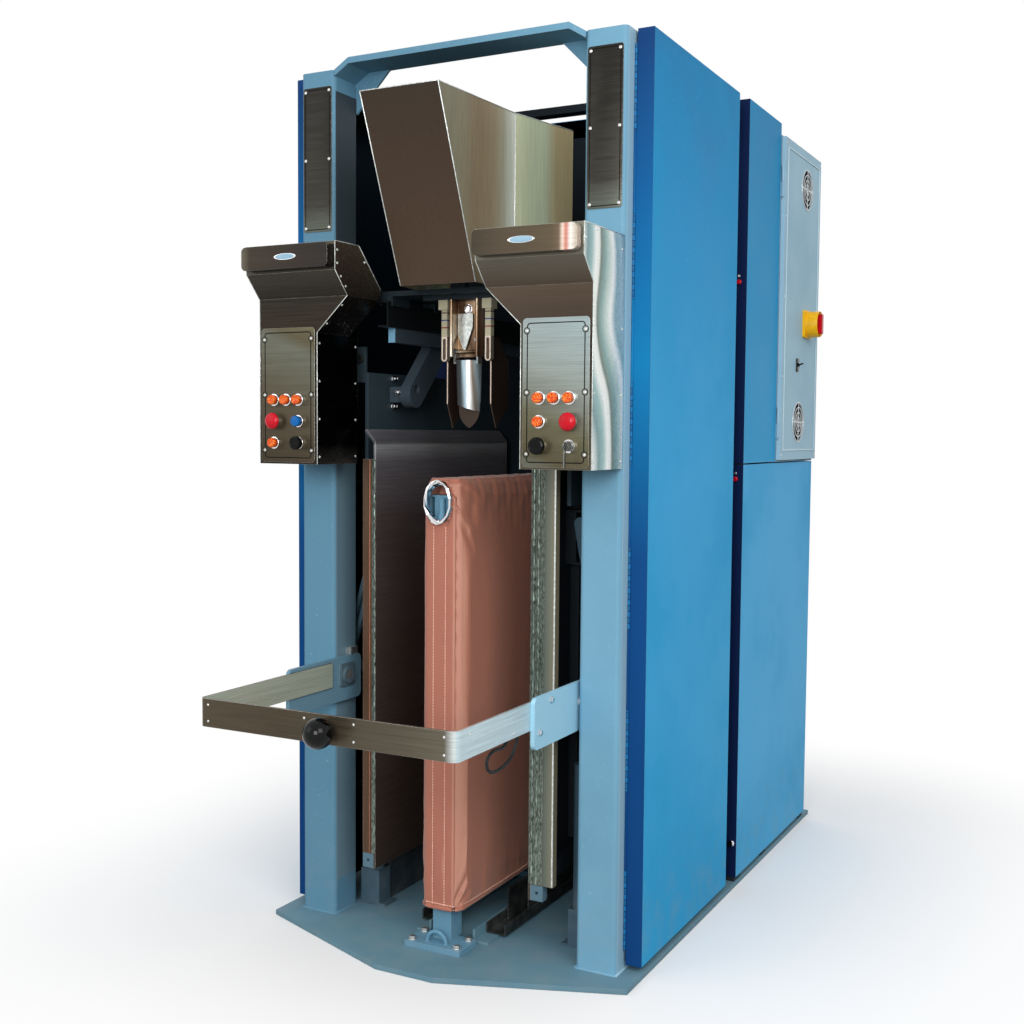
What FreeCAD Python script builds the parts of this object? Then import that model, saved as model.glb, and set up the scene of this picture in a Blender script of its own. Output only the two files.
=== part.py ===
import FreeCAD, Part
import math
import os

# Industrial pants press, in millimetres. X runs across the machine, Y from front to back, Z up.
# The origin is the centre of the base plate's underside.
# Depths are measured back from the front faces of the columns and turned into Y by at().

# Base plate
BASE_WIDTH = 986.0
BASE_THICKNESS = 12.0
BASE_NOSE_WIDTH = 157.0
BASE_NOSE_DEPTH = -207.5
BASE_CORNER_DEPTH = -50.0
BASE_REAR_DEPTH = 1504.0

# Front columns and lintel
COLUMN_SIZE = 101.6
COLUMN_WALL = 6.0
COLUMN_RADIUS = 12.0
COLUMN_SPAN = 886.0
COLUMN_TOP = 2150.0
LINTEL_RISE = 25.0
LINTEL_THICKNESS = 15.0
LINTEL_RUN_IN = 41.0
GUSSET_LEG = 100.0
GUSSET_THICKNESS = 8.0

# Rear cabinet and its frame
SHEET = 2.0
CABINET_FRONT = 729.0
CABINET_UPPER_REAR = 1033.0
CABINET_LOWER_REAR = 1448.0
CABINET_BOTTOM = 25.0
CABINET_SPLIT = 1175.0
CABINET_RISE = 4.0
PANEL_FLANGE = 45.0
PANEL_HEM = 4.0
PANEL_JOINT = 4.0
POST_SIZE = 50.0
POST_WALL = 4.0
POST_GAP = 3.0
BULKHEAD_THICKNESS = 4.0
CROSS_BAR_DEPTH = 500.0
CROSS_BAR_WIDTH = 40.0
CROSS_BAR_HEIGHT = 20.0
CROSS_BAR_DROP = 18.0

# Side doors on piano hinges
DOOR_FACE = 488.5
DOOR_FRONT = 45.0
DOOR_REAR = 656.0
DOOR_BOTTOM = 25.0
DOOR_RISE = 2.0
DOOR_GAP = 6.0
DOOR_LIP = 20.0
HINGE_LEAD = 1.0
HINGE_RADIUS = 2.8
HINGE_PIN_RADIUS = 1.2
HINGE_FIT = 0.05
HINGE_LEAF = 1.2
HINGE_LEAF_WIDTH = 24.0
HINGE_DOOR_LEAF_WIDTH = 14.0
HINGE_KNUCKLES = 11
HINGE_TAB_GAP = 0.4
RUNNING_GAP = 1.0
HINGE_BOTTOM = 60.0
HINGE_TOP_DROP = 30.0

# Electrical enclosure
ENCLOSURE_INNER = 193.0
ENCLOSURE_FRONT_GAP = 3.0
ENCLOSURE_REAR = 1445.0
ENCLOSURE_DROP = 27.0
ENCLOSURE_DOOR_DEPTH = 12.0
ENCLOSURE_DOOR_GAP = 0.3
ENCLOSURE_DOOR_MARGIN = 4.0
ENCLOSURE_HINGE_RADIUS = 3.5
ENCLOSURE_HINGE_LENGTH = 90.0
ENCLOSURE_HINGE_LOW = 1290.0
ENCLOSURE_HINGE_DROP = 133.0
FAN_DEPTH_UPPER = 1279.0
FAN_DEPTH_LOWER = 1228.0
FAN_UPPER_DROP = 119.0
FAN_LEVEL_LOWER = 1295.0
FAN_RADIUS = 55.0
FAN_HOLE_RADIUS = 58.0
FAN_HUB_RADIUS = 20.0
FAN_BLADES = 7
FAN_BLADE_SWEEP = 34.0
FAN_BLADE_THICKNESS = 1.6
FAN_LENGTH = 20.0
FAN_SPINDLE_RADIUS = 4.0
FAN_BEARER_WIDTH = 16.0
FAN_BEARER_MARGIN = 12.0
FAN_BEARER_THICKNESS = 4.0
GUARD_RING_COUNT = 4
GUARD_WIRE = 2.6
GUARD_RADIUS = 60.0
DISCONNECT_DEPTH = 1300.0
DISCONNECT_LEVEL = 1597.0
DISCONNECT_PLATE = 84.0
DISCONNECT_PLATE_THICKNESS = 8.0
DISCONNECT_HANDLE_RADIUS = 30.0
DISCONNECT_HANDLE_LENGTH = 20.0
DISCONNECT_GRIP_WIDTH = 18.0
DISCONNECT_GRIP_LENGTH = 24.0
DISCONNECT_GRIP_ROUND = 6.0
DISCONNECT_PLATE_ROUND = 8.0

# Control boxes: a body on the column front, and a wider head that leans out above it
BOX_BODY_INNER = 272.0
BOX_HEAD_INNER = 185.0
BOX_FRONT = -166.0
BOX_HEAD_FRONT = -215.0
BOX_BOTTOM = 1176.0
BOX_WEDGE_LEVEL = 1489.0
BOX_BROW_LEVEL = 1572.0
BOX_HEAD_LEVEL = 1626.0
BOX_TOP = 1692.0
BOX_HEAD_TOP_REAR = -119.0
BOX_HEAD_REAR = -26.0
BOX_HEAD_REAR_LEVEL = 1597.0
BOX_WEDGE_REAR = -34.0
FACEPLATE_WIDTH = 159.0
FACEPLATE_BOTTOM = 1180.0
FACEPLATE_HEIGHT = 322.0
FACEPLATE_RADIUS = 9.0

# Push bars and buttons
PUSH_BAR_INNER = 189.0
PUSH_BAR_OUTER = 438.0
PUSH_BAR_BOTTOM = 1632.0
PUSH_BAR_HEIGHT = 55.0
PUSH_BAR_THICKNESS = 21.0
PUSH_BAR_GAP = 4.0
PUSH_BAR_RADIUS = 12.0
PLUNGER_RADIUS = 6.0
PLUNGER_CLEARANCE = 0.4
PLUNGER_LENGTH = 30.0
PLUNGER_INSET = 45.0
BUTTON_ROW_TOP = 1330.0
BUTTON_ROW_MIDDLE = 1279.0
BUTTON_ROW_BOTTOM = 1227.0
BUTTON_PITCH = 36.0
STEM_RADIUS = 7.0
STEM_CLEARANCE = 0.4
STEM_LENGTH = 18.0
RETAINER_RADIUS = 10.0
RETAINER_THICKNESS = 3.0
BEZEL_RADIUS = 14.5
BEZEL_LENGTH = 8.0
BUTTON_TRAVEL_GAP = 5.0
BUTTON_LENGTH = 11.0
BUTTON_CROWN = 4.0
LAMP_RADIUS = 12.0
SMALL_BUTTON_RADIUS = 13.0
BLACK_BUTTON_RADIUS = 16.0
LARGE_BLACK_RADIUS = 19.0
MUSHROOM_RADIUS = 20.0
KEY_BARREL_RADIUS = 11.0
KEY_THICKNESS = 2.5
KEY_BOW_RADIUS = 10.0
KEY_TAG_WIDTH = 9.0
KEY_TAG_LENGTH = 46.0

# Buck with its padded cover
SLAB_WIDTH = 154.0
SLAB_LENGTH = 84.0
SLAB_THICKNESS = 14.0
SLAB_FRONT = -82.0
BUCK_POST = 51.0
BUCK_POST_WALL = 4.0
BUCK_POST_FRONT = -33.0
BUCK_REAR_POST_FRONT = 530.0
CORE_HALF = 40.0
CORE_SHEET = 4.0
CORE_BOTTOM = 120.0
CORE_TOP = 1105.0
PAD_HALF = 62.0
PAD_FRONT = -60.0
PAD_REAR = 606.0
PAD_BOTTOM = 105.0
PAD_TOP = 1155.0
PAD_CORNER = 42.0
PAD_HEM_DRAW = 4.0
PAD_HEM_HEIGHT = 55.0
PAD_SHOULDER = 45.0
PAD_CROWN = 18.0
PAD_ROLL = 15.0
PAD_ROLL_DRAW = 6.0
PAD_CLEARANCE = 0.4
PAD_FRONT_CAVITY = 9.0
OPENING_LEVEL = 1090.0
OPENING_HALF_WIDTH = 35.0
OPENING_HALF_HEIGHT = 50.0
HOOP_RADIUS = 26.0
HOOP_ROD = 5.0
HOOP_DEPTH = -58.0
FITTING_RADIUS = 7.0
FITTING_BOTTOM = 1040.0
FITTING_TOP = 1098.0
UNION_RADIUS = 10.0
UNION_LENGTH = 18.0

# Press heads
HEAD_FACE = 217.0
HEAD_DEPTH = 690.0
PLATE_THICKNESS = 6.0
PLATE_BOTTOM = 152.0
PLATE_TOP = 1231.0
LIP_OUT = 27.0
LIP_UP = 30.0
CHEST_THICKNESS = 32.0
CHEST_BOTTOM = 190.0
CHEST_TOP = 1187.0
CHEST_RIM = 44.0
CHEST_POCKET = 15.0
EDGE_FLANGE_WIDTH = 26.0
EDGE_FLANGE_RETURN = 20.0
FOOT_BLOCK_LENGTH = 30.0
FOOT_BLOCK_HOLE = 4.0
BACK_BAR_WIDTH = 60.0
BACK_BAR_THICKNESS = 22.0
BACK_BAR_BOTTOM = 260.0
BACK_BAR_TOP = 1142.0
ROD_RADIUS = 10.0
ROD_FIT = 0.06
ROD_OUTER_END = 438.0
ROD_DEPTH_FRONT = 200.0
ROD_DEPTH_REAR = 600.0
ROD_LEVEL_LOWER = 300.0
ROD_LEVEL_UPPER = 1115.0

# Side plates that carry the guide bushes
GUIDE_PLATE_INNER = 280.0
GUIDE_PLATE_THICKNESS = 10.0
UPPER_PLATE_FRONT = 60.0
UPPER_PLATE_BOTTOM = 1085.0
UPPER_PLATE_TOP = 1405.0
LOWER_PLATE_FRONT = 165.0
LOWER_PLATE_TOP = 420.0
LOWER_PLATE_FLANGE = 50.0
BUSH_RADIUS = 18.0
BUSH_INNER_END = 266.0
BUSH_LENGTH = 36.0
BUSH_SEAT = 0.05
TIE_THICKNESS = 10.0
TIE_BOTTOM = 1380.0
TIE_TOP = 1470.0

# Head levers and cylinders
LEVER_FRONT = 122.0
LEVER_THICKNESS = 12.0
LEVER_WIDTH = 30.0
LEVER_SLOT = 8.0
GROOVE_LOWER_MARGIN = 50.0
GROOVE_UPPER_MARGIN = 34.0
PIVOT_X = 395.0
PIVOT_LEVEL = 640.0
PIVOT_RADIUS = 8.0
PIVOT_FIT = 0.1
PIVOT_CAP_RADIUS = 14.0
PIVOT_BLOCK = 40.0
PIVOT_CLEARANCE = 2.0
ROLLER_X = 285.0
ROLLER_LEVEL = 1040.0
ROLLER_RADIUS = 12.0
ROLLER_LENGTH = 16.0
ROLLER_PIN_RADIUS = 7.0
ROLLER_STANDOFF = 5.0
ELBOW_X = 300.0
ELBOW_LEVEL = 960.0
SLOT_CLEARANCE = 6.0
SLOT_WALL = 6.0
SLOT_BELOW = 95.0
SLOT_ABOVE = 25.0
SLOT_BRACKET_THICKNESS = 12.0
CYLINDER_X = 302.0
CYLINDER_RADIUS = 25.0
CYLINDER_WALL = 4.0
CYLINDER_LENGTH = 354.0
CYLINDER_CAP = 10.0
CYLINDER_ROD_RADIUS = 10.0
CYLINDER_ROD_FIT = 0.1
PISTON_LENGTH = 15.0
PISTON_TOP_GAP = 5.0
CLEVIS_EAR = 3.0
CLEVIS_GAP = 1.0
CLEVIS_HALF = 10.0
CLEVIS_DROP = 26.0
CLEVIS_BLOCK = 16.0
CLEVIS_PIN_RADIUS = 5.0
TAIL_SLOT_RADIUS = 6.5
TAIL_SLOT_REACH = 13.0
TAIL_SLOT_BACK = 4.0
FOOT_FRONT = 102.0
FOOT_WIDTH = 56.0
FOOT_LENGTH = 54.0
FOOT_TOP = 106.0
FOOT_FLANGE = 18.0
FOOT_FLANGE_THICKNESS = 6.0

# Floor rails and the black channels on them
RAIL_INNER = 59.0
RAIL_WIDTH = 42.0
RAIL_THICKNESS = 6.0
RAIL_LEG = 32.0
RAIL_FRONT = 14.0
RAIL_REAR = 690.0
CHANNEL_INNER = 66.0
CHANNEL_WIDTH = 54.0
CHANNEL_WALL = 4.0
CHANNEL_HEIGHT = 26.0
CHANNEL_FRONT = 70.0
COMB_HEIGHT = 95.0
COMB_THICKNESS = 4.0
COMB_FRONT = 150.0
COMB_STAGGER = 60.0
COMB_TEETH = 8
COMB_TOOTH = 4.0
COMB_MARGIN = 12.0

# Guard bar
GUARD_OUTER = 325.0
GUARD_FRONT = -523.0
GUARD_THICKNESS = 6.0
GUARD_BOTTOM = 612.0
GUARD_HEIGHT = 62.0
GUARD_CORNER = 16.0
GUARD_ARM_REAR = -40.0
BRACKET_THICKNESS = 10.0
BRACKET_FRONT = -208.0
BRACKET_REAR = 92.0
BRACKET_BOTTOM = 568.0
BRACKET_TOP = 682.0
BRACKET_RADIUS = 14.0
GUARD_PIVOT_DEPTH = 26.0
GUARD_PIVOT_LEVEL = 635.0
GUARD_PIN_RADIUS = 12.0
GUARD_PIN_FIT = 0.06
FLANGE_HALF = 29.0
FLANGE_THICKNESS = 6.0
FLANGE_ROUND = 6.0
FLANGE_HUB_LENGTH = 12.0
FLANGE_HUB_RADIUS = 22.0
STOP_LENGTH = 30.0
STOP_HEIGHT = 18.0
KNOB_RADIUS = 32.0
KNOB_NECK_RADIUS = 12.0
KNOB_NECK_LENGTH = 4.0
KNOB_X = 20.0

# Cable loop that hangs under the right arm of the guard bar
CABLE_RADIUS = 3.5
GLAND_RADIUS = 6.0
GLAND_LENGTH = 8.0
CABLE_START = (311.0, -243.0, 622.0)
CABLE_END = (311.0, -286.0, 627.0)
CABLE_ROUTE = (
    (311.0, -243.0, 600.0),
    (311.0, -253.0, 581.0),
    (310.0, -270.0, 565.0),
    (309.0, -294.0, 554.0),
    (308.0, -325.0, 549.5),
    (307.0, -354.0, 552.0),
    (306.0, -368.0, 564.0),
    (306.0, -368.0, 581.0),
    (307.0, -355.0, 593.0),
    (308.0, -334.0, 596.5),
    (309.0, -311.0, 593.5),
    (310.0, -293.0, 598.0),
    (311.0, -286.0, 612.0),
)

# Carriage, hood and clamps
TRACK_INNER = 185.0
TRACK_WIDTH = 30.0
TRACK_WALL = 4.0
TRACK_TOP = 1575.0
TRACK_HEIGHT = 62.0
TRACK_FRONT = 5.0
TRACK_BAR_WIDTH = 20.0
TRACK_BAR_HEIGHT = 36.0
TRACK_BAR_FRONT = 45.0
ARM_WIDTH = 68.0
ARM_THICKNESS = 30.0
ARM_LOWER_DEPTH = 178.0
ARM_LOWER_LEVEL = 1352.0
ARM_UPPER_DEPTH = 311.0
ARM_RECESS_RADIUS = 12.0
ARM_RECESS_DEPTH = 10.0
ARM_RECESS_OFFSET = 13.0
ARM_BEARING = 40.0
CARRIAGE_FRONT = 20.0
CARRIAGE_REAR = 300.0
CARRIAGE_HALF = 214.0
CARRIAGE_BOTTOM = 1588.0
CARRIAGE_THICKNESS = 12.0
RUNNER_LENGTH = 80.0
RUNNER_CLEARANCE = 0.3
RUNNER_LIP = 3.0
RUNNER_LIP_DROP = 10.0
LUG_DEPTH = 26.0
LUG_LENGTH = 18.0
LUG_WIDTH = 40.0
DRIVE_LEVEL = 1640.0
DRIVE_RADIUS = 25.0
DRIVE_WALL = 4.0
DRIVE_FRONT = 430.0
DRIVE_ROD_RADIUS = 8.0
DRIVE_PISTON_LENGTH = 12.0
HOOD_FRONT_TOP = -236.0
HOOD_FRONT_BOTTOM = -67.0
HOOD_FOLD = 90.0
HOOD_REAR = 310.0
HOOD_FRONT_HALF = 102.0
HOOD_FOLD_HALF = 120.0
HOOD_REAR_HALF = 168.0
HOOD_TOP = 2013.0
CLAMP_DEPTH = 75.0
CROSS_SLIDE_HALF = 118.0
CROSS_SLIDE_WIDTH = 30.0
CROSS_SLIDE_HEIGHT = 10.0
WAIST_ARM_X = 61.0
WAIST_BLOCK_WIDTH = 26.0
WAIST_BLOCK_HEIGHT = 24.0
WAIST_ARM_WIDTH = 16.0
WAIST_ARM_BOTTOM = 1488.0
LOOP_BOTTOM = 1428.0
LOOP_HOLE = 8.0
BLADE_THICKNESS = 3.0
BLADE_LENGTH = 90.0
BLADE_POINT = 27.0
BLADE_STEP = 36.0
BLADE_SHOULDER = 1325.0
BLADE_TIP = 1266.0
TROUGH_HALF = 37.0
TROUGH_WALL = 2.5
TROUGH_BOTTOM = 1439.0
TROUGH_DEPTH = 34.0
TROUGH_RIM = 4.0
JAW_SWING_GAP = 9.0
JAW_SHOULDER = 1305.0
JAW_TIP = 1266.0
JAW_FLANK_X = 18.5
JAW_FLANK_LEVEL = 1281.0
JAW_HALF_TOP = 34.0
JAW_HALF_BOTTOM = 30.0
JAW_WALL = 2.5
JAW_CUT_RISE = 22.0
JAW_SET_BACK = 13.0
JAW_PIN_RADIUS = 4.0
JAW_PIN_FIT = 0.06
JAW_PIN_LEVEL = 1452.0
JAW_EAR_HALF = 8.0
JAW_EAR_THICKNESS = 4.0
JAW_EAR_GAP = 0.5

# Places worked out from the sizes above
FRONT_Y = -(BASE_NOSE_DEPTH + BASE_REAR_DEPTH) / 2.0
COLUMN_OUTER = COLUMN_SPAN / 2.0
COLUMN_INNER = COLUMN_OUTER - COLUMN_SIZE
PANEL_FACE = BASE_WIDTH / 2.0
POST_OUTER = PANEL_FACE - SHEET - POST_GAP
POST_INNER = POST_OUTER - POST_SIZE
BULKHEAD_FRONT = CABINET_FRONT + SHEET
BULKHEAD_REAR = BULKHEAD_FRONT + BULKHEAD_THICKNESS
TOP_RAIL_BOTTOM = COLUMN_TOP - POST_SIZE
CABINET_TOP = COLUMN_TOP + CABINET_RISE
DOOR_TOP = COLUMN_TOP + DOOR_RISE
HINGE_TOP = COLUMN_TOP - HINGE_TOP_DROP
ENCLOSURE_TOP = COLUMN_TOP - ENCLOSURE_DROP
ENCLOSURE_HINGE_HIGH = ENCLOSURE_TOP - ENCLOSURE_HINGE_DROP
FAN_LEVEL_UPPER = ENCLOSURE_TOP - FAN_UPPER_DROP
DOOR_INNER = COLUMN_OUTER + DOOR_GAP
HINGE_X = COLUMN_OUTER + DOOR_GAP / 2.0
HINGE_DEPTH = DOOR_FRONT - HINGE_LEAD
ENCLOSURE_FRONT = CABINET_UPPER_REAR + ENCLOSURE_FRONT_GAP
ENCLOSURE_BOTTOM = CABINET_SPLIT + SHEET
ENCLOSURE_DOOR_INNER = PANEL_FACE + ENCLOSURE_DOOR_GAP
ENCLOSURE_DOOR_FACE = ENCLOSURE_DOOR_INNER + ENCLOSURE_DOOR_DEPTH
ENCLOSURE_DOOR_FRONT = ENCLOSURE_FRONT + ENCLOSURE_DOOR_MARGIN
ENCLOSURE_DOOR_REAR = ENCLOSURE_REAR - ENCLOSURE_DOOR_MARGIN
ENCLOSURE_DOOR_BOTTOM = ENCLOSURE_BOTTOM + ENCLOSURE_DOOR_MARGIN
ENCLOSURE_DOOR_TOP = ENCLOSURE_TOP - ENCLOSURE_DOOR_MARGIN
ENCLOSURE_HINGE_X = (ENCLOSURE_DOOR_INNER + ENCLOSURE_DOOR_FACE) / 2.0
ENCLOSURE_HINGE_DEPTH = ENCLOSURE_FRONT - HINGE_LEAF / 2.0
FACEPLATE_FRONT = BOX_FRONT - SHEET
FACEPLATE_CENTRE = (BOX_BODY_INNER + COLUMN_OUTER) / 2.0
PUSH_BAR_REAR = BOX_HEAD_FRONT - PUSH_BAR_GAP
CHEST_BACK = HEAD_FACE + PLATE_THICKNESS + CHEST_THICKNESS
POCKET_FLOOR = CHEST_BACK - CHEST_POCKET
BACK_BAR_BACK = POCKET_FLOOR + BACK_BAR_THICKNESS
GUIDE_PLATE_OUTER = GUIDE_PLATE_INNER + GUIDE_PLATE_THICKNESS
LEVER_REAR = LEVER_FRONT + LEVER_THICKNESS
LEVER_MIDDLE = (LEVER_FRONT + LEVER_REAR) / 2.0
SLOT_BRACKET_FRONT = LEVER_REAR + ROLLER_STANDOFF
SLOT_BRACKET_REAR = SLOT_BRACKET_FRONT + SLOT_BRACKET_THICKNESS
CYLINDER_TOP = FOOT_TOP + CYLINDER_LENGTH
SLAB_TOP = BASE_THICKNESS + SLAB_THICKNESS
BUCK_POST_HALF = BUCK_POST / 2.0
GUARD_INNER = GUARD_OUTER - GUARD_THICKNESS
BRACKET_OUTER = GUARD_OUTER + BRACKET_THICKNESS
GUARD_TOP = GUARD_BOTTOM + GUARD_HEIGHT
GUARD_MIDDLE = (GUARD_BOTTOM + GUARD_TOP) / 2.0
TRACK_OUTER = TRACK_INNER + TRACK_WIDTH
TRACK_MIDDLE = (TRACK_INNER + TRACK_OUTER) / 2.0
TRACK_BOTTOM = TRACK_TOP - TRACK_HEIGHT
CARRIAGE_TOP = CARRIAGE_BOTTOM + CARRIAGE_THICKNESS
CROSS_SLIDE_BOTTOM = CARRIAGE_BOTTOM - CROSS_SLIDE_HEIGHT
JAW_TOP = TROUGH_BOTTOM - JAW_SWING_GAP


# Basic shapes
def at(depth):
    """Y of a depth behind the front faces of the columns."""
    return FRONT_Y + depth


def block(x0, x1, d0, d1, z0, z1):
    """A box between two planes on each axis, with its depth limits d0 and d1."""
    corner = FreeCAD.Vector(x0, at(d0), z0)
    return Part.makeBox(x1 - x0, d1 - d0, z1 - z0, corner)


def tube_block(x0, x1, d0, d1, z0, z1, wall, axis):
    """A rectangular tube open at both ends along one axis."""
    inset = {name: 0.0 if name == axis else wall for name in "xyz"}
    hollow = block(
        x0 + inset["x"], x1 - inset["x"],
        d0 + inset["y"], d1 - inset["y"],
        z0 + inset["z"], z1 - inset["z"],
    )
    return block(x0, x1, d0, d1, z0, z1).cut(hollow)


def prism_x(points, x0, x1):
    """A solid with an outline of (depth, level) points, pulled from x0 to x1."""
    corners = [FreeCAD.Vector(x0, at(depth), level) for depth, level in points]
    return extrude(corners, FreeCAD.Vector(x1 - x0, 0, 0))


def prism_y(points, d0, d1):
    """A solid with an outline of (x, level) points, pulled from depth d0 to d1."""
    corners = [FreeCAD.Vector(x, at(d0), level) for x, level in points]
    return extrude(corners, FreeCAD.Vector(0, d1 - d0, 0))


def prism_z(points, z0, z1):
    """A solid with an outline of (x, depth) points, pulled from level z0 to z1."""
    corners = [FreeCAD.Vector(x, at(depth), z0) for x, depth in points]
    return extrude(corners, FreeCAD.Vector(0, 0, z1 - z0))


def extrude(corners, direction):
    """Close a polygon through the corners and pull it along a direction."""
    outline = Part.makePolygon(corners + corners[:1])
    return Part.Face(outline).extrude(direction)


def rod_x(x0, x1, depth, level, radius):
    """A round bar along X."""
    return Part.makeCylinder(radius, x1 - x0, FreeCAD.Vector(x0, at(depth), level), FreeCAD.Vector(1, 0, 0))


def rod_y(x, d0, d1, level, radius):
    """A round bar along Y."""
    return Part.makeCylinder(radius, d1 - d0, FreeCAD.Vector(x, at(d0), level), FreeCAD.Vector(0, 1, 0))


def rod_z(x, depth, z0, z1, radius):
    """A round bar along Z."""
    return Part.makeCylinder(radius, z1 - z0, FreeCAD.Vector(x, at(depth), z0), FreeCAD.Vector(0, 0, 1))


def rounded(shape, axis, radius):
    """Round the edges that run along one axis."""
    directions = {
        "x": FreeCAD.Vector(1, 0, 0),
        "y": FreeCAD.Vector(0, 1, 0),
        "z": FreeCAD.Vector(0, 0, 1),
    }
    direction = directions[axis]
    edges = []
    for edge in shape.Edges:
        start, end = edge.Vertexes[0].Point, edge.Vertexes[-1].Point
        span = end - start
        if span.Length > 0.1 and abs(span.normalize().dot(direction)) > 0.999:
            edges.append(edge)
    return shape.makeFillet(radius, edges)


def link(start, end, width, d0, d1):
    """A flat bar with round ends between two (x, level) points."""
    along = FreeCAD.Vector(end[0] - start[0], 0, end[1] - start[1])
    side = FreeCAD.Vector(-along.z, 0, along.x).normalize() * (width / 2.0)
    corners = [
        (start[0] + side.x, start[1] + side.z),
        (end[0] + side.x, end[1] + side.z),
        (end[0] - side.x, end[1] - side.z),
        (start[0] - side.x, start[1] - side.z),
    ]
    bar = prism_y(corners, d0, d1)
    ends = [rod_y(point[0], d0, d1, point[1], width / 2.0) for point in (start, end)]
    return bar.fuse(ends).removeSplitter()


def mirrored(shape):
    """The same piece on the left side of the machine."""
    return shape.mirror(FreeCAD.Vector(0, 0, 0), FreeCAD.Vector(1, 0, 0))


def both_sides(shape):
    """A piece for the right side with its mirror image."""
    return [shape, mirrored(shape)]


def group(solids):
    """Separate solids that are kept together in one node."""
    return Part.makeCompound(solids)


# Frame and casing
def base_plate():
    """Floor plate whose front edge comes to a short nose."""
    half = BASE_WIDTH / 2.0
    nose = BASE_NOSE_WIDTH / 2.0
    outline = [
        (-half, BASE_REAR_DEPTH),
        (-half, BASE_CORNER_DEPTH),
        (-nose, BASE_NOSE_DEPTH),
        (nose, BASE_NOSE_DEPTH),
        (half, BASE_CORNER_DEPTH),
        (half, BASE_REAR_DEPTH),
    ]
    return prism_z(outline, 0.0, BASE_THICKNESS)


def right_column():
    """Square tube with round corners, closed by a cap at its top."""
    outer = block(COLUMN_INNER, COLUMN_OUTER, 0.0, COLUMN_SIZE, BASE_THICKNESS, COLUMN_TOP)
    outer = rounded(outer, "z", COLUMN_RADIUS)
    hollow = block(
        COLUMN_INNER + COLUMN_WALL, COLUMN_OUTER - COLUMN_WALL,
        COLUMN_WALL, COLUMN_SIZE - COLUMN_WALL,
        BASE_THICKNESS, COLUMN_TOP - COLUMN_WALL,
    )
    hollow = rounded(hollow, "z", COLUMN_RADIUS - COLUMN_WALL)
    return outer.cut(hollow)


def lintel():
    """Bent plate that bridges the columns, with a gusset behind each lower corner."""
    knee = COLUMN_INNER - LINTEL_RUN_IN
    crest = COLUMN_TOP + LINTEL_RISE
    upper = [(-COLUMN_INNER, COLUMN_TOP), (-knee, crest), (knee, crest), (COLUMN_INNER, COLUMN_TOP)]
    lower = [(x, level - LINTEL_THICKNESS) for x, level in reversed(upper)]
    arch = prism_y(upper + lower, 0.0, COLUMN_SIZE)
    under = crest - LINTEL_THICKNESS
    outline = [
        (COLUMN_INNER, COLUMN_TOP - LINTEL_THICKNESS),
        (knee, under),
        (COLUMN_INNER - GUSSET_LEG, under),
        (COLUMN_INNER, under - GUSSET_LEG),
    ]
    gusset = prism_y(outline, COLUMN_SIZE - GUSSET_THICKNESS, COLUMN_SIZE)
    return group([arch] + both_sides(gusset))


def post(front, top):
    """Right-hand post of the rear frame."""
    return tube_block(
        POST_INNER, POST_OUTER, front, front + POST_SIZE,
        BASE_THICKNESS, top, POST_WALL, "z",
    )


def rear_frame():
    """Posts, top rails, cross bar and bulkhead behind the pressing station."""
    upper_rear = CABINET_UPPER_REAR - SHEET - POST_SIZE
    lower_rear = CABINET_LOWER_REAR - SHEET - POST_SIZE
    rail = tube_block(
        POST_INNER - POST_SIZE, POST_INNER, COLUMN_SIZE, upper_rear + POST_SIZE,
        TOP_RAIL_BOTTOM, COLUMN_TOP, POST_WALL, "y",
    )
    solids = []
    for piece in (
        post(BULKHEAD_REAR, COLUMN_TOP),
        post(upper_rear, COLUMN_TOP),
        post(lower_rear, CABINET_SPLIT - PANEL_JOINT),
        rail,
    ):
        solids.extend(both_sides(piece))
    rail_face = POST_INNER - POST_SIZE
    bar_top = COLUMN_TOP - CROSS_BAR_DROP
    solids.append(block(
        -rail_face, rail_face, CROSS_BAR_DEPTH, CROSS_BAR_DEPTH + CROSS_BAR_WIDTH,
        bar_top - CROSS_BAR_HEIGHT, bar_top,
    ))
    solids.append(block(
        -POST_OUTER, POST_OUTER, BULKHEAD_FRONT, BULKHEAD_REAR,
        BASE_THICKNESS, TOP_RAIL_BOTTOM,
    ))
    return group(solids)


def side_panel(front, rear, bottom, top):
    """Folded sheet for the right side: deep upright flanges, shallow hems above and below."""
    skin = block(PANEL_FACE - PANEL_FLANGE, PANEL_FACE, front, rear, bottom, top)
    inside = PANEL_FACE - SHEET
    deep = block(PANEL_FACE - PANEL_FLANGE, inside, front + SHEET, rear - SHEET, bottom + SHEET, top - SHEET)
    hem = PANEL_FACE - PANEL_HEM
    lower = block(PANEL_FACE - PANEL_FLANGE, hem, front + SHEET, rear - SHEET, bottom, bottom + SHEET)
    upper = block(PANEL_FACE - PANEL_FLANGE, hem, front + SHEET, rear - SHEET, top - SHEET, top)
    return skin.cut(deep).cut(lower).cut(upper)


def right_rear_panels():
    """Upper and lower side panels of the rear cabinet."""
    joint = PANEL_JOINT / 2.0
    upper = side_panel(CABINET_FRONT, CABINET_UPPER_REAR, CABINET_SPLIT + joint, CABINET_TOP)
    lower = side_panel(CABINET_FRONT, CABINET_LOWER_REAR, CABINET_BOTTOM, CABINET_SPLIT - joint)
    return group([upper, lower])


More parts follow.
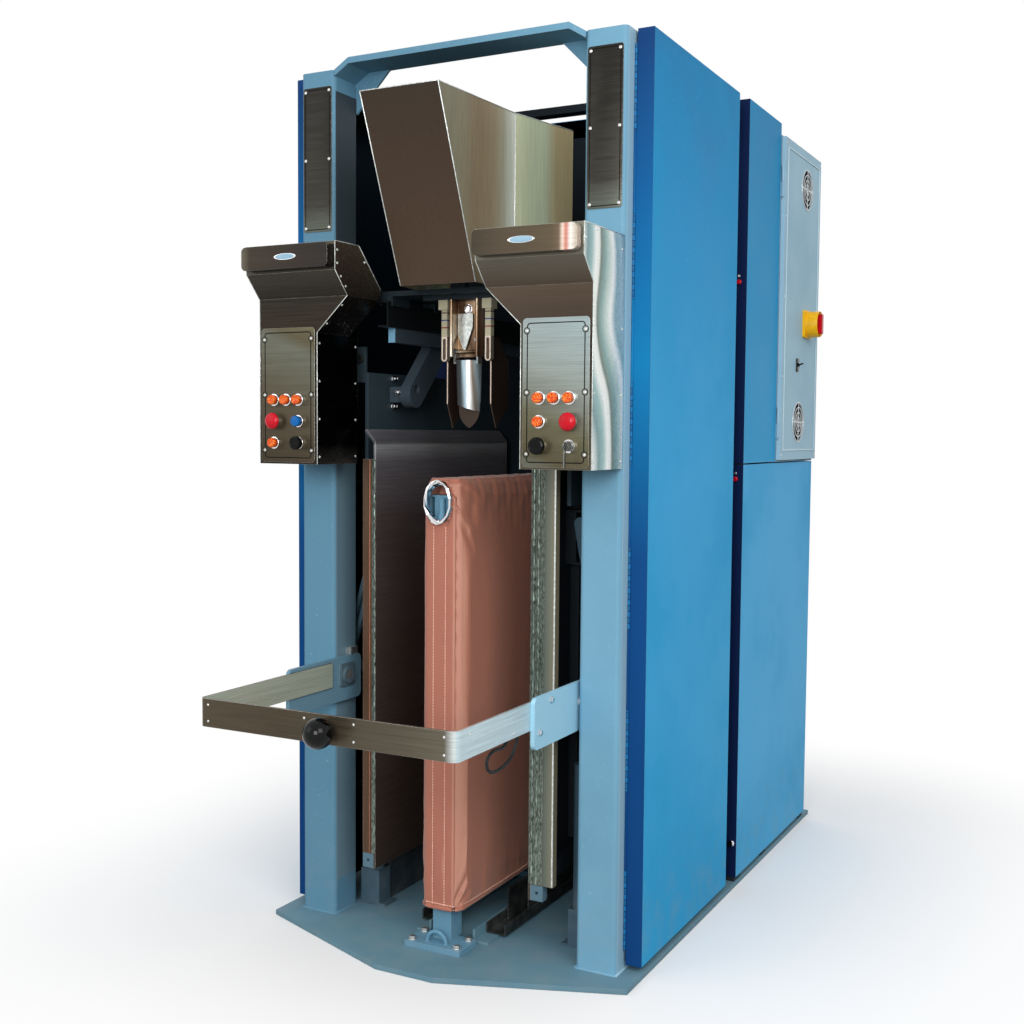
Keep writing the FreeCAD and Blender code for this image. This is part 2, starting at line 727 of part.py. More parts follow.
def cabinet_covers():
    """Back panels, shelf and roof between the side panels."""
    inner = PANEL_FACE - PANEL_FLANGE
    shelf_top = CABINET_SPLIT + SHEET
    upper_back = block(
        -inner, inner, CABINET_UPPER_REAR - SHEET, CABINET_UPPER_REAR, shelf_top, COLUMN_TOP,
    )
    lower_back = block(
        -inner, inner, CABINET_LOWER_REAR - SHEET, CABINET_LOWER_REAR, CABINET_BOTTOM, CABINET_SPLIT,
    )
    shelf = block(-PANEL_FACE, PANEL_FACE, CABINET_UPPER_REAR, CABINET_LOWER_REAR, CABINET_SPLIT, shelf_top)
    roof_half = PANEL_FACE - PANEL_HEM
    roof = block(
        -roof_half, roof_half, CABINET_FRONT + SHEET, CABINET_UPPER_REAR - SHEET,
        COLUMN_TOP, COLUMN_TOP + SHEET,
    )
    return group([upper_back, lower_back, shelf, roof])


# Side doors
def hinge_levels(own):
    """Limits of the knuckles that belong to one leaf: own is 0 for the column, 1 for the door."""
    pitch = (HINGE_TOP - HINGE_BOTTOM) / HINGE_KNUCKLES
    levels = []
    for index in range(own, HINGE_KNUCKLES, 2):
        bottom = HINGE_BOTTOM + index * pitch
        levels.append((bottom, bottom + pitch - RUNNING_GAP))
    return levels


def hinge_leaf(x0, x1, width, own):
    """One leaf with its knuckles, each joined by a tab."""
    reach = HINGE_RADIUS + HINGE_TAB_GAP
    leaf = block(x0, x1, HINGE_DEPTH + reach, HINGE_DEPTH + width, HINGE_BOTTOM, HINGE_TOP)
    parts = []
    bores = []
    for bottom, top in hinge_levels(own):
        parts.append(rod_z(HINGE_X, HINGE_DEPTH, bottom, top, HINGE_RADIUS))
        parts.append(block(x0, x1, HINGE_DEPTH, HINGE_DEPTH + reach, bottom, top))
        bores.append(rod_z(HINGE_X, HINGE_DEPTH, bottom, top, HINGE_PIN_RADIUS + HINGE_FIT))
    return leaf.fuse(parts).cut(bores)


def door_hinges():
    """Column leaves and pins of both piano hinges."""
    leaf = hinge_leaf(COLUMN_OUTER, COLUMN_OUTER + HINGE_LEAF, HINGE_LEAF_WIDTH, 0)
    pin = rod_z(HINGE_X, HINGE_DEPTH, HINGE_BOTTOM, HINGE_TOP, HINGE_PIN_RADIUS)
    return group(both_sides(leaf) + both_sides(pin))


def right_door():
    """Folded tray with a lip all round, and its own hinge leaf."""
    tray = block(DOOR_INNER, DOOR_FACE, DOOR_FRONT, DOOR_REAR, DOOR_BOTTOM, DOOR_TOP)
    cavity = block(
        DOOR_INNER + SHEET, DOOR_FACE - SHEET, DOOR_FRONT + SHEET, DOOR_REAR - SHEET,
        DOOR_BOTTOM + SHEET, DOOR_TOP - SHEET,
    )
    mouth = block(
        DOOR_INNER, DOOR_INNER + SHEET, DOOR_FRONT + DOOR_LIP, DOOR_REAR - DOOR_LIP,
        DOOR_BOTTOM + DOOR_LIP, DOOR_TOP - DOOR_LIP,
    )
    leaf = hinge_leaf(DOOR_INNER - HINGE_LEAF, DOOR_INNER, HINGE_DOOR_LEAF_WIDTH, 1)
    return group([tray.cut(cavity).cut(mouth), leaf])


# Electrical enclosure
def electrical_enclosure():
    """Sheet box that stands on the cabinet shelf, open towards its door, with two hinge leaves."""
    shell = block(
        ENCLOSURE_INNER, PANEL_FACE, ENCLOSURE_FRONT, ENCLOSURE_REAR, ENCLOSURE_BOTTOM, ENCLOSURE_TOP,
    )
    hollow = block(
        ENCLOSURE_INNER + SHEET, PANEL_FACE, ENCLOSURE_FRONT + SHEET, ENCLOSURE_REAR - SHEET,
        ENCLOSURE_BOTTOM + SHEET, ENCLOSURE_TOP - SHEET,
    )
    solids = [shell.cut(hollow)]
    for level in (ENCLOSURE_HINGE_LOW, ENCLOSURE_HINGE_HIGH):
        half = ENCLOSURE_HINGE_LENGTH / 2.0
        leaf = block(
            PANEL_FACE - HINGE_LEAF_WIDTH, ENCLOSURE_HINGE_X,
            ENCLOSURE_FRONT - HINGE_LEAF, ENCLOSURE_FRONT, level - half, level - RUNNING_GAP,
        )
        barrel = rod_z(
            ENCLOSURE_HINGE_X, ENCLOSURE_HINGE_DEPTH, level - half, level - RUNNING_GAP,
            ENCLOSURE_HINGE_RADIUS,
        )
        pin = rod_z(
            ENCLOSURE_HINGE_X, ENCLOSURE_HINGE_DEPTH, level - half, level + half, HINGE_PIN_RADIUS,
        )
        solids.append(leaf.fuse([barrel, pin]))
    return group(solids)


def fan_places():
    """Depth and level of the two door fans, upper one first."""
    return [(FAN_DEPTH_UPPER, FAN_LEVEL_UPPER), (FAN_DEPTH_LOWER, FAN_LEVEL_LOWER)]


def enclosure_door():
    """Door tray with round fan openings, spindle bars, hinge knuckles and the disconnect plate."""
    tray = block(
        ENCLOSURE_DOOR_INNER, ENCLOSURE_DOOR_FACE, ENCLOSURE_DOOR_FRONT, ENCLOSURE_DOOR_REAR,
        ENCLOSURE_DOOR_BOTTOM, ENCLOSURE_DOOR_TOP,
    )
    cavity = block(
        ENCLOSURE_DOOR_INNER, ENCLOSURE_DOOR_FACE - SHEET,
        ENCLOSURE_DOOR_FRONT + SHEET, ENCLOSURE_DOOR_REAR - SHEET,
        ENCLOSURE_DOOR_BOTTOM + SHEET, ENCLOSURE_DOOR_TOP - SHEET,
    )
    door = tray.cut(cavity)
    spindles = []
    for depth, level in fan_places():
        door = door.cut(rod_x(ENCLOSURE_DOOR_INNER, ENCLOSURE_DOOR_FACE, depth, level, FAN_HOLE_RADIUS))
        spindles.append(fan_bearer(depth, level))
    knuckles = []
    for level in (ENCLOSURE_HINGE_LOW, ENCLOSURE_HINGE_HIGH):
        top = level + ENCLOSURE_HINGE_LENGTH / 2.0
        barrel = rod_z(ENCLOSURE_HINGE_X, ENCLOSURE_HINGE_DEPTH, level, top, ENCLOSURE_HINGE_RADIUS)
        tab = block(
            ENCLOSURE_HINGE_X - HINGE_LEAF, ENCLOSURE_HINGE_X + HINGE_LEAF,
            ENCLOSURE_HINGE_DEPTH, ENCLOSURE_DOOR_FRONT, level, top,
        )
        bore = rod_z(ENCLOSURE_HINGE_X, ENCLOSURE_HINGE_DEPTH, level, top, HINGE_PIN_RADIUS + HINGE_FIT)
        knuckles.append(barrel.fuse(tab).cut(bore))
    half = DISCONNECT_PLATE / 2.0
    plate = block(
        ENCLOSURE_DOOR_FACE, ENCLOSURE_DOOR_FACE + DISCONNECT_PLATE_THICKNESS,
        DISCONNECT_DEPTH - half, DISCONNECT_DEPTH + half, DISCONNECT_LEVEL - half, DISCONNECT_LEVEL + half,
    )
    plate = rounded(plate, "x", DISCONNECT_PLATE_ROUND)
    return group([door] + spindles + knuckles + [plate] + fan_guards())


def fan_bearer(depth, level):
    """Bar across a fan opening's inner side with the spindle that the fan turns on."""
    bar_outer = ENCLOSURE_DOOR_INNER - FAN_LENGTH / 2.0 - RUNNING_GAP
    bar_inner = bar_outer - FAN_BEARER_THICKNESS
    half = FAN_BEARER_WIDTH / 2.0
    reach = FAN_HOLE_RADIUS + FAN_BEARER_MARGIN
    bar = block(bar_inner, bar_outer, depth - half, depth + half, level - reach, level + reach)
    legs = []
    for bottom in (level - reach, level + reach - FAN_BEARER_THICKNESS):
        legs.append(block(
            bar_outer, ENCLOSURE_DOOR_FACE - SHEET, depth - half, depth + half,
            bottom, bottom + FAN_BEARER_THICKNESS,
        ))
    spindle = rod_x(bar_outer, bar_outer + FAN_LENGTH, depth, level, FAN_SPINDLE_RADIUS)
    return bar.fuse(legs + [spindle])


def fan(depth, level):
    """Hub and pitched blades of one cooling fan."""
    start = ENCLOSURE_DOOR_INNER - FAN_LENGTH / 2.0
    hub = rod_x(start, start + FAN_LENGTH, depth, level, FAN_HUB_RADIUS)
    blade = block(
        start + FAN_BLADE_THICKNESS, start + FAN_LENGTH - FAN_BLADE_THICKNESS,
        depth - FAN_BLADE_THICKNESS / 2.0, depth + FAN_BLADE_THICKNESS / 2.0,
        level + FAN_HUB_RADIUS / 2.0, level + FAN_RADIUS,
    )
    centre = FreeCAD.Vector(start + FAN_LENGTH / 2.0, at(depth), level)
    blade.rotate(centre, FreeCAD.Vector(0, 0, 1), FAN_BLADE_SWEEP)
    blades = []
    for index in range(FAN_BLADES):
        copy = blade.copy()
        copy.rotate(centre, FreeCAD.Vector(1, 0, 0), index * 360.0 / FAN_BLADES)
        blades.append(copy)
    bore = rod_x(start, start + FAN_LENGTH, depth, level, FAN_SPINDLE_RADIUS + HINGE_FIT)
    return hub.fuse(blades).cut(bore)


def fan_guards():
    """Finger guards: flat rings on a cross of two bars over each fan opening."""
    guards = []
    outer_face = ENCLOSURE_DOOR_FACE + GUARD_WIRE
    half = GUARD_WIRE / 2.0
    for depth, level in fan_places():
        wires = []
        for index in range(1, GUARD_RING_COUNT + 1):
            radius = GUARD_RADIUS * index / GUARD_RING_COUNT
            ring = rod_x(ENCLOSURE_DOOR_FACE, outer_face, depth, level, radius + half)
            wires.append(ring.cut(rod_x(ENCLOSURE_DOOR_FACE, outer_face, depth, level, radius - half)))
        for across, up in ((GUARD_RADIUS, half), (half, GUARD_RADIUS)):
            wires.append(block(
                ENCLOSURE_DOOR_FACE, outer_face, depth - across, depth + across, level - up, level + up,
            ))
        guards.append(wires[0].fuse(wires[1:]).removeSplitter())
    return guards


def disconnect_handle():
    """Round boss with a flat grip."""
    start = ENCLOSURE_DOOR_FACE + DISCONNECT_PLATE_THICKNESS
    boss = rod_x(
        start, start + DISCONNECT_HANDLE_LENGTH, DISCONNECT_DEPTH, DISCONNECT_LEVEL, DISCONNECT_HANDLE_RADIUS,
    )
    grip = block(
        start + DISCONNECT_HANDLE_LENGTH, start + DISCONNECT_HANDLE_LENGTH + DISCONNECT_GRIP_LENGTH,
        DISCONNECT_DEPTH - DISCONNECT_GRIP_WIDTH / 2.0, DISCONNECT_DEPTH + DISCONNECT_GRIP_WIDTH / 2.0,
        DISCONNECT_LEVEL - DISCONNECT_HANDLE_RADIUS, DISCONNECT_LEVEL + DISCONNECT_HANDLE_RADIUS,
    )
    return boss.fuse(rounded(grip, "x", DISCONNECT_GRIP_ROUND))


# Control boxes
def box_form(wall):
    """Outer form of the right control box, drawn in by a wall on every side."""
    body = block(
        BOX_BODY_INNER + wall, COLUMN_OUTER - wall,
        BOX_FRONT + wall, -wall,
        BOX_BOTTOM + wall, BOX_BROW_LEVEL,
    )
    head = [
        (BOX_HEAD_FRONT + wall, BOX_TOP - wall),
        (BOX_HEAD_TOP_REAR - wall, BOX_TOP - wall),
        (BOX_HEAD_REAR - wall, BOX_HEAD_REAR_LEVEL),
        (BOX_WEDGE_REAR - wall, BOX_BROW_LEVEL),
        (BOX_FRONT + wall, BOX_BROW_LEVEL),
        (BOX_HEAD_FRONT + wall, BOX_HEAD_LEVEL + wall),
    ]
    head = prism_x(head, BOX_HEAD_INNER + wall, COLUMN_OUTER - wall)
    shoulder = block(
        COLUMN_INNER + wall, COLUMN_OUTER - wall, BOX_HEAD_TOP_REAR - 2.0 * wall, -wall,
        BOX_BROW_LEVEL, BOX_TOP - wall,
    )
    wedge = [
        (BOX_HEAD_INNER + 2.0 * wall, BOX_BROW_LEVEL),
        (BOX_BODY_INNER + wall, BOX_BROW_LEVEL),
        (BOX_BODY_INNER + wall, BOX_WEDGE_LEVEL + wall),
    ]
    wedge = prism_y(wedge, BOX_FRONT + wall, BOX_WEDGE_REAR - wall)
    return body.fuse([head, shoulder, wedge]).removeSplitter()


def right_buttons():
    """Buttons of the right box: name, x, level and head radius."""
    return [
        ("right_lamp_button_1", FACEPLATE_CENTRE - BUTTON_PITCH, BUTTON_ROW_TOP, LAMP_RADIUS),
        ("right_lamp_button_2", FACEPLATE_CENTRE, BUTTON_ROW_TOP, LAMP_RADIUS),
        ("right_lamp_button_3", FACEPLATE_CENTRE + BUTTON_PITCH, BUTTON_ROW_TOP, LAMP_RADIUS),
        ("right_orange_button", FACEPLATE_CENTRE - BUTTON_PITCH, BUTTON_ROW_MIDDLE, LAMP_RADIUS),
        ("right_red_mushroom", FACEPLATE_CENTRE + BUTTON_PITCH, BUTTON_ROW_MIDDLE, MUSHROOM_RADIUS),
        ("right_black_button", FACEPLATE_CENTRE - BUTTON_PITCH, BUTTON_ROW_BOTTOM, LARGE_BLACK_RADIUS),
    ]


def left_buttons():
    """Buttons of the left box: name, x, level and head radius."""
    return [
        ("left_lamp_button_1", -FACEPLATE_CENTRE - BUTTON_PITCH, BUTTON_ROW_TOP, LAMP_RADIUS),
        ("left_lamp_button_2", -FACEPLATE_CENTRE, BUTTON_ROW_TOP, LAMP_RADIUS),
        ("left_lamp_button_3", -FACEPLATE_CENTRE + BUTTON_PITCH, BUTTON_ROW_TOP, LAMP_RADIUS),
        ("left_red_mushroom", -FACEPLATE_CENTRE - BUTTON_PITCH, BUTTON_ROW_MIDDLE, MUSHROOM_RADIUS),
        ("left_blue_button", -FACEPLATE_CENTRE + BUTTON_PITCH, BUTTON_ROW_MIDDLE, SMALL_BUTTON_RADIUS),
        ("left_orange_button", -FACEPLATE_CENTRE - BUTTON_PITCH, BUTTON_ROW_BOTTOM, LAMP_RADIUS),
        ("left_black_button", -FACEPLATE_CENTRE + BUTTON_PITCH, BUTTON_ROW_BOTTOM, BLACK_BUTTON_RADIUS),
    ]


def key_place():
    """X and level of the key switch on the right box."""
    return FACEPLATE_CENTRE + BUTTON_PITCH, BUTTON_ROW_BOTTOM


def stem_places(side):
    """X and level of every stem on one box: side is -1 for the left box, 1 for the right."""
    buttons = right_buttons() if side > 0 else left_buttons()
    places = [(x, level) for name, x, level, radius in buttons]
    if side > 0:
        places.append(key_place())
    return places


def stem_holes(side, d0, d1):
    """Cutters for the stems of one box between two depths."""
    radius = STEM_RADIUS + STEM_CLEARANCE
    return [rod_y(x, d0, d1, level, radius) for x, level in stem_places(side)]


def plunger_places():
    """X of the two plungers of the right push bar."""
    return [PUSH_BAR_INNER + PLUNGER_INSET, PUSH_BAR_OUTER - PLUNGER_INSET]


def control_box(side):
    """Stainless box with holes for the stems and the push bar's plungers."""
    shell = box_form(0.0).cut(box_form(SHEET))
    if side < 0:
        shell = mirrored(shell)
    level = PUSH_BAR_BOTTOM + PUSH_BAR_HEIGHT / 2.0
    cutters = stem_holes(side, BOX_FRONT, BOX_FRONT + SHEET)
    for x in plunger_places():
        cutters.append(rod_y(
            side * x, BOX_HEAD_FRONT, BOX_HEAD_FRONT + SHEET, level, PLUNGER_RADIUS + PLUNGER_CLEARANCE,
        ))
    return shell.cut(cutters)


def control_faceplates():
    """Engraved plates on the front of both boxes, bored for the stems."""
    plates = []
    for side in (1.0, -1.0):
        centre = side * FACEPLATE_CENTRE
        plate = block(
            centre - FACEPLATE_WIDTH / 2.0, centre + FACEPLATE_WIDTH / 2.0,
            FACEPLATE_FRONT, BOX_FRONT, FACEPLATE_BOTTOM, FACEPLATE_BOTTOM + FACEPLATE_HEIGHT,
        )
        plates.append(rounded(plate, "y", FACEPLATE_RADIUS).cut(stem_holes(side, FACEPLATE_FRONT, BOX_FRONT)))
    return group(plates)


def button_bezels():
    """Chrome collars that guide the stems."""
    rings = []
    for side in (1.0, -1.0):
        for x, level in stem_places(side):
            front = FACEPLATE_FRONT - BEZEL_LENGTH
            ring = rod_y(x, front, FACEPLATE_FRONT, level, BEZEL_RADIUS)
            rings.append(ring.cut(rod_y(x, front, FACEPLATE_FRONT, level, STEM_RADIUS + STEM_CLEARANCE)))
    return group(rings)


def button(x, level, radius):
    """Domed head on a stem with a retainer behind the box wall."""
    head_rear = FACEPLATE_FRONT - BEZEL_LENGTH - BUTTON_TRAVEL_GAP
    wall_rear = BOX_FRONT + SHEET
    sphere_radius = (radius ** 2 + BUTTON_CROWN ** 2) / (2.0 * BUTTON_CROWN)
    apex = head_rear - BUTTON_LENGTH
    dome = Part.makeSphere(sphere_radius, FreeCAD.Vector(x, at(apex + sphere_radius), level))
    head = rod_y(x, apex, head_rear, level, radius).common(dome)
    stem = rod_y(x, head_rear, wall_rear + STEM_LENGTH, level, STEM_RADIUS)
    retainer = rod_y(
        x, wall_rear + RUNNING_GAP, wall_rear + RUNNING_GAP + RETAINER_THICKNESS, level, RETAINER_RADIUS,
    )
    return head.fuse([stem, retainer])


def key_switch():
    """Lock barrel with its key, a bow and a hanging tag."""
    x, level = key_place()
    face = FACEPLATE_FRONT - BEZEL_LENGTH - RUNNING_GAP
    wall_rear = BOX_FRONT + SHEET
    barrel = rod_y(x, face - BEZEL_LENGTH / 2.0, face, level, KEY_BARREL_RADIUS)
    stem = rod_y(x, face, wall_rear + STEM_LENGTH, level, STEM_RADIUS)
    retainer = rod_y(
        x, wall_rear + RUNNING_GAP, wall_rear + RUNNING_GAP + RETAINER_THICKNESS, level, RETAINER_RADIUS,
    )
    bow_depth = face - BEZEL_LENGTH - KEY_BOW_RADIUS
    bow = rod_x(x - KEY_THICKNESS / 2.0, x + KEY_THICKNESS / 2.0, bow_depth, level, KEY_BOW_RADIUS)
    blade = block(
        x - KEY_THICKNESS / 2.0, x + KEY_THICKNESS / 2.0, bow_depth, face,
        level - KEY_THICKNESS, level + KEY_THICKNESS,
    )
    tag = block(
        x - KEY_THICKNESS / 2.0, x + KEY_THICKNESS / 2.0,
        bow_depth - KEY_TAG_WIDTH / 2.0, bow_depth + KEY_TAG_WIDTH / 2.0,
        level - KEY_TAG_LENGTH, level,
    )
    return barrel.fuse([stem, retainer, bow, blade, tag])


def push_bar(side):
    """Rounded bar across the head of a control box, on two plungers."""
    front = PUSH_BAR_REAR - PUSH_BAR_THICKNESS
    bar = block(
        PUSH_BAR_INNER, PUSH_BAR_OUTER, front, PUSH_BAR_REAR,
        PUSH_BAR_BOTTOM, PUSH_BAR_BOTTOM + PUSH_BAR_HEIGHT,
    )
    bar = rounded(bar, "y", PUSH_BAR_RADIUS)
    level = PUSH_BAR_BOTTOM + PUSH_BAR_HEIGHT / 2.0
    plungers = [
        rod_y(x, PUSH_BAR_REAR, PUSH_BAR_REAR + PLUNGER_LENGTH, level, PLUNGER_RADIUS)
        for x in plunger_places()
    ]
    bar = bar.fuse(plungers)
    return bar if side > 0 else mirrored(bar)


# Buck
def buck_post(front):
    """Square post on a floor slab."""
    slab_front = front + SLAB_FRONT - BUCK_POST_FRONT
    slab = block(
        -SLAB_WIDTH / 2.0, SLAB_WIDTH / 2.0, slab_front, slab_front + SLAB_LENGTH, BASE_THICKNESS, SLAB_TOP,
    )
    tube = tube_block(
        -BUCK_POST_HALF, BUCK_POST_HALF, front, front + BUCK_POST,
        SLAB_TOP, CORE_TOP - CORE_SHEET, BUCK_POST_WALL, "z",
    )
    return [slab, tube]


def buck_frame():
    """Two posts on slabs, the folded core over them, the lifting hoop and the steam fitting."""
    rear = BUCK_REAR_POST_FRONT + BUCK_POST
    cover = block(-CORE_HALF, CORE_HALF, BUCK_POST_FRONT, rear, CORE_BOTTOM, CORE_TOP)
    inside = CORE_HALF - CORE_SHEET
    cover = cover.cut(block(-inside, inside, BUCK_POST_FRONT, rear, CORE_BOTTOM, CORE_TOP - CORE_SHEET))
    ring = Part.makeTorus(
        HOOP_RADIUS, HOOP_ROD, FreeCAD.Vector(0, at(HOOP_DEPTH), SLAB_TOP), FreeCAD.Vector(0, 1, 0),
    )
    reach = HOOP_RADIUS + HOOP_ROD
    hoop = ring.common(block(
        -reach, reach, HOOP_DEPTH - HOOP_ROD, HOOP_DEPTH + HOOP_ROD, SLAB_TOP, SLAB_TOP + reach,
    ))
    fitting_depth = BUCK_POST_FRONT - FITTING_RADIUS
    pipe = rod_z(0.0, fitting_depth, FITTING_BOTTOM, FITTING_TOP, FITTING_RADIUS)
    union = rod_z(
        0.0, fitting_depth, FITTING_BOTTOM, FITTING_BOTTOM + UNION_LENGTH, UNION_RADIUS,
    )
    post_clear = block(
        -UNION_RADIUS, UNION_RADIUS,
        BUCK_POST_FRONT, BUCK_POST_FRONT + UNION_RADIUS,
        FITTING_BOTTOM, FITTING_TOP,
    )
    fitting = pipe.fuse(union).cut(post_clear)
    return group(buck_post(BUCK_POST_FRONT) + buck_post(BUCK_REAR_POST_FRONT) + [cover, hoop, fitting])


def pad_section(level, draw):
    """Rounded outline of the cover at one level, drawn in on every side."""
    half = PAD_HALF - draw
    front = PAD_FRONT + draw
    rear = PAD_REAR - draw
    radius = PAD_CORNER - draw
    inner_x = half - radius
    slant = radius * math.sqrt(0.5)
    runs = []
    corners = (
        (inner_x, front + radius, 1.0, -1.0),
        (inner_x, rear - radius, 1.0, 1.0),
        (-inner_x, rear - radius, -1.0, 1.0),
        (-inner_x, front + radius, -1.0, -1.0),
    )
    for index, (x, depth, sx, sy) in enumerate(corners):
        on_front = FreeCAD.Vector(x, at(depth + sy * radius), level)
        on_side = FreeCAD.Vector(x + sx * radius, at(depth), level)
        middle = FreeCAD.Vector(x + sx * slant, at(depth + sy * slant), level)
        first, last = (on_front, on_side) if index % 2 == 0 else (on_side, on_front)
        runs.append((first, middle, last))
    edges = []
    for index, (first, middle, last) in enumerate(runs):
        edges.append(Part.Arc(first, middle, last).toShape())
        edges.append(Part.makeLine(last, runs[(index + 1) % len(runs)][0]))
    return Part.Wire(edges)


def buck_pad():
    """Padded cover: drawn-in hem, full sides, crowned top and an oval opening in front."""
    sections = [
        pad_section(PAD_BOTTOM, PAD_HEM_DRAW),
        pad_section(PAD_BOTTOM + PAD_HEM_HEIGHT, 0.0),
        pad_section(PAD_TOP - PAD_SHOULDER, 0.0),
        pad_section(PAD_TOP - PAD_ROLL, PAD_ROLL_DRAW),
        pad_section(PAD_TOP, PAD_CROWN),
    ]
    form = Part.makeLoft(sections, True, True)
    side = CORE_HALF + PAD_CLEARANCE
    cavity = block(
        -side, side, PAD_FRONT + PAD_FRONT_CAVITY, BUCK_REAR_POST_FRONT + BUCK_POST + PAD_CLEARANCE,
        PAD_BOTTOM, CORE_TOP + PAD_CLEARANCE,
    )
    opening = Part.makeCylinder(
        1.0, -PAD_FRONT, FreeCAD.Vector(0, 0, 0), FreeCAD.Vector(0, 1, 0),
    )
    stretch = FreeCAD.Matrix()
    stretch.scale(OPENING_HALF_WIDTH, 1.0, OPENING_HALF_HEIGHT)
    opening = opening.transformGeometry(stretch)
    opening.translate(FreeCAD.Vector(0, at(PAD_FRONT), OPENING_LEVEL))
    return form.cut(cavity).cut(opening)


# Press heads
def right_press_plate():
    """Polished plate with a lip that flares away from the buck."""
    back = HEAD_FACE + PLATE_THICKNESS
    outline = [
        (HEAD_FACE, PLATE_BOTTOM),
        (HEAD_FACE, PLATE_TOP),
        (HEAD_FACE + LIP_OUT, PLATE_TOP + LIP_UP),
        (HEAD_FACE + LIP_OUT + PLATE_THICKNESS, PLATE_TOP + LIP_UP - PLATE_THICKNESS / 2.0),
        (back, PLATE_TOP - PLATE_THICKNESS / 2.0),
        (back, PLATE_BOTTOM),
    ]
    return prism_y(outline, 0.0, HEAD_DEPTH)


def rod_places():
    """Depth and level of the guide rods of a head."""
    places = []
    for depth in (ROD_DEPTH_FRONT, ROD_DEPTH_REAR):
        for level in (ROD_LEVEL_LOWER, ROD_LEVEL_UPPER):
            places.append((depth, level))
    return places


def edge_flange():
    """Folded strip along the outer front edge of the right steam chest."""
    outer = CHEST_BACK + EDGE_FLANGE_WIDTH
    face = block(CHEST_BACK, outer, 0.0, SHEET, CHEST_BOTTOM, CHEST_TOP)
    back = block(outer - SHEET, outer, 0.0, EDGE_FLANGE_RETURN, CHEST_BOTTOM, CHEST_TOP)
    return face.fuse(back)


def head_frame():
    """Steam chest with a rim, back bars with guide rods, foot block and the lever's slotted bracket."""
    chest_face = HEAD_FACE + PLATE_THICKNESS
    chest = block(chest_face, CHEST_BACK, 0.0, HEAD_DEPTH, CHEST_BOTTOM, CHEST_TOP)
    pocket = block(
        POCKET_FLOOR, CHEST_BACK, CHEST_RIM, HEAD_DEPTH - CHEST_RIM,
        CHEST_BOTTOM + CHEST_RIM, CHEST_TOP - CHEST_RIM,
    )
    solids = [chest.cut(pocket)]
    foot = block(chest_face, CHEST_BACK, 0.0, FOOT_BLOCK_LENGTH, PLATE_BOTTOM, CHEST_BOTTOM)
    foot_hole = rod_y(
        (chest_face + CHEST_BACK) / 2.0, 0.0, FOOT_BLOCK_LENGTH,
        (PLATE_BOTTOM + CHEST_BOTTOM) / 2.0, FOOT_BLOCK_HOLE,
    )
    solids.append(foot.cut(foot_hole))
    for depth in (ROD_DEPTH_FRONT, ROD_DEPTH_REAR):
        bar = block(
            POCKET_FLOOR, BACK_BAR_BACK, depth - BACK_BAR_WIDTH / 2.0, depth + BACK_BAR_WIDTH / 2.0,
            BACK_BAR_BOTTOM, BACK_BAR_TOP,
        )
        rods = [
            rod_x(BACK_BAR_BACK, ROD_OUTER_END, depth, level, ROD_RADIUS)
            for level in (ROD_LEVEL_LOWER, ROD_LEVEL_UPPER)
        ]
        solids.append(bar.fuse(rods))
    solids.append(slot_bracket())
    return solids


def slot_bracket():
    """Loop on the back of a head with an upright slot for the lever's roller."""
    half = ROLLER_RADIUS + SLOT_CLEARANCE
    bottom = ROLLER_LEVEL - SLOT_BELOW
    top = ROLLER_LEVEL + SLOT_ABOVE
    loop = block(
        BACK_BAR_BACK, ROLLER_X + half + SLOT_WALL, SLOT_BRACKET_FRONT, SLOT_BRACKET_REAR,
        bottom - SLOT_WALL, top + SLOT_WALL,
    )
    slot = block(ROLLER_X - half, ROLLER_X + half, SLOT_BRACKET_FRONT, SLOT_BRACKET_REAR, bottom, top)
    pad = block(
        POCKET_FLOOR, BACK_BAR_BACK, SLOT_BRACKET_FRONT, ROD_DEPTH_FRONT - BACK_BAR_WIDTH / 2.0,
        bottom - SLOT_WALL, top + SLOT_WALL,
    )
    return loop.cut(slot).fuse(pad)


def head_guides():
    """Upper and lower side plates with guide bushes, tied to the columns and the floor."""
    bush_outer = BUSH_INNER_END + BUSH_LENGTH
    upper = block(
        GUIDE_PLATE_INNER, GUIDE_PLATE_OUTER, UPPER_PLATE_FRONT, BULKHEAD_FRONT,
        UPPER_PLATE_BOTTOM, UPPER_PLATE_TOP,
    )
    lower = block(
        GUIDE_PLATE_INNER, GUIDE_PLATE_OUTER, LOWER_PLATE_FRONT, BULKHEAD_FRONT,
        BASE_THICKNESS, LOWER_PLATE_TOP,
    )
    flange = block(
        GUIDE_PLATE_OUTER, GUIDE_PLATE_OUTER + LOWER_PLATE_FLANGE, LOWER_PLATE_FRONT, BULKHEAD_FRONT,
        BASE_THICKNESS, BASE_THICKNESS + GUIDE_PLATE_THICKNESS,
    )
    lower = lower.fuse(flange)
    tie = block(
        GUIDE_PLATE_OUTER, COLUMN_INNER, UPPER_PLATE_FRONT, UPPER_PLATE_FRONT + TIE_THICKNESS,
        TIE_BOTTOM, TIE_TOP,
    )
    holes = []
    bushes = []
    for depth, level in rod_places():
        holes.append(rod_x(GUIDE_PLATE_INNER, GUIDE_PLATE_OUTER, depth, level, BUSH_RADIUS + BUSH_SEAT))
        bush = rod_x(BUSH_INNER_END, bush_outer, depth, level, BUSH_RADIUS)
        bushes.append(bush.cut(rod_x(BUSH_INNER_END, bush_outer, depth, level, ROD_RADIUS + ROD_FIT)))
    solids = []
    for piece in [upper.cut(holes), lower.cut(holes), tie] + bushes:
        solids.extend(both_sides(piece))
    return group(solids)


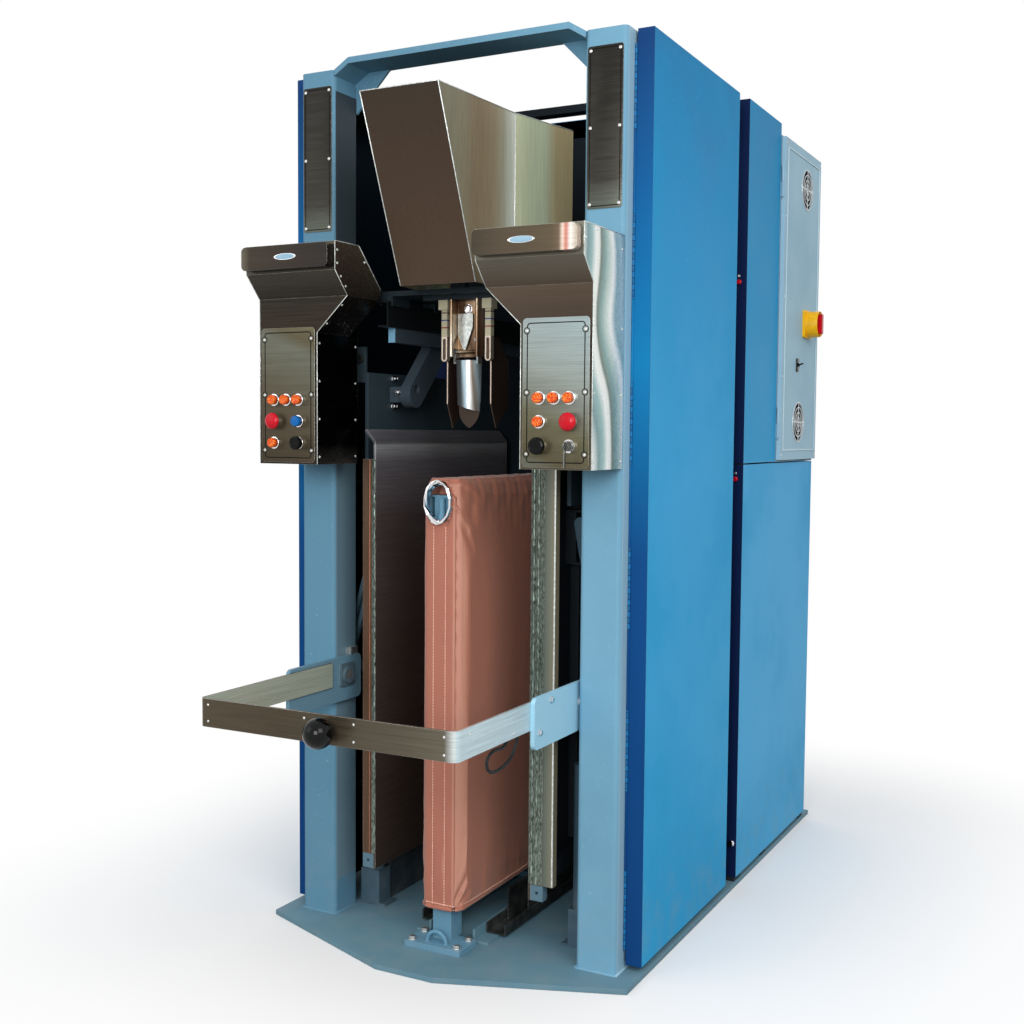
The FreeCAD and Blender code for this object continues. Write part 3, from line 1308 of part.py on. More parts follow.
# Head levers and cylinders
def right_lever():
    """Dog-leg lever with a slotted tail, and the roller on its upper end."""
    pivot = (PIVOT_X, PIVOT_LEVEL)
    elbow = (ELBOW_X, ELBOW_LEVEL)
    roller = (ROLLER_X, ROLLER_LEVEL)
    tail_tip = (CYLINDER_X - TAIL_SLOT_REACH, PIVOT_LEVEL)
    long_arm = link(pivot, elbow, LEVER_WIDTH, LEVER_FRONT, LEVER_REAR)
    top_arm = link(elbow, roller, LEVER_WIDTH, LEVER_FRONT, LEVER_REAR)
    tail = link(pivot, tail_tip, LEVER_WIDTH, LEVER_FRONT, LEVER_REAR)
    lever = long_arm.fuse([top_arm, tail]).removeSplitter()
    slot_start = (CYLINDER_X + TAIL_SLOT_BACK, PIVOT_LEVEL)
    lever = lever.cut([
        rod_y(PIVOT_X, LEVER_FRONT, LEVER_REAR, PIVOT_LEVEL, PIVOT_RADIUS + PIVOT_FIT),
        link(slot_start, tail_tip, 2.0 * TAIL_SLOT_RADIUS, LEVER_FRONT, LEVER_REAR),
        lever_groove(pivot, elbow),
    ])
    pin_rear = SLOT_BRACKET_REAR + RUNNING_GAP
    pin = rod_y(ROLLER_X, LEVER_REAR, pin_rear, ROLLER_LEVEL, ROLLER_PIN_RADIUS)
    wheel_front = SLOT_BRACKET_REAR - ROLLER_LENGTH + RUNNING_GAP
    wheel = rod_y(ROLLER_X, wheel_front, pin_rear, ROLLER_LEVEL, ROLLER_RADIUS)
    wheel = wheel.cut(rod_y(ROLLER_X, wheel_front, pin_rear, ROLLER_LEVEL, ROLLER_PIN_RADIUS + PIVOT_FIT))
    return group([lever.fuse(pin), wheel])


def lever_groove(start, end):
    """Long slot between the two strips of a lever's main arm."""
    along = FreeCAD.Vector(end[0] - start[0], 0, end[1] - start[1]).normalize()
    near = (start[0] + along.x * GROOVE_LOWER_MARGIN, start[1] + along.z * GROOVE_LOWER_MARGIN)
    far = (end[0] - along.x * GROOVE_UPPER_MARGIN, end[1] - along.z * GROOVE_UPPER_MARGIN)
    return link(near, far, LEVER_SLOT, LEVER_FRONT, LEVER_REAR)


def head_cylinders():
    """Feet, cylinder tubes and lever pivots on both sides."""
    foot = block(
        CYLINDER_X - FOOT_WIDTH / 2.0, CYLINDER_X + FOOT_WIDTH / 2.0, FOOT_FRONT, FOOT_FRONT + FOOT_LENGTH,
        BASE_THICKNESS, FOOT_TOP,
    )
    flange = block(
        CYLINDER_X - FOOT_WIDTH / 2.0 - FOOT_FLANGE, CYLINDER_X + FOOT_WIDTH / 2.0,
        FOOT_FRONT, FOOT_FRONT + FOOT_LENGTH, BASE_THICKNESS, BASE_THICKNESS + FOOT_FLANGE_THICKNESS,
    )
    tube = rod_z(CYLINDER_X, LEVER_MIDDLE, FOOT_TOP, CYLINDER_TOP, CYLINDER_RADIUS)
    bore = rod_z(
        CYLINDER_X, LEVER_MIDDLE, FOOT_TOP + CYLINDER_CAP, CYLINDER_TOP - CYLINDER_CAP,
        CYLINDER_RADIUS - CYLINDER_WALL,
    )
    gland = rod_z(
        CYLINDER_X, LEVER_MIDDLE, CYLINDER_TOP - CYLINDER_CAP, CYLINDER_TOP,
        CYLINDER_ROD_RADIUS + CYLINDER_ROD_FIT,
    )
    pivot_front = LEVER_FRONT - PIVOT_CLEARANCE
    pivot_block = block(
        PIVOT_X - PIVOT_BLOCK / 2.0, PIVOT_X + PIVOT_BLOCK / 2.0, COLUMN_SIZE, pivot_front,
        PIVOT_LEVEL - PIVOT_BLOCK / 2.0, PIVOT_LEVEL + PIVOT_BLOCK / 2.0,
    )
    pin_rear = LEVER_REAR + PIVOT_CLEARANCE
    pin = rod_y(PIVOT_X, pivot_front, pin_rear, PIVOT_LEVEL, PIVOT_RADIUS)
    cap = rod_y(PIVOT_X, pin_rear, pin_rear + CLEVIS_EAR, PIVOT_LEVEL, PIVOT_CAP_RADIUS)
    solids = []
    for piece in (foot.fuse(flange), tube.cut(bore).cut(gland), pivot_block.fuse([pin, cap])):
        solids.extend(both_sides(piece))
    return group(solids)


def right_cylinder_rod():
    """Piston, rod and clevis that pull the lever's tail."""
    piston_top = CYLINDER_TOP - CYLINDER_CAP - PISTON_TOP_GAP
    piston = rod_z(
        CYLINDER_X, LEVER_MIDDLE, piston_top - PISTON_LENGTH, piston_top,
        CYLINDER_RADIUS - CYLINDER_WALL - CYLINDER_ROD_FIT,
    )
    fork_base = PIVOT_LEVEL - CLEVIS_DROP
    rod = rod_z(CYLINDER_X, LEVER_MIDDLE, piston_top, fork_base - CLEVIS_BLOCK, CYLINDER_ROD_RADIUS)
    ear_gap = LEVER_THICKNESS / 2.0 + CLEVIS_GAP
    yoke = block(
        CYLINDER_X - CLEVIS_HALF, CYLINDER_X + CLEVIS_HALF,
        LEVER_MIDDLE - ear_gap - CLEVIS_EAR, LEVER_MIDDLE + ear_gap + CLEVIS_EAR,
        fork_base - CLEVIS_BLOCK, PIVOT_LEVEL + CLEVIS_HALF,
    )
    throat = block(
        CYLINDER_X - CLEVIS_HALF, CYLINDER_X + CLEVIS_HALF, LEVER_MIDDLE - ear_gap, LEVER_MIDDLE + ear_gap,
        fork_base, PIVOT_LEVEL + CLEVIS_HALF,
    )
    pin = rod_y(
        CYLINDER_X, LEVER_MIDDLE - ear_gap - CLEVIS_EAR, LEVER_MIDDLE + ear_gap + CLEVIS_EAR,
        PIVOT_LEVEL, CLEVIS_PIN_RADIUS,
    )
    return piston.fuse([rod, yoke.cut(throat), pin])


# Floor rails
def floor_rails():
    """Angle rails bolted to the base plate on both sides of the buck."""
    flange = block(
        RAIL_INNER, RAIL_INNER + RAIL_WIDTH, RAIL_FRONT, RAIL_REAR,
        BASE_THICKNESS, BASE_THICKNESS + RAIL_THICKNESS,
    )
    leg = block(
        RAIL_INNER, RAIL_INNER + RAIL_THICKNESS, RAIL_FRONT, RAIL_REAR,
        BASE_THICKNESS, BASE_THICKNESS + RAIL_LEG,
    )
    clear_of_slab = block(
        RAIL_INNER, SLAB_WIDTH / 2.0, BUCK_REAR_POST_FRONT + SLAB_FRONT - BUCK_POST_FRONT, RAIL_REAR,
        BASE_THICKNESS, BASE_THICKNESS + RAIL_LEG,
    )
    return group(both_sides(flange.fuse(leg).cut(clear_of_slab)))


def comb_strip(x, front):
    """Upright strip with a toothed front edge."""
    floor = BASE_THICKNESS + RAIL_THICKNESS + CHANNEL_WALL
    top = BASE_THICKNESS + COMB_HEIGHT
    pitch = (top - floor) / COMB_TEETH
    outline = [(RAIL_REAR, top), (RAIL_REAR, floor)]
    for index in range(COMB_TEETH):
        outline.append((front + COMB_TOOTH, floor + index * pitch))
        outline.append((front, floor + (index + 0.5) * pitch))
    outline.append((front + COMB_TOOTH, top))
    return prism_x(outline, x, x + COMB_THICKNESS)


def floor_channels():
    """Black channels on the floor rails, each with two comb strips."""
    bottom = BASE_THICKNESS + RAIL_THICKNESS
    outer = CHANNEL_INNER + CHANNEL_WIDTH
    trough = block(CHANNEL_INNER, outer, CHANNEL_FRONT, RAIL_REAR, bottom, bottom + CHANNEL_HEIGHT)
    trough = trough.cut(block(
        CHANNEL_INNER + CHANNEL_WALL, outer - CHANNEL_WALL, CHANNEL_FRONT, RAIL_REAR,
        bottom + CHANNEL_WALL, bottom + CHANNEL_HEIGHT,
    ))
    slab_front = BUCK_REAR_POST_FRONT + SLAB_FRONT - BUCK_POST_FRONT
    trough = trough.cut(block(
        CHANNEL_INNER, SLAB_WIDTH / 2.0, slab_front, RAIL_REAR, bottom, bottom + CHANNEL_HEIGHT,
    ))
    near = comb_strip(SLAB_WIDTH / 2.0 + CHANNEL_WALL, COMB_FRONT)
    far = comb_strip(outer - COMB_MARGIN, COMB_FRONT + COMB_STAGGER)
    return group(both_sides(trough.fuse([near, far])))


# Guard bar
def guard_bar():
    """Bent flat bar bolted to two bracket plates with flange bearings."""
    outer = block(-GUARD_OUTER, GUARD_OUTER, GUARD_FRONT, GUARD_ARM_REAR, GUARD_BOTTOM, GUARD_TOP)
    inner = block(
        -GUARD_INNER, GUARD_INNER, GUARD_FRONT + GUARD_THICKNESS, GUARD_ARM_REAR, GUARD_BOTTOM, GUARD_TOP,
    )
    corner_band = block(
        -GUARD_OUTER, GUARD_OUTER, GUARD_FRONT, GUARD_ARM_REAR + GUARD_CORNER * 2.0, GUARD_BOTTOM, GUARD_TOP,
    )
    outer = rounded(corner_band, "z", GUARD_CORNER).common(outer)
    inner_band = block(
        -GUARD_INNER, GUARD_INNER, GUARD_FRONT + GUARD_THICKNESS, GUARD_ARM_REAR + GUARD_CORNER * 2.0,
        GUARD_BOTTOM, GUARD_TOP,
    )
    inner = rounded(inner_band, "z", GUARD_CORNER - GUARD_THICKNESS).common(inner)
    strap = outer.cut(inner)
    plate = block(
        GUARD_OUTER, BRACKET_OUTER, BRACKET_FRONT, BRACKET_REAR, BRACKET_BOTTOM, BRACKET_TOP,
    )
    plate = rounded(plate, "x", BRACKET_RADIUS)
    flange = block(
        GUARD_OUTER - FLANGE_THICKNESS, GUARD_OUTER, GUARD_PIVOT_DEPTH - FLANGE_HALF,
        GUARD_PIVOT_DEPTH + FLANGE_HALF, GUARD_PIVOT_LEVEL - FLANGE_HALF, GUARD_PIVOT_LEVEL + FLANGE_HALF,
    )
    flange = rounded(flange, "x", FLANGE_ROUND)
    hub = rod_x(
        GUARD_OUTER - FLANGE_HUB_LENGTH, GUARD_OUTER, GUARD_PIVOT_DEPTH, GUARD_PIVOT_LEVEL, FLANGE_HUB_RADIUS,
    )
    bore = rod_x(
        GUARD_OUTER - FLANGE_HUB_LENGTH, BRACKET_OUTER, GUARD_PIVOT_DEPTH, GUARD_PIVOT_LEVEL,
        GUARD_PIN_RADIUS + GUARD_PIN_FIT,
    )
    sides = both_sides(plate.cut(bore)) + both_sides(flange.fuse(hub).cut(bore))
    return group([strap] + sides + guard_glands() + [guard_knob()])


def guard_glands():
    """Small glands under the right arm where the cable loop starts and ends."""
    glands = []
    for x, depth, level in (CABLE_START, CABLE_END):
        body = rod_z(x, depth, level, level + GLAND_LENGTH, GLAND_RADIUS)
        foot = block(
            x - GLAND_RADIUS, GUARD_INNER, depth - GLAND_RADIUS, depth + GLAND_RADIUS,
            level + GLAND_LENGTH, level + 2.0 * GLAND_LENGTH,
        )
        glands.append(body.fuse(foot))
    return glands


def guard_pivots():
    """Stub pins and stops on the inner faces of the columns."""
    pin = rod_x(
        GUARD_OUTER - FLANGE_HUB_LENGTH, COLUMN_INNER, GUARD_PIVOT_DEPTH, GUARD_PIVOT_LEVEL, GUARD_PIN_RADIUS,
    )
    stop = block(
        GUARD_OUTER, COLUMN_INNER, BRACKET_REAR - BRACKET_RADIUS - STOP_LENGTH, BRACKET_REAR - BRACKET_RADIUS,
        BRACKET_TOP, BRACKET_TOP + STOP_HEIGHT,
    )
    return group(both_sides(pin) + both_sides(stop))


def guard_knob():
    """Ball knob on the front of the guard bar."""
    centre_depth = GUARD_FRONT - KNOB_NECK_LENGTH - KNOB_RADIUS
    ball = Part.makeSphere(KNOB_RADIUS, FreeCAD.Vector(KNOB_X, at(centre_depth), GUARD_MIDDLE))
    neck = rod_y(KNOB_X, centre_depth, GUARD_FRONT, GUARD_MIDDLE, KNOB_NECK_RADIUS)
    return ball.fuse(neck)


def guard_cable():
    """Cable loop: straight runs joined by tangent arcs from one gland to the other."""
    points = [
        FreeCAD.Vector(x, at(depth), level)
        for x, depth, level in (CABLE_START,) + CABLE_ROUTE + (CABLE_END,)
    ]
    edges = []
    radii = []
    start = points[0]
    for before, corner, after in zip(points, points[1:], points[2:]):
        incoming = corner - before
        outgoing = after - corner
        turn = incoming.getAngle(outgoing)
        reach = 0.45 * min(incoming.Length, outgoing.Length)
        radii.append(reach / math.tan(turn / 2.0))
        enter = corner - FreeCAD.Vector(incoming).normalize() * reach
        leave = corner + FreeCAD.Vector(outgoing).normalize() * reach
        bisector = (FreeCAD.Vector(outgoing).normalize() - FreeCAD.Vector(incoming).normalize()).normalize()
        sagitta = radii[-1] * (1.0 / math.cos(turn / 2.0) - 1.0)
        edges.append(Part.LineSegment(start, enter).toShape())
        edges.append(Part.Arc(enter, corner + bisector * sagitta, leave).toShape())
        start = leave
    edges.append(Part.LineSegment(start, points[-1]).toShape())
    path = Part.Wire(edges)
    ring = Part.Wire(Part.makeCircle(CABLE_RADIUS, points[0], points[1] - points[0]))
    tube = path.makePipeShell([ring], True, False)
    print("cable length", round(path.Length, 1), "radii", [round(radius, 1) for radius in radii])
    print("cable volume ratio", round(tube.Volume / (math.pi * CABLE_RADIUS ** 2 * path.Length), 4))
    return tube


# Carriage, hood and clamps
def carriage_rails():
    """Channel tracks on flat bars, with diagonal arms from the side plates."""
    track = block(TRACK_INNER, TRACK_OUTER, TRACK_FRONT, BULKHEAD_FRONT, TRACK_BOTTOM, TRACK_TOP)
    track = track.cut(block(
        TRACK_INNER + TRACK_WALL, TRACK_OUTER, TRACK_FRONT, BULKHEAD_FRONT,
        TRACK_BOTTOM + TRACK_WALL, TRACK_TOP - TRACK_WALL,
    ))
    bar_outer = TRACK_MIDDLE + TRACK_BAR_WIDTH / 2.0
    bar_bottom = TRACK_BOTTOM - TRACK_BAR_HEIGHT
    bar = block(
        TRACK_MIDDLE - TRACK_BAR_WIDTH / 2.0, bar_outer,
        TRACK_BAR_FRONT, BULKHEAD_FRONT,
        bar_bottom, TRACK_BOTTOM,
    )
    upper_level = bar_bottom + TRACK_BAR_HEIGHT / 2.0
    arm_outer = bar_outer + ARM_THICKNESS
    arm = arm_bar((ARM_LOWER_DEPTH, ARM_LOWER_LEVEL), (ARM_UPPER_DEPTH, upper_level), bar_outer, arm_outer)
    arm = arm.cut(block(
        bar_outer, arm_outer, ARM_LOWER_DEPTH, ARM_UPPER_DEPTH + ARM_WIDTH, TRACK_BOTTOM, TRACK_TOP,
    ))
    arm = arm.cut(rod_x(
        bar_outer, bar_outer + ARM_RECESS_DEPTH, ARM_LOWER_DEPTH,
        ARM_LOWER_LEVEL + ARM_RECESS_OFFSET, ARM_RECESS_RADIUS,
    ))
    half = ARM_BEARING / 2.0
    bearing = block(
        arm_outer, GUIDE_PLATE_INNER, ARM_LOWER_DEPTH - half, ARM_LOWER_DEPTH + half,
        ARM_LOWER_LEVEL - half, ARM_LOWER_LEVEL + half,
    )
    solids = []
    for piece in (track, bar, arm, bearing):
        solids.extend(both_sides(piece))
    return group(solids)


def arm_bar(start, end, x0, x1):
    """A flat bar with round ends between two (depth, level) points."""
    along = FreeCAD.Vector(0, end[0] - start[0], end[1] - start[1])
    side = FreeCAD.Vector(0, -along.z, along.y).normalize() * (ARM_WIDTH / 2.0)
    corners = [
        (start[0] + side.y, start[1] + side.z),
        (end[0] + side.y, end[1] + side.z),
        (end[0] - side.y, end[1] - side.z),
        (start[0] - side.y, start[1] - side.z),
    ]
    bar = prism_x(corners, x0, x1)
    ends = [rod_x(x0, x1, point[0], point[1], ARM_WIDTH / 2.0) for point in (start, end)]
    return bar.fuse(ends).removeSplitter()


def carriage_cylinder():
    """Drive cylinder on the bulkhead, above the carriage."""
    tube = rod_y(0.0, DRIVE_FRONT, BULKHEAD_FRONT, DRIVE_LEVEL, DRIVE_RADIUS)
    bore = rod_y(
        0.0, DRIVE_FRONT + CYLINDER_CAP, BULKHEAD_FRONT - CYLINDER_CAP,
        DRIVE_LEVEL, DRIVE_RADIUS - DRIVE_WALL,
    )
    gland_radius = DRIVE_ROD_RADIUS + CYLINDER_ROD_FIT
    gland = rod_y(0.0, DRIVE_FRONT, DRIVE_FRONT + CYLINDER_CAP, DRIVE_LEVEL, gland_radius)
    return tube.cut(bore).cut(gland)


def runner(depth):
    """Bearing block under the carriage that rides on the right track, with a lip on each side."""
    top = TRACK_TOP + RUNNER_CLEARANCE
    inner = TRACK_INNER - RUNNER_CLEARANCE
    outer = TRACK_OUTER + RUNNER_CLEARANCE
    body = block(
        inner - RUNNER_LIP, outer + RUNNER_LIP, depth, depth + RUNNER_LENGTH,
        top - RUNNER_LIP_DROP, CARRIAGE_BOTTOM,
    )
    return body.cut(block(inner, outer, depth, depth + RUNNER_LENGTH, top - RUNNER_LIP_DROP, top))


def carriage():
    """Carriage plate with runners, cross slide and the drive rod with its piston."""
    plate = block(-CARRIAGE_HALF, CARRIAGE_HALF, CARRIAGE_FRONT, CARRIAGE_REAR, CARRIAGE_BOTTOM, CARRIAGE_TOP)
    slide = block(
        -CROSS_SLIDE_HALF, CROSS_SLIDE_HALF, CLAMP_DEPTH - CROSS_SLIDE_WIDTH / 2.0,
        CLAMP_DEPTH + CROSS_SLIDE_WIDTH / 2.0, CROSS_SLIDE_BOTTOM, CARRIAGE_BOTTOM,
    )
    lug = block(
        -LUG_WIDTH / 2.0, LUG_WIDTH / 2.0, LUG_DEPTH, LUG_DEPTH + LUG_LENGTH,
        CARRIAGE_TOP, DRIVE_LEVEL + LUG_WIDTH / 2.0,
    )
    piston_rear = DRIVE_FRONT + CYLINDER_CAP + PISTON_TOP_GAP + DRIVE_PISTON_LENGTH
    rod = rod_y(0.0, LUG_DEPTH + LUG_LENGTH, piston_rear, DRIVE_LEVEL, DRIVE_ROD_RADIUS)
    piston = rod_y(
        0.0, piston_rear - DRIVE_PISTON_LENGTH, piston_rear, DRIVE_LEVEL,
        DRIVE_RADIUS - DRIVE_WALL - CYLINDER_ROD_FIT,
    )
    solids = [plate, slide, lug.fuse([rod, piston]), clamp_housing()]
    for depth in (CARRIAGE_FRONT, CARRIAGE_REAR - RUNNER_LENGTH):
        solids.extend(both_sides(runner(depth)))
    return group(solids)


def hood_outline(level, front, wall, rear):
    """Plan outline of the hood at one level."""
    front_half = HOOD_FRONT_HALF - wall
    fold_half = HOOD_FOLD_HALF - wall
    rear_half = HOOD_REAR_HALF - wall
    right = [(front_half, front + wall), (fold_half, HOOD_FOLD), (rear_half, rear)]
    left = [(-x, depth) for x, depth in reversed(right)]
    corners = [FreeCAD.Vector(x, at(depth), level) for x, depth in right + left]
    return Part.makePolygon(corners + corners[:1])


def hood():
    """Folded stainless hood, closed in front and on top, that stands on the carriage."""
    outer = Part.makeLoft([
        hood_outline(CARRIAGE_TOP, HOOD_FRONT_BOTTOM, 0.0, HOOD_REAR),
        hood_outline(HOOD_TOP, HOOD_FRONT_TOP, 0.0, HOOD_REAR),
    ], True, True)
    inner = Part.makeLoft([
        hood_outline(CARRIAGE_TOP, HOOD_FRONT_BOTTOM, SHEET, HOOD_REAR),
        hood_outline(HOOD_TOP - SHEET, HOOD_FRONT_TOP, SHEET, HOOD_REAR),
    ], True, True)
    return outer.cut(inner)


def waist_arm():
    """Right waist arm: sliding block, marked bar, loop and spreading blade."""
    top = CROSS_SLIDE_BOTTOM - RUNNER_CLEARANCE
    half = WAIST_ARM_WIDTH / 2.0
    body = block(
        WAIST_ARM_X - WAIST_BLOCK_WIDTH / 2.0, WAIST_ARM_X + WAIST_BLOCK_WIDTH / 2.0,
        CLAMP_DEPTH - CROSS_SLIDE_WIDTH / 2.0, CLAMP_DEPTH + CROSS_SLIDE_WIDTH / 2.0,
        top - WAIST_BLOCK_HEIGHT, top,
    )
    bar = block(
        WAIST_ARM_X - half, WAIST_ARM_X + half, CLAMP_DEPTH - half, CLAMP_DEPTH + half,
        WAIST_ARM_BOTTOM, top - WAIST_BLOCK_HEIGHT,
    )
    loop = link(
        (WAIST_ARM_X, WAIST_ARM_BOTTOM), (WAIST_ARM_X, LOOP_BOTTOM + half), WAIST_ARM_WIDTH,
        CLAMP_DEPTH - half, CLAMP_DEPTH + half,
    )
    loop = loop.cut(link(
        (WAIST_ARM_X, WAIST_ARM_BOTTOM - half), (WAIST_ARM_X, LOOP_BOTTOM + half), LOOP_HOLE,
        CLAMP_DEPTH - half, CLAMP_DEPTH + half,
    ))
    front = CLAMP_DEPTH + half
    outline = [
        (front, WAIST_ARM_BOTTOM),
        (front, BLADE_SHOULDER),
        (front + BLADE_POINT, BLADE_TIP),
        (front + BLADE_LENGTH, BLADE_SHOULDER),
        (front + BLADE_LENGTH, LOOP_BOTTOM),
        (front + BLADE_STEP, WAIST_ARM_BOTTOM),
    ]
    blade = prism_x(outline, WAIST_ARM_X - BLADE_THICKNESS / 2.0, WAIST_ARM_X + BLADE_THICKNESS / 2.0)
    return body.fuse([bar, loop, blade])


def clamp_housing():
    """Open trough under the cross slide, with rolled rims and the pin that the fly clamp jaw turns on."""
    rear = CLAMP_DEPTH + TROUGH_DEPTH / 2.0
    front = CLAMP_DEPTH - TROUGH_DEPTH / 2.0
    shell = block(-TROUGH_HALF, TROUGH_HALF, front, rear, TROUGH_BOTTOM, CROSS_SLIDE_BOTTOM)
    inside = TROUGH_HALF - TROUGH_WALL
    hollow = block(-inside, inside, front, rear - TROUGH_WALL, TROUGH_BOTTOM, CROSS_SLIDE_BOTTOM)
    rim = TROUGH_HALF - TROUGH_WALL / 2.0
    rims = [rod_z(side * rim, front, TROUGH_BOTTOM, CROSS_SLIDE_BOTTOM, TROUGH_RIM) for side in (-1.0, 1.0)]
    pin = rod_x(-inside, inside, CLAMP_DEPTH, JAW_PIN_LEVEL, JAW_PIN_RADIUS)
    return shell.cut(hollow).fuse(rims + [pin])


def jaw_tongue(front):
    """Flat leaf inside the jaw's shell that ends in a rounded point below it."""
    top_half = JAW_HALF_TOP - JAW_WALL / 2.0
    low_half = JAW_HALF_BOTTOM - JAW_WALL / 2.0

    def corner(x, level):
        return FreeCAD.Vector(x, at(front), level)

    tip = corner(0.0, JAW_TIP)
    edges = [
        Part.makeLine(corner(-top_half, JAW_TOP), corner(top_half, JAW_TOP)),
        Part.makeLine(corner(top_half, JAW_TOP), corner(low_half, JAW_SHOULDER)),
        Part.Arc(corner(low_half, JAW_SHOULDER), corner(JAW_FLANK_X, JAW_FLANK_LEVEL), tip).toShape(),
        Part.Arc(tip, corner(-JAW_FLANK_X, JAW_FLANK_LEVEL), corner(-low_half, JAW_SHOULDER)).toShape(),
        Part.makeLine(corner(-low_half, JAW_SHOULDER), corner(-top_half, JAW_TOP)),
    ]
    return Part.Face(Part.Wire(edges)).extrude(FreeCAD.Vector(0, JAW_WALL, 0))


def fly_clamp_jaw():
    """Curved jaw with a pointed tongue, hung on the housing's pin by two ears."""
    axis_depth = CLAMP_DEPTH + JAW_SET_BACK
    outer = Part.makeCone(
        JAW_HALF_BOTTOM, JAW_HALF_TOP, JAW_TOP - JAW_SHOULDER,
        FreeCAD.Vector(0, at(axis_depth), JAW_SHOULDER), FreeCAD.Vector(0, 0, 1),
    )
    inner = Part.makeCone(
        JAW_HALF_BOTTOM - JAW_WALL, JAW_HALF_TOP - JAW_WALL, JAW_TOP - JAW_SHOULDER,
        FreeCAD.Vector(0, at(axis_depth), JAW_SHOULDER), FreeCAD.Vector(0, 0, 1),
    )
    behind = block(
        -JAW_HALF_TOP, JAW_HALF_TOP, axis_depth, axis_depth + JAW_HALF_TOP, JAW_SHOULDER, JAW_TOP,
    )
    below = prism_y([
        (-JAW_HALF_TOP, JAW_SHOULDER),
        (JAW_HALF_TOP, JAW_SHOULDER),
        (-JAW_HALF_TOP, JAW_SHOULDER + JAW_CUT_RISE),
    ], axis_depth - JAW_HALF_TOP, axis_depth)
    spoon = outer.cut(inner).cut([behind, below])
    tongue = jaw_tongue(axis_depth - JAW_WALL)
    ears = []
    for side in (-1.0, 1.0):
        middle = side * (TROUGH_HALF - TROUGH_WALL - JAW_EAR_GAP - JAW_EAR_THICKNESS)
        near = min(middle, middle + side * JAW_EAR_THICKNESS)
        far = near + JAW_EAR_THICKNESS
        ears.append(block(
            near, far, CLAMP_DEPTH - JAW_EAR_HALF, axis_depth, JAW_TOP - JAW_EAR_HALF, JAW_PIN_LEVEL,
        ))
        ears.append(rod_x(near, far, CLAMP_DEPTH, JAW_PIN_LEVEL, JAW_EAR_HALF))
    bore = rod_x(-TROUGH_HALF, TROUGH_HALF, CLAMP_DEPTH, JAW_PIN_LEVEL, JAW_PIN_RADIUS + JAW_PIN_FIT)
    return spoon.fuse([tongue] + ears).cut(bore)


def nodes():
    """Every node of the press by name."""
    column = right_column()
    rear_panels = right_rear_panels()
    door = right_door()
    press_plate = right_press_plate()
    frame_solids = head_frame()
    lever = right_lever()
    rod = right_cylinder_rod()
    arm = waist_arm()
    shapes = {
        "base_plate": base_plate(),
        "left_column": mirrored(column),
        "right_column": column,
        "lintel": lintel(),
        "rear_frame": rear_frame(),
        "left_rear_panels": mirrored(rear_panels),
        "right_rear_panels": rear_panels,
        "cabinet_covers": cabinet_covers(),
        "door_hinges": door_hinges(),
        "left_door": mirrored(door),
        "right_door": door,
        "electrical_enclosure": electrical_enclosure(),
        "enclosure_door": enclosure_door(),
        "upper_fan": fan(FAN_DEPTH_UPPER, FAN_LEVEL_UPPER),
        "lower_fan": fan(FAN_DEPTH_LOWER, FAN_LEVEL_LOWER),
        "disconnect_handle": disconnect_handle(),
        "left_control_box": control_box(-1.0),
        "right_control_box": control_box(1.0),
        "control_faceplates": control_faceplates(),
        "button_bezels": button_bezels(),
        "left_push_bar": push_bar(-1.0),
        "right_push_bar": push_bar(1.0),
        "right_key_switch": key_switch(),
        "buck_frame": buck_frame(),
        "buck_pad": buck_pad(),
        "left_press_plate": mirrored(press_plate),
        "right_press_plate": press_plate,
        "left_head_frame": mirrored(group(frame_solids)),
        "right_head_frame": group(frame_solids + [edge_flange()]),
        "head_guides": head_guides(),
        "left_lever": mirrored(lever),
        "right_lever": lever,
        "head_cylinders": head_cylinders(),
        "left_cylinder_rod": mirrored(rod),
        "right_cylinder_rod": rod,
        "floor_rails": floor_rails(),
        "floor_channels": floor_channels(),
        "guard_bar": guard_bar(),
        "guard_pivots": guard_pivots(),
        "guard_cable": guard_cable(),
        "carriage_rails": carriage_rails(),
        "carriage_cylinder": carriage_cylinder(),
        "carriage": carriage(),
        "hood": hood(),
        "left_waist_arm": mirrored(arm),
        "right_waist_arm": arm,
        "fly_clamp_jaw": fly_clamp_jaw(),
    }
    for name, x, level, radius in left_buttons() + right_buttons():
        shapes[name] = button(x, level, radius)
    return shapes


def main():
    """Write every node to its own file."""
    os.makedirs("parts", exist_ok=True)
    for name, shape in nodes().items():
        if not shape.isValid():
            print("not valid:", name)
        shape.exportStep("parts/" + name + ".step")


main()
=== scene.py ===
"""Looks of an industrial pants press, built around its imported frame."""

import logging
import math
import random
from dataclasses import dataclass
from enum import Enum
from functools import cache
from typing import Callable, Iterable, Optional, Sequence, Union

import bmesh
import bpy
from mathutils import Matrix, Vector


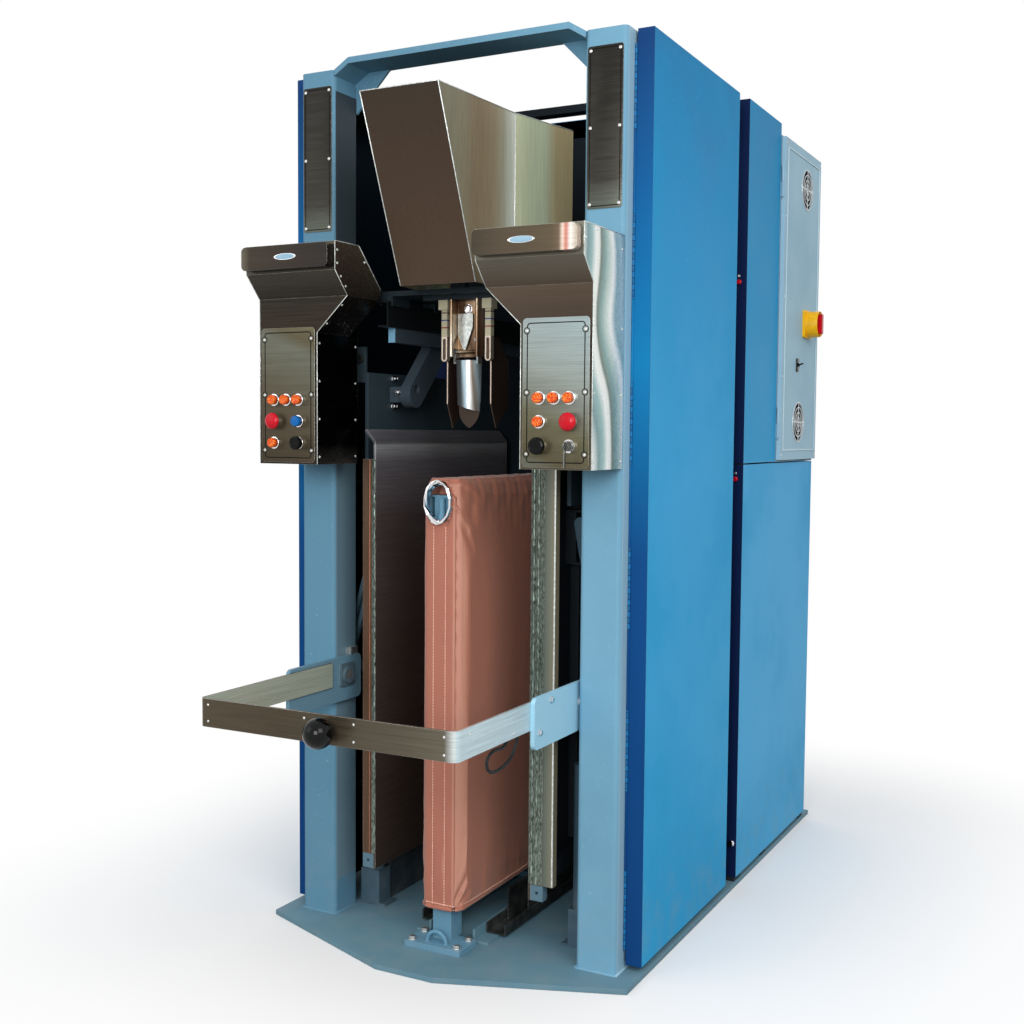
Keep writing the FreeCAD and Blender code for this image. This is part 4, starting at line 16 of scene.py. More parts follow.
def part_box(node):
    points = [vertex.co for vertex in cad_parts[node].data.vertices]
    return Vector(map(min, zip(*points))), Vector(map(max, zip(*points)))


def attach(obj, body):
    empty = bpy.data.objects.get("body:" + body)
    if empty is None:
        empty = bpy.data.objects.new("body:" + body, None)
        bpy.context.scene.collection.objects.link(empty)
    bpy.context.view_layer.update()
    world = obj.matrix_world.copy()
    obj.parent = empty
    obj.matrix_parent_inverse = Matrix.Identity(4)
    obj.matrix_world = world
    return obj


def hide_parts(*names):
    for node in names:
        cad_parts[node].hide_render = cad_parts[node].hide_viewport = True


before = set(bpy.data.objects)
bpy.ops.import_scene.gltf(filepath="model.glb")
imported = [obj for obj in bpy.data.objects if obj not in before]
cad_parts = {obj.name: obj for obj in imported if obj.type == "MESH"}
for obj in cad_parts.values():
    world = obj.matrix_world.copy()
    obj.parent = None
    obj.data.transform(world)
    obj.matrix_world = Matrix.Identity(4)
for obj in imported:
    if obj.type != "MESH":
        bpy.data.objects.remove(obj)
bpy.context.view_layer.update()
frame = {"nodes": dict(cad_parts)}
LOG = logging.getLogger("pants_press")

MM = 0.001
FRONT_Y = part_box("right_column")[0].y

Colour = tuple[int, int, int]
Point = tuple[float, float, float]
Pair = tuple[float, float]
Row = tuple[float, ...]
Pairs = tuple[Pair, ...]
Piece = bpy.types.Object
Node = bpy.types.Node
Socket = bpy.types.NodeSocket
Tree = bpy.types.NodeTree
Value = Union[float, Sequence[float], Socket]
EdgeTest = Callable[[bmesh.types.BMEdge], bool]

UP: Point = (0.0, 0.0, 1.0)
BACK: Point = (0.0, 1.0, 0.0)
FORWARD: Point = (0.0, -1.0, 0.0)
ACROSS: Point = (1.0, 0.0, 0.0)
WHITE = (1.0, 1.0, 1.0, 1.0)
SHARP = math.radians(32.0)
BEAD_SIDES = 8


class Side(Enum):
    """The two sides of the machine, by the sign of X."""

    LEFT = -1
    RIGHT = 1

    @property
    def word(self) -> str:
        """The side's name in node and body names."""
        return self.name.lower()

    @property
    def outward(self) -> Point:
        """The direction away from the machine's middle."""
        return (self.value, 0.0, 0.0)

    @property
    def inward(self) -> Point:
        """The direction towards the machine's middle."""
        return (-self.value, 0.0, 0.0)

    def spot(self, x: float, depth: float, level: float) -> Vector:
        """A point on this side of the machine, as the function spot gives it."""
        return spot(self.value * x, depth, level)


def spot(x: float, depth: float, level: float) -> Vector:
    """A point of the machine in metres.

    Args:
        x: Millimetres across, from the middle.
        depth: Millimetres behind the column fronts.
        level: Millimetres above the floor.

    Returns:
        The point in the shared frame.
    """
    return Vector((x * MM, FRONT_Y + depth * MM, level * MM))


def tone(colour: Colour) -> tuple[float, float, float, float]:
    """Linear colour of an 8-bit screen colour.

    Args:
        colour: Red, green and blue from 0 to 255.

    Returns:
        The colour as a node socket takes it.
    """
    parts = []
    for part in colour:
        share = part / 255.0
        parts.append(share / 12.92 if share <= 0.04045 else ((share + 0.055) / 1.055) ** 2.4)
    return (parts[0], parts[1], parts[2], 1.0)


class Graph:
    """Wires the nodes of a material, a world or a group."""

    def __init__(self, tree: Tree) -> None:
        """Start on an empty tree."""
        self.tree = tree
        tree.nodes.clear()

    def feed(self, node: Node, sockets: dict) -> None:
        """Link inputs of a node to other sockets, or set their values.

        Args:
            node: The node.
            sockets: Values or sources for its inputs, by name or number.
        """
        for key, value in sockets.items():
            if isinstance(value, Socket):
                self.tree.links.new(value, node.inputs[key])
            else:
                node.inputs[key].default_value = value

    def add(self, kind: str, sockets: Optional[dict] = None, **settings: object) -> Node:
        """Add a node.

        Args:
            kind: The node's type name.
            sockets: Values or sources for its inputs, by name or number.
            **settings: Properties of the node.

        Returns:
            The new node.
        """
        node = self.tree.nodes.new(kind)
        for key, value in settings.items():
            setattr(node, key, value)
        self.feed(node, sockets or {})
        return node

    def maths(self, operation: str, first: Value, second: Value = 0.0) -> Socket:
        """One step of arithmetic on two values."""
        return self.add("ShaderNodeMath", {0: first, 1: second}, operation=operation).outputs[0]

    def times(self, first: Value, second: Value) -> Socket:
        """Product of two values."""
        return self.maths("MULTIPLY", first, second)

    def dot(self, first: Value, second: Value) -> Socket:
        """Dot product of two vectors."""
        node = self.add("ShaderNodeVectorMath", {0: first, 1: second}, operation="DOT_PRODUCT")
        return node.outputs["Value"]

    def vector(self, operation: str, first: Value, second: Value = (0.0, 0.0, 0.0)) -> Socket:
        """One step of arithmetic on two vectors, part by part."""
        node = self.add("ShaderNodeVectorMath", {0: first, 1: second}, operation=operation)
        return node.outputs["Vector"]

    def parts(self, vector: Value) -> Sequence[Socket]:
        """The three parts of a vector."""
        return self.add("ShaderNodeSeparateXYZ", {0: vector}).outputs

    def blend(self, share: Value, first: Value, second: Value) -> Socket:
        """Mix of two colours."""
        node = self.add("ShaderNodeMix", {0: share, 6: first, 7: second}, data_type="RGBA")
        return node.outputs[2]

    def between(self, share: Value, first: Value, second: Value) -> Socket:
        """Mix of two numbers."""
        return self.add("ShaderNodeMix", {0: share, 2: first, 3: second}, data_type="FLOAT").outputs[0]

    def span(self, value: Value, low: float, high: float, start: float = 0.0, end: float = 1.0) -> Socket:
        """A value eased from start to end as it goes from low to high."""
        sockets = {"Value": value, "From Min": low, "From Max": high, "To Min": start, "To Max": end}
        return self.add("ShaderNodeMapRange", sockets, interpolation_type="SMOOTHSTEP").outputs[0]

    def noise(self, vector: Value, scale: float, detail: float = 2.0) -> Socket:
        """A noise value at a vector."""
        sockets = {"Vector": vector, "Scale": scale, "Detail": detail, "Roughness": 0.6}
        return self.add("ShaderNodeTexNoise", sockets).outputs[0]

    def shaded(self, value: Value, colour: Value) -> Socket:
        """A colour made darker or lighter."""
        return self.add("ShaderNodeHueSaturation", {"Value": value, "Color": colour}).outputs[0]

    def bump(self, strength: float, distance: float, height: Value, **base: Socket) -> Socket:
        """A normal tilted by a height, from the shape's own normal or a base called Normal."""
        sockets = {"Strength": strength, "Distance": distance, "Height": height, **base}
        return self.add("ShaderNodeBump", sockets).outputs[0]

    def place(self) -> Socket:
        """The piece's own coordinates, which are the machine's."""
        return self.add("ShaderNodeTexCoord").outputs["Object"]

    def facing(self) -> Socket:
        """The direction that a surface faces, in the machine's axes."""
        return self.add("ShaderNodeTexCoord").outputs["Normal"]

    def effect(self, group: Tree, sockets: Optional[dict] = None) -> Sequence[Socket]:
        """Place a shared effect with its own values and give its outputs."""
        return self.add("ShaderNodeGroup", sockets, node_tree=group).outputs


class Group(Graph):
    """Wires a node group, from its inputs to its outputs."""

    KINDS = {"value": "NodeSocketFloat", "vector": "NodeSocketVector"}

    def __init__(self, name: str, inputs: dict[str, str], outputs: dict[str, str]) -> None:
        """Make the group with its sockets.

        Args:
            name: The group's name.
            inputs: Kind of each input by its name.
            outputs: Kind of each output by its name.
        """
        super().__init__(bpy.data.node_groups.new(name, "ShaderNodeTree"))
        for way, sockets in (("INPUT", inputs), ("OUTPUT", outputs)):
            for key, kind in sockets.items():
                self.tree.interface.new_socket(key, in_out=way, socket_type=self.KINDS[kind])
        self.inputs = self.add("NodeGroupInput").outputs

    def closed(self, ends: dict[str, Socket]) -> Tree:
        """Give each output its source, and return the finished group."""
        self.add("NodeGroupOutput", ends)
        return self.tree


class Effects:
    """Surface effects that several finishes share, each a node group made once."""

    @staticmethod
    @cache
    def soft_edge() -> Tree:
        """Compare rounded normals along sharp edges with the true ones.

        Returns:
            A group that gives the rounded normal and a mask of the edges.
        """
        group = Group("soft edge", {"Radius": "value"}, {"Normal": "vector", "Edge": "value"})
        bevel = group.add("ShaderNodeBevel", {"Radius": group.inputs["Radius"]}, samples=4).outputs[0]
        facing = group.add("ShaderNodeNewGeometry").outputs["Normal"]
        turn = group.maths("SUBTRACT", 1.0, group.dot(bevel, facing))
        return group.closed({"Normal": bevel, "Edge": group.span(turn, 0.03, 0.22)})

    @staticmethod
    @cache
    def paint_skin() -> Tree:
        """Make the skin of sprayed paint from three noises of different size.

        Returns:
            A group that gives orange peel, cloudy shade and small specks.
        """
        group = Group("paint skin", {}, {"Peel": "value", "Cloud": "value", "Speck": "value"})
        place = group.place()
        return group.closed({
            "Peel": group.noise(place, 520.0, 1.0),
            "Cloud": group.span(group.noise(place, 2.6, 4.0), 0.3, 0.72),
            "Speck": group.span(group.noise(place, 150.0, 1.0), 0.70, 0.78),
        })

    @staticmethod
    @cache
    def brushing() -> Tree:
        """Draw noise out along the short axes of Stretch, fine and coarse.

        Returns:
            A group that gives the streaks and the broad bands of a brushed surface.
        """
        group = Group("brushing", {"Stretch": "vector"}, {"Streak": "value", "Band": "value"})
        place = group.vector("MULTIPLY", group.place(), group.inputs["Stretch"])
        band = group.span(group.noise(place, 0.13, 2.0), 0.32, 0.68)
        return group.closed({"Streak": group.noise(place, 1.0, 3.0), "Band": band})

    @staticmethod
    @cache
    def waviness() -> Tree:
        """Make the slow waves of rolled sheet from one large soft noise.

        Returns:
            A group that gives a height.
        """
        group = Group("waviness", {"Scale": "value"}, {"Height": "value"})
        sockets = {"Vector": group.place(), "Scale": group.inputs["Scale"], "Detail": 1.0}
        return group.closed({"Height": group.add("ShaderNodeTexNoise", sockets).outputs[0]})

    @staticmethod
    @cache
    def zone() -> Tree:
        """Multiply one test for each face of a box of the machine.

        Returns:
            A group that gives 1 inside the box.
        """
        group = Group("zone", {"Low": "vector", "High": "vector"}, {"Mask": "value"})
        corners = (group.place(), group.inputs["Low"], group.inputs["High"])
        mask: Value = 1.0
        for place, low, high in zip(*(group.parts(corner) for corner in corners)):
            above = group.maths("GREATER_THAN", place, low)
            below = group.maths("LESS_THAN", place, high)
            mask = group.times(mask, group.times(above, below))
        return group.closed({"Mask": mask})

    @staticmethod
    @cache
    def floor_dust() -> Tree:
        """Break up by noise what thins out with height above the floor.

        Returns:
            A group that gives the share of dust and scuffs.
        """
        group = Group("floor dust", {}, {"Dust": "value"})
        place = group.place()
        fade = group.span(group.parts(place)[2], 0.0, 0.35, 1.0, 0.0)
        patch = group.span(group.noise(place, 14.0, 5.0), 0.38, 0.74)
        return group.closed({"Dust": group.times(fade, patch)})

    @staticmethod
    @cache
    def weave() -> Tree:
        """Cross sines along the height and along the girth.

        Returns:
            A group that gives the over and under of two crossing threads.
        """
        group = Group("weave", {"Pitch": "value"}, {"Thread": "value"})
        x, y, level = group.parts(group.place())
        girth = group.maths("ADD", x, y)
        up, across = (group.maths("SINE", group.times(run, group.inputs["Pitch"])) for run in (level, girth))
        return group.closed({"Thread": group.span(group.times(up, across), -1.0, 1.0)})


@dataclass(frozen=True)
class Fade:
    """A run of colours along one direction of the machine, in metres."""

    direction: Point
    start: float
    end: float
    stops: tuple[tuple[float, Colour], ...]
    warp: float = 0.0
    warp_scale: float = 2.8

    def wire(self, graph: Graph) -> Socket:
        """Add the ramp to a graph.

        Args:
            graph: The material being wired.

        Returns:
            The colour socket.
        """
        along = graph.dot(graph.place(), self.direction)
        if self.warp:
            noise = graph.noise(graph.place(), self.warp_scale, 1.0)
            along = graph.maths("ADD", along, graph.span(noise, 0.0, 1.0, -self.warp, self.warp))
        sockets = {"Value": along, "From Min": self.start, "From Max": self.end}
        share = graph.add("ShaderNodeMapRange", sockets).outputs[0]
        ramp = graph.add("ShaderNodeValToRGB", {0: share})
        elements = ramp.color_ramp.elements
        while len(elements) < len(self.stops):
            elements.new(0.5)
        for element, (position, colour) in zip(elements, self.stops):
            element.position = position
            element.color = tone(colour)
        return ramp.outputs[0]


Look = Union[Colour, Fade]


def laid(graph: Graph, look: Look) -> Value:
    """A fade wired into a graph, or a plain colour as a node socket takes it."""
    return look.wire(graph) if isinstance(look, Fade) else tone(look)


@dataclass(frozen=True)
class Zone:
    """A box of a node that has another finish than the rest of it."""

    low: Point
    high: Point
    colour: Look
    roughness: float
    metallic: float


@dataclass(frozen=True)
class Finish:
    """What every finish has: a name and a material that is made once."""

    name: str

    def material(self) -> bpy.types.Material:
        """Give the finish's material, which is made at its first use.

        Returns:
            The material.
        """
        found = bpy.data.materials.get(self.name)
        if found is not None:
            return found
        made = bpy.data.materials.new(self.name)
        made.use_nodes = True
        graph = Graph(made.node_tree)
        shader = graph.add("ShaderNodeBsdfPrincipled")
        graph.add("ShaderNodeOutputMaterial", {"Surface": shader.outputs[0]})
        self.wire(graph, shader)
        return made

    def wire(self, graph: Graph, shader: Node) -> None:
        """Wire the shader's inputs; each kind of finish has its own way."""
        raise NotImplementedError


def zoned(graph: Graph, zones: Sequence[Zone], colour: Value, rough: Value, metal: Value) -> dict[str, Value]:
    """Lay zones over a finish.

    Args:
        graph: The material being wired.
        zones: Boxes with a finish of their own.
        colour: The colour outside the zones.
        rough: The roughness outside the zones.
        metal: The metallic value outside the zones.

    Returns:
        What the shader's inputs take.
    """
    for zone in zones:
        mask = graph.effect(Effects.zone(), {"Low": zone.low, "High": zone.high})[0]
        colour = graph.blend(mask, colour, laid(graph, zone.colour))
        rough = graph.between(mask, rough, zone.roughness)
        metal = graph.between(mask, metal, zone.metallic)
    return {"Base Color": colour, "Roughness": rough, "Metallic": metal}


@dataclass(frozen=True)
class Paint(Finish):
    """Sprayed paint with orange peel, cloudy shade, edges that are partly worn and partly a painted
    highlight, and dust near the floor.
    """

    colour: Look
    shade: Colour
    # pale colour of the specks and of the edges; on the edges it is both wear and a painted highlight
    wear_and_highlight: Colour
    roughness: float = 0.36
    gloss: float = 0.12
    peel: float = 0.05
    radius: float = 0.0015
    zones: tuple[Zone, ...] = ()
    clouds: float = 0.55
    specks: float = 0.3
    dust: float = 0.2
    dust_colour: Colour = (150, 152, 150)

    def wire(self, graph: Graph, shader: Node) -> None:
        """Mix the shades, roughen the specks and round the edges.

        Args:
            graph: The material being wired.
            shader: Its Principled node.
        """
        skin = graph.effect(Effects.paint_skin())
        edge = graph.effect(Effects.soft_edge(), {"Radius": self.radius})
        dust = graph.effect(Effects.floor_dust())[0]
        clouds = graph.times(skin["Cloud"], self.clouds)
        colour = graph.blend(clouds, laid(graph, self.colour), tone(self.shade))
        colour = graph.blend(graph.times(skin["Speck"], self.specks), colour, tone(self.wear_and_highlight))
        # Sharp edges go pale: partly worn paint, partly a painted highlight along them.
        edge_wear_and_highlight = graph.times(edge["Edge"], graph.span(skin["Cloud"], 0.1, 0.9, 0.2, 0.75))
        colour = graph.blend(edge_wear_and_highlight, colour, tone(self.wear_and_highlight))
        colour = graph.blend(graph.times(dust, self.dust), colour, tone(self.dust_colour))
        rough = graph.span(skin["Cloud"], 0.0, 1.0, self.roughness, self.roughness + 0.12)
        graph.feed(shader, {
            **zoned(graph, self.zones, colour, rough, 0.0),
            "Normal": graph.bump(self.peel, 0.001, skin["Peel"], Normal=edge["Normal"]),
            "Specular IOR Level": self.gloss,
        })


@dataclass(frozen=True)
class Knuckled(Finish):
    """Painted piano hinge whose short knuckles part in dark lines."""

    colour: Colour
    gap: Colour
    pitch: float = 13.7
    line: float = 0.16
    tint: float = 0.35

    def wire(self, graph: Graph, shader: Node) -> None:
        """Draw dark lines at the pitch and make every other knuckle a little darker.

        Args:
            graph: The material being wired.
            shader: Its Principled node.
        """
        level = graph.parts(graph.place())[2]
        step = graph.maths("FRACT", graph.times(level, 1.0 / (self.pitch * MM)))
        other = graph.maths("FRACT", graph.times(level, 0.5 / (self.pitch * MM)))
        shade = graph.times(graph.maths("LESS_THAN", other, 0.5), self.tint)
        colour = graph.blend(shade, tone(self.colour), tone(self.gap))
        graph.feed(shader, {
            "Base Color": graph.blend(graph.maths("LESS_THAN", step, self.line), colour, tone(self.gap)),
            "Roughness": graph.span(graph.noise(graph.place(), 90.0), 0.3, 0.7, 0.35, 0.5),
            "Specular IOR Level": 0.15,
        })


@dataclass(frozen=True)
class Steel(Finish):
    """Bare sheet or bar with brush streaks, slow waves and pale edges as painted highlights."""

    front: Fade
    side: Optional[Fade] = None
    stretch: Point = (8.0, 600.0, 600.0)
    streaks: float = 0.35
    roughness: Pair = (0.22, 0.42)
    metallic: float = 1.0
    # colour of the painted highlight along sharp edges
    pale: Colour = (235, 235, 228)
    edge: float = 0.8
    waves: float = 0.15
    wave_scale: float = 7.0
    radius: float = 0.0012
    zones: tuple[Zone, ...] = ()

    def wire(self, graph: Graph, shader: Node) -> None:
        """Fade by place and facing, then streak it.

        Args:
            graph: The material being wired.
            shader: Its Principled node.
        """
        brush = graph.effect(Effects.brushing(), {"Stretch": self.stretch})
        edge = graph.effect(Effects.soft_edge(), {"Radius": self.radius})
        wave = graph.effect(Effects.waviness(), {"Scale": self.wave_scale})[0]
        # The front and side fades carry painted reflection and shade on the finishes that set them so.
        colour = self.front.wire(graph)
        if self.side:
            across = graph.maths("ABSOLUTE", graph.parts(graph.facing())[0])
            colour = graph.blend(graph.span(across, 0.55, 0.8), colour, self.side.wire(graph))
        dark = graph.span(brush["Streak"], 0.3, 0.75, 1.0 - self.streaks, 1.0 + self.streaks * 0.5)
        hue = graph.shaded(dark, colour)
        # Painted highlight: sharp edges are blended towards the pale colour.
        colour = graph.blend(graph.times(edge["Edge"], self.edge), hue, tone(self.pale))
        rough = graph.span(brush["Band"], 0.0, 1.0, *self.roughness)
        height = graph.maths("ADD", graph.times(brush["Streak"], 0.05), wave)
        graph.feed(shader, {
            **zoned(graph, self.zones, colour, rough, self.metallic),
            "Normal": graph.bump(self.waves, 0.004, height, Normal=edge["Normal"]),
            "Specular IOR Level": 0.2,
        })


@dataclass(frozen=True)
class Moulded(Finish):
    """Moulded plastic or lacquer with a faint grain and handling marks."""

    colour: Colour
    shade: Colour
    roughness: float = 0.25
    grain: float = 0.04
    coat: float = 0.05
    gloss: float = 0.2

    def wire(self, graph: Graph, shader: Node) -> None:
        """Mix two close shades, with a fine grain and smudged gloss.

        Args:
            graph: The material being wired.
            shader: Its Principled node.
        """
        place = graph.place()
        smudge = graph.span(graph.noise(place, 60.0, 3.0), 0.35, 0.7)
        graph.feed(shader, {
            "Base Color": graph.blend(smudge, tone(self.colour), tone(self.shade)),
            "Roughness": graph.span(smudge, 0.0, 1.0, self.roughness, self.roughness + 0.15),
            "Normal": graph.bump(self.grain, 0.0005, graph.noise(place, 1400.0, 1.0)),
            "Coat Weight": self.coat,
            "Coat Roughness": 0.08,
            "Specular IOR Level": self.gloss,
        })


@dataclass(frozen=True)
class Lens(Finish):
    """Coloured lamp lens with a pattern of small cells, whose lighter hearts are painted glints."""

    colour: Colour
    glow: Colour

    def wire(self, graph: Graph, shader: Node) -> None:
        """Lay the lens's cells, each with a painted glint at its heart.

        Args:
            graph: The material being wired.
            shader: Its Principled node.
        """
        cells = graph.add("ShaderNodeTexVoronoi", {"Vector": graph.place(), "Scale": 260.0})
        share = graph.span(cells.outputs["Distance"], 0.1, 0.7)
        graph.feed(shader, {
            # Painted glints: the cells' hearts take the lighter colour.
            "Base Color": graph.blend(share, tone(self.glow), tone(self.colour)),
            "Roughness": graph.span(share, 0.0, 1.0, 0.12, 0.3),
            "Normal": graph.bump(0.35, 0.001, share),
            "Coat Weight": 0.1,
            "Coat Roughness": 0.05,
            "Specular IOR Level": 0.25,
        })


@dataclass(frozen=True)
class Cloth(Finish):
    """Close woven satin cover with a sheen, painted shade towards the rear and a painted sheen on faces
    turned to the front right.
    """

    fade: Fade
    light: Colour
    # colour of the painted sheen
    band: Colour
    pitch: float = 0.0011
    gather: Point = (9.0, 5.0, 1.6)
    # direction that the faces with the painted sheen turn to
    painted_sheen: Point = (0.72, -0.69, 0.0)

    def wire(self, graph: Graph, shader: Node) -> None:
        """Mix weave, wrinkles, cloudy wear and a band of painted sheen.

        Args:
            graph: The material being wired.
            shader: Its Principled node.
        """
        place = graph.place()
        weave = graph.effect(Effects.weave(), {"Pitch": 2.0 * math.pi / self.pitch})[0]
        cloud = graph.span(graph.noise(place, 5.0, 4.0), 0.3, 0.72)
        crease = graph.noise(graph.vector("MULTIPLY", place, self.gather), 3.0, 4.0)
        colour = graph.blend(graph.times(cloud, 0.3), self.fade.wire(graph), tone(self.light))
        # Painted sheen: faces turned to the front right take the lighter band colour.
        painted_sheen = graph.span(graph.dot(graph.facing(), self.painted_sheen), 0.9, 1.0, 0.0, 0.85)
        colour = graph.blend(painted_sheen, colour, tone(self.band))
        height = graph.maths("ADD", graph.times(weave, 0.06), crease)
        graph.feed(shader, {
            "Base Color": graph.shaded(graph.span(weave, 0.0, 1.0, 0.9, 1.06), colour),
            "Roughness": graph.span(cloud, 0.0, 1.0, 0.42, 0.58),
            "Normal": graph.bump(0.4, 0.006, height),
            "Sheen Weight": 0.25,
            "Sheen Roughness": 0.4,
        })


class Finishes:
    """The finishes of the press, by what they are on."""

    frame = Paint(
        "frame paint",
        # Painted light: the frame paint is darker on the left and lighter on the right.
        Fade(ACROSS, -0.45, 0.45, (
            (0.0, (90, 135, 160)), (0.5, (98, 143, 167)), (0.85, (116, 166, 192)), (1.0, (116, 166, 192)),
        )),
        (96, 142, 167), (176, 204, 216), roughness=0.42, gloss=0.15,
        zones=(
            # Painted light: the right column's outer side is lighter.
            Zone((0.4424, -1.0, -1.0), (0.45, 1.0, 3.0), (150, 188, 206), 0.4, 0.0),
            # Painted shade: the left column's inner face darkens towards the top.
            Zone((-0.3425, -1.0, 0.1), (-0.3400, 1.0, 2.1), Fade(UP, 0.0, 2.15, (
                (0.0, (112, 142, 156)), (0.5, (102, 130, 144)), (0.78, (60, 72, 80)), (1.0, (52, 62, 70)),
            )), 0.45, 0.0),
        ),
    )
    base = Paint("floor plate paint", (104, 142, 158), (88, 122, 138), (150, 176, 186), roughness=0.5)
    # Painted shade: the frame's blue-grey darkened for inner parts that lie in shade.
    inner_painted_shade = Paint("inner frame paint", (52, 66, 74), (34, 44, 50), (96, 120, 132), roughness=0.5)
    # Painted shade: a darker copy of the frame's blue-grey for the levers and cylinders in shade.
    lever = Paint("lever paint", (74, 98, 112), (50, 68, 80), (120, 164, 190), roughness=0.45)
    # Painted shade: the frame's blue-grey darkened for the rails under the hood.
    rails = Paint(
        "carriage rail paint", (66, 78, 88), (44, 54, 62), (110, 134, 148), roughness=0.5,
        zones=(
            # Painted shade: a near-black band just under the hood.
            Zone((-1.0, -1.0, 1.513), (1.0, 1.0, 1.60), (20, 24, 26), 0.5, 0.0),
            # Painted light: the front strip takes the lighter colour of lit paint.
            Zone((-1.0, -1.0, 1.476), (1.0, FRONT_Y + 0.0455, 1.5125), (124, 174, 204), 0.45, 0.0),
        ),
    )
    door = Paint(
        "door paint",
        # Painted shade: the door blue darkens towards the top.
        Fade(UP, 0.0, 2.15, (
            (0.0, (46, 166, 220)), (0.6, (52, 164, 219)), (0.85, (10, 140, 198)), (1.0, (0, 112, 168)),
        )),
        (40, 152, 204), (130, 190, 222), gloss=0.04,
        zones=(
            # Painted shade: the doors' inner faces are near-black.
            Zone((-0.487, FRONT_Y + 0.05, -1.0), (0.487, 2.0, 3.0), (10, 20, 28), 0.5, 0.0),
            # Painted shade: the doors' front flanges are a darker navy, varying with height.
            Zone((-1.0, -1.0, -1.0), (1.0, FRONT_Y + 0.0475, 3.0), Fade(UP, 0.0, 2.15, (
                (0.0, (20, 66, 122)), (0.45, (20, 74, 132)), (0.66, (24, 124, 178)), (0.85, (24, 92, 150)),
                (1.0, (27, 64, 116)),
            )), 0.4, 0.0),
        ),
    )
    # Painted shade: the cabinet blue darkens towards the top, with a darker step at about 1.17 m.
    painted_panel_shade = Fade(UP, 0.0, 2.15, (
        (0.0, (70, 176, 228)), (0.545, (66, 172, 226)), (0.55, (44, 158, 212)), (0.85, (24, 140, 194)),
        (1.0, (8, 124, 178)),
    ))
    covers = Paint(
        "cabinet cover paint", painted_panel_shade, (54, 154, 204), (130, 192, 222), gloss=0.04,
        zones=(
            # Painted shade: the covers are near-black in front of these depths.
            Zone((-1.0, -1.0, 1.1762), (1.0, FRONT_Y + 1.0322, 2.1508), (10, 18, 26), 0.5, 0.0),
            Zone((-1.0, -1.0, -1.0), (1.0, FRONT_Y + 1.4472, 1.1758), (10, 18, 26), 0.5, 0.0),
        ),
    )
    panel = Paint(
        "rear panel paint", painted_panel_shade, (54, 154, 204), (130, 192, 222), gloss=0.04,
        zones=(
            # Painted shade: near-black on the panels' inner faces and a dark navy on their front flanges.
            Zone((-0.4905, -1.0, 1.1745), (0.4905, FRONT_Y + 1.0322, 3.0), (10, 18, 26), 0.5, 0.0),
            Zone((-0.4905, -1.0, -1.0), (0.4905, FRONT_Y + 1.4472, 1.1745), (10, 18, 26), 0.5, 0.0),
            Zone((-1.0, 0.0, -1.0), (1.0, FRONT_Y + 0.7305, 3.0), (16, 32, 70), 0.45, 0.0),
        ),
    )
    # Painted shade: near-black for the rear frame, which lies deep in shade.
    inner = Paint("inner panel paint", (16, 26, 34), (10, 16, 22), (40, 56, 66), roughness=0.55)
    strap = Paint("strap paint", (112, 68, 60), (92, 54, 48), (150, 104, 92), roughness=0.5)
    hinge = Knuckled("piano hinge", (26, 116, 172), (18, 44, 84))
    enclosure = Paint("enclosure paint", (150, 186, 206), (134, 172, 194), (198, 216, 226), roughness=0.45)
    # Painted highlight: a paler paint for the rim, so that it reads as the door's bright edge.
    enclosure_rim_highlight = Paint(
        "enclosure edge paint", (206, 226, 234), (176, 204, 218), (226, 236, 240), roughness=0.4,
    )
    enclosure_door = Paint(
        "enclosure door paint", (158, 194, 212), (142, 180, 200), (206, 222, 232), roughness=0.45,
        zones=(
            Zone((0.5053, FRONT_Y + 1.250, 1.54), (0.52, FRONT_Y + 1.350, 1.65), (240, 182, 16), 0.35, 0.0),
            Zone((0.5053, FRONT_Y + 1.15, 1.20), (0.52, FRONT_Y + 1.31, 1.38), (206, 212, 214), 0.25, 0.6),
            Zone((0.5053, FRONT_Y + 1.20, 1.92), (0.52, FRONT_Y + 1.36, 2.09), (206, 212, 214), 0.25, 0.6),
        ),
    )
    left_box = Steel(
        "left box stainless",
        # Painted reflection: the front is the dark brown of a reflected room, lighter at the top.
        Fade(UP, 1.17, 1.70, (
            (0.0, (50, 42, 35)), (0.55, (46, 37, 30)), (0.75, (40, 36, 30)), (1.0, (84, 80, 70)),
        )),
        # Painted shade: the sides are near-black through the middle, lighter near the bottom and the top.
        Fade(UP, 1.17, 1.70, (
            (0.0, (84, 84, 80)), (0.10, (10, 10, 10)), (0.62, (8, 8, 8)), (0.78, (72, 64, 57)),
            (1.0, (112, 100, 90)),
        )),
        streaks=0.3, roughness=(0.2, 0.34), metallic=0.8,
    )
    right_box = Steel(
        "right box stainless",
        # Painted reflection: the front is dark brown in the middle, lighter at the bottom and the top.
        Fade(UP, 1.17, 1.70, (
            (0.0, (84, 76, 62)), (0.5, (48, 41, 35)), (0.75, (78, 65, 53)), (1.0, (122, 122, 110)),
        )),
        # Painted reflection: the sides carry noise-warped bands of mirrored light and colour.
        Fade((0.0, 2.2, 0.35), -1.38, -0.84, (
            (0.0, (226, 232, 230)), (0.1, (118, 150, 152)), (0.2, (150, 186, 184)), (0.29, (240, 244, 240)),
            (0.36, (232, 236, 230)), (0.4, (112, 126, 116)), (0.5, (136, 170, 166)), (0.6, (200, 216, 208)),
            (0.68, (244, 246, 242)), (0.76, (150, 182, 186)), (0.88, (178, 204, 210)), (1.0, (140, 172, 182)),
        ), 0.13),
        streaks=0.02, roughness=(0.2, 0.32), metallic=0.35, waves=0.0,
    )
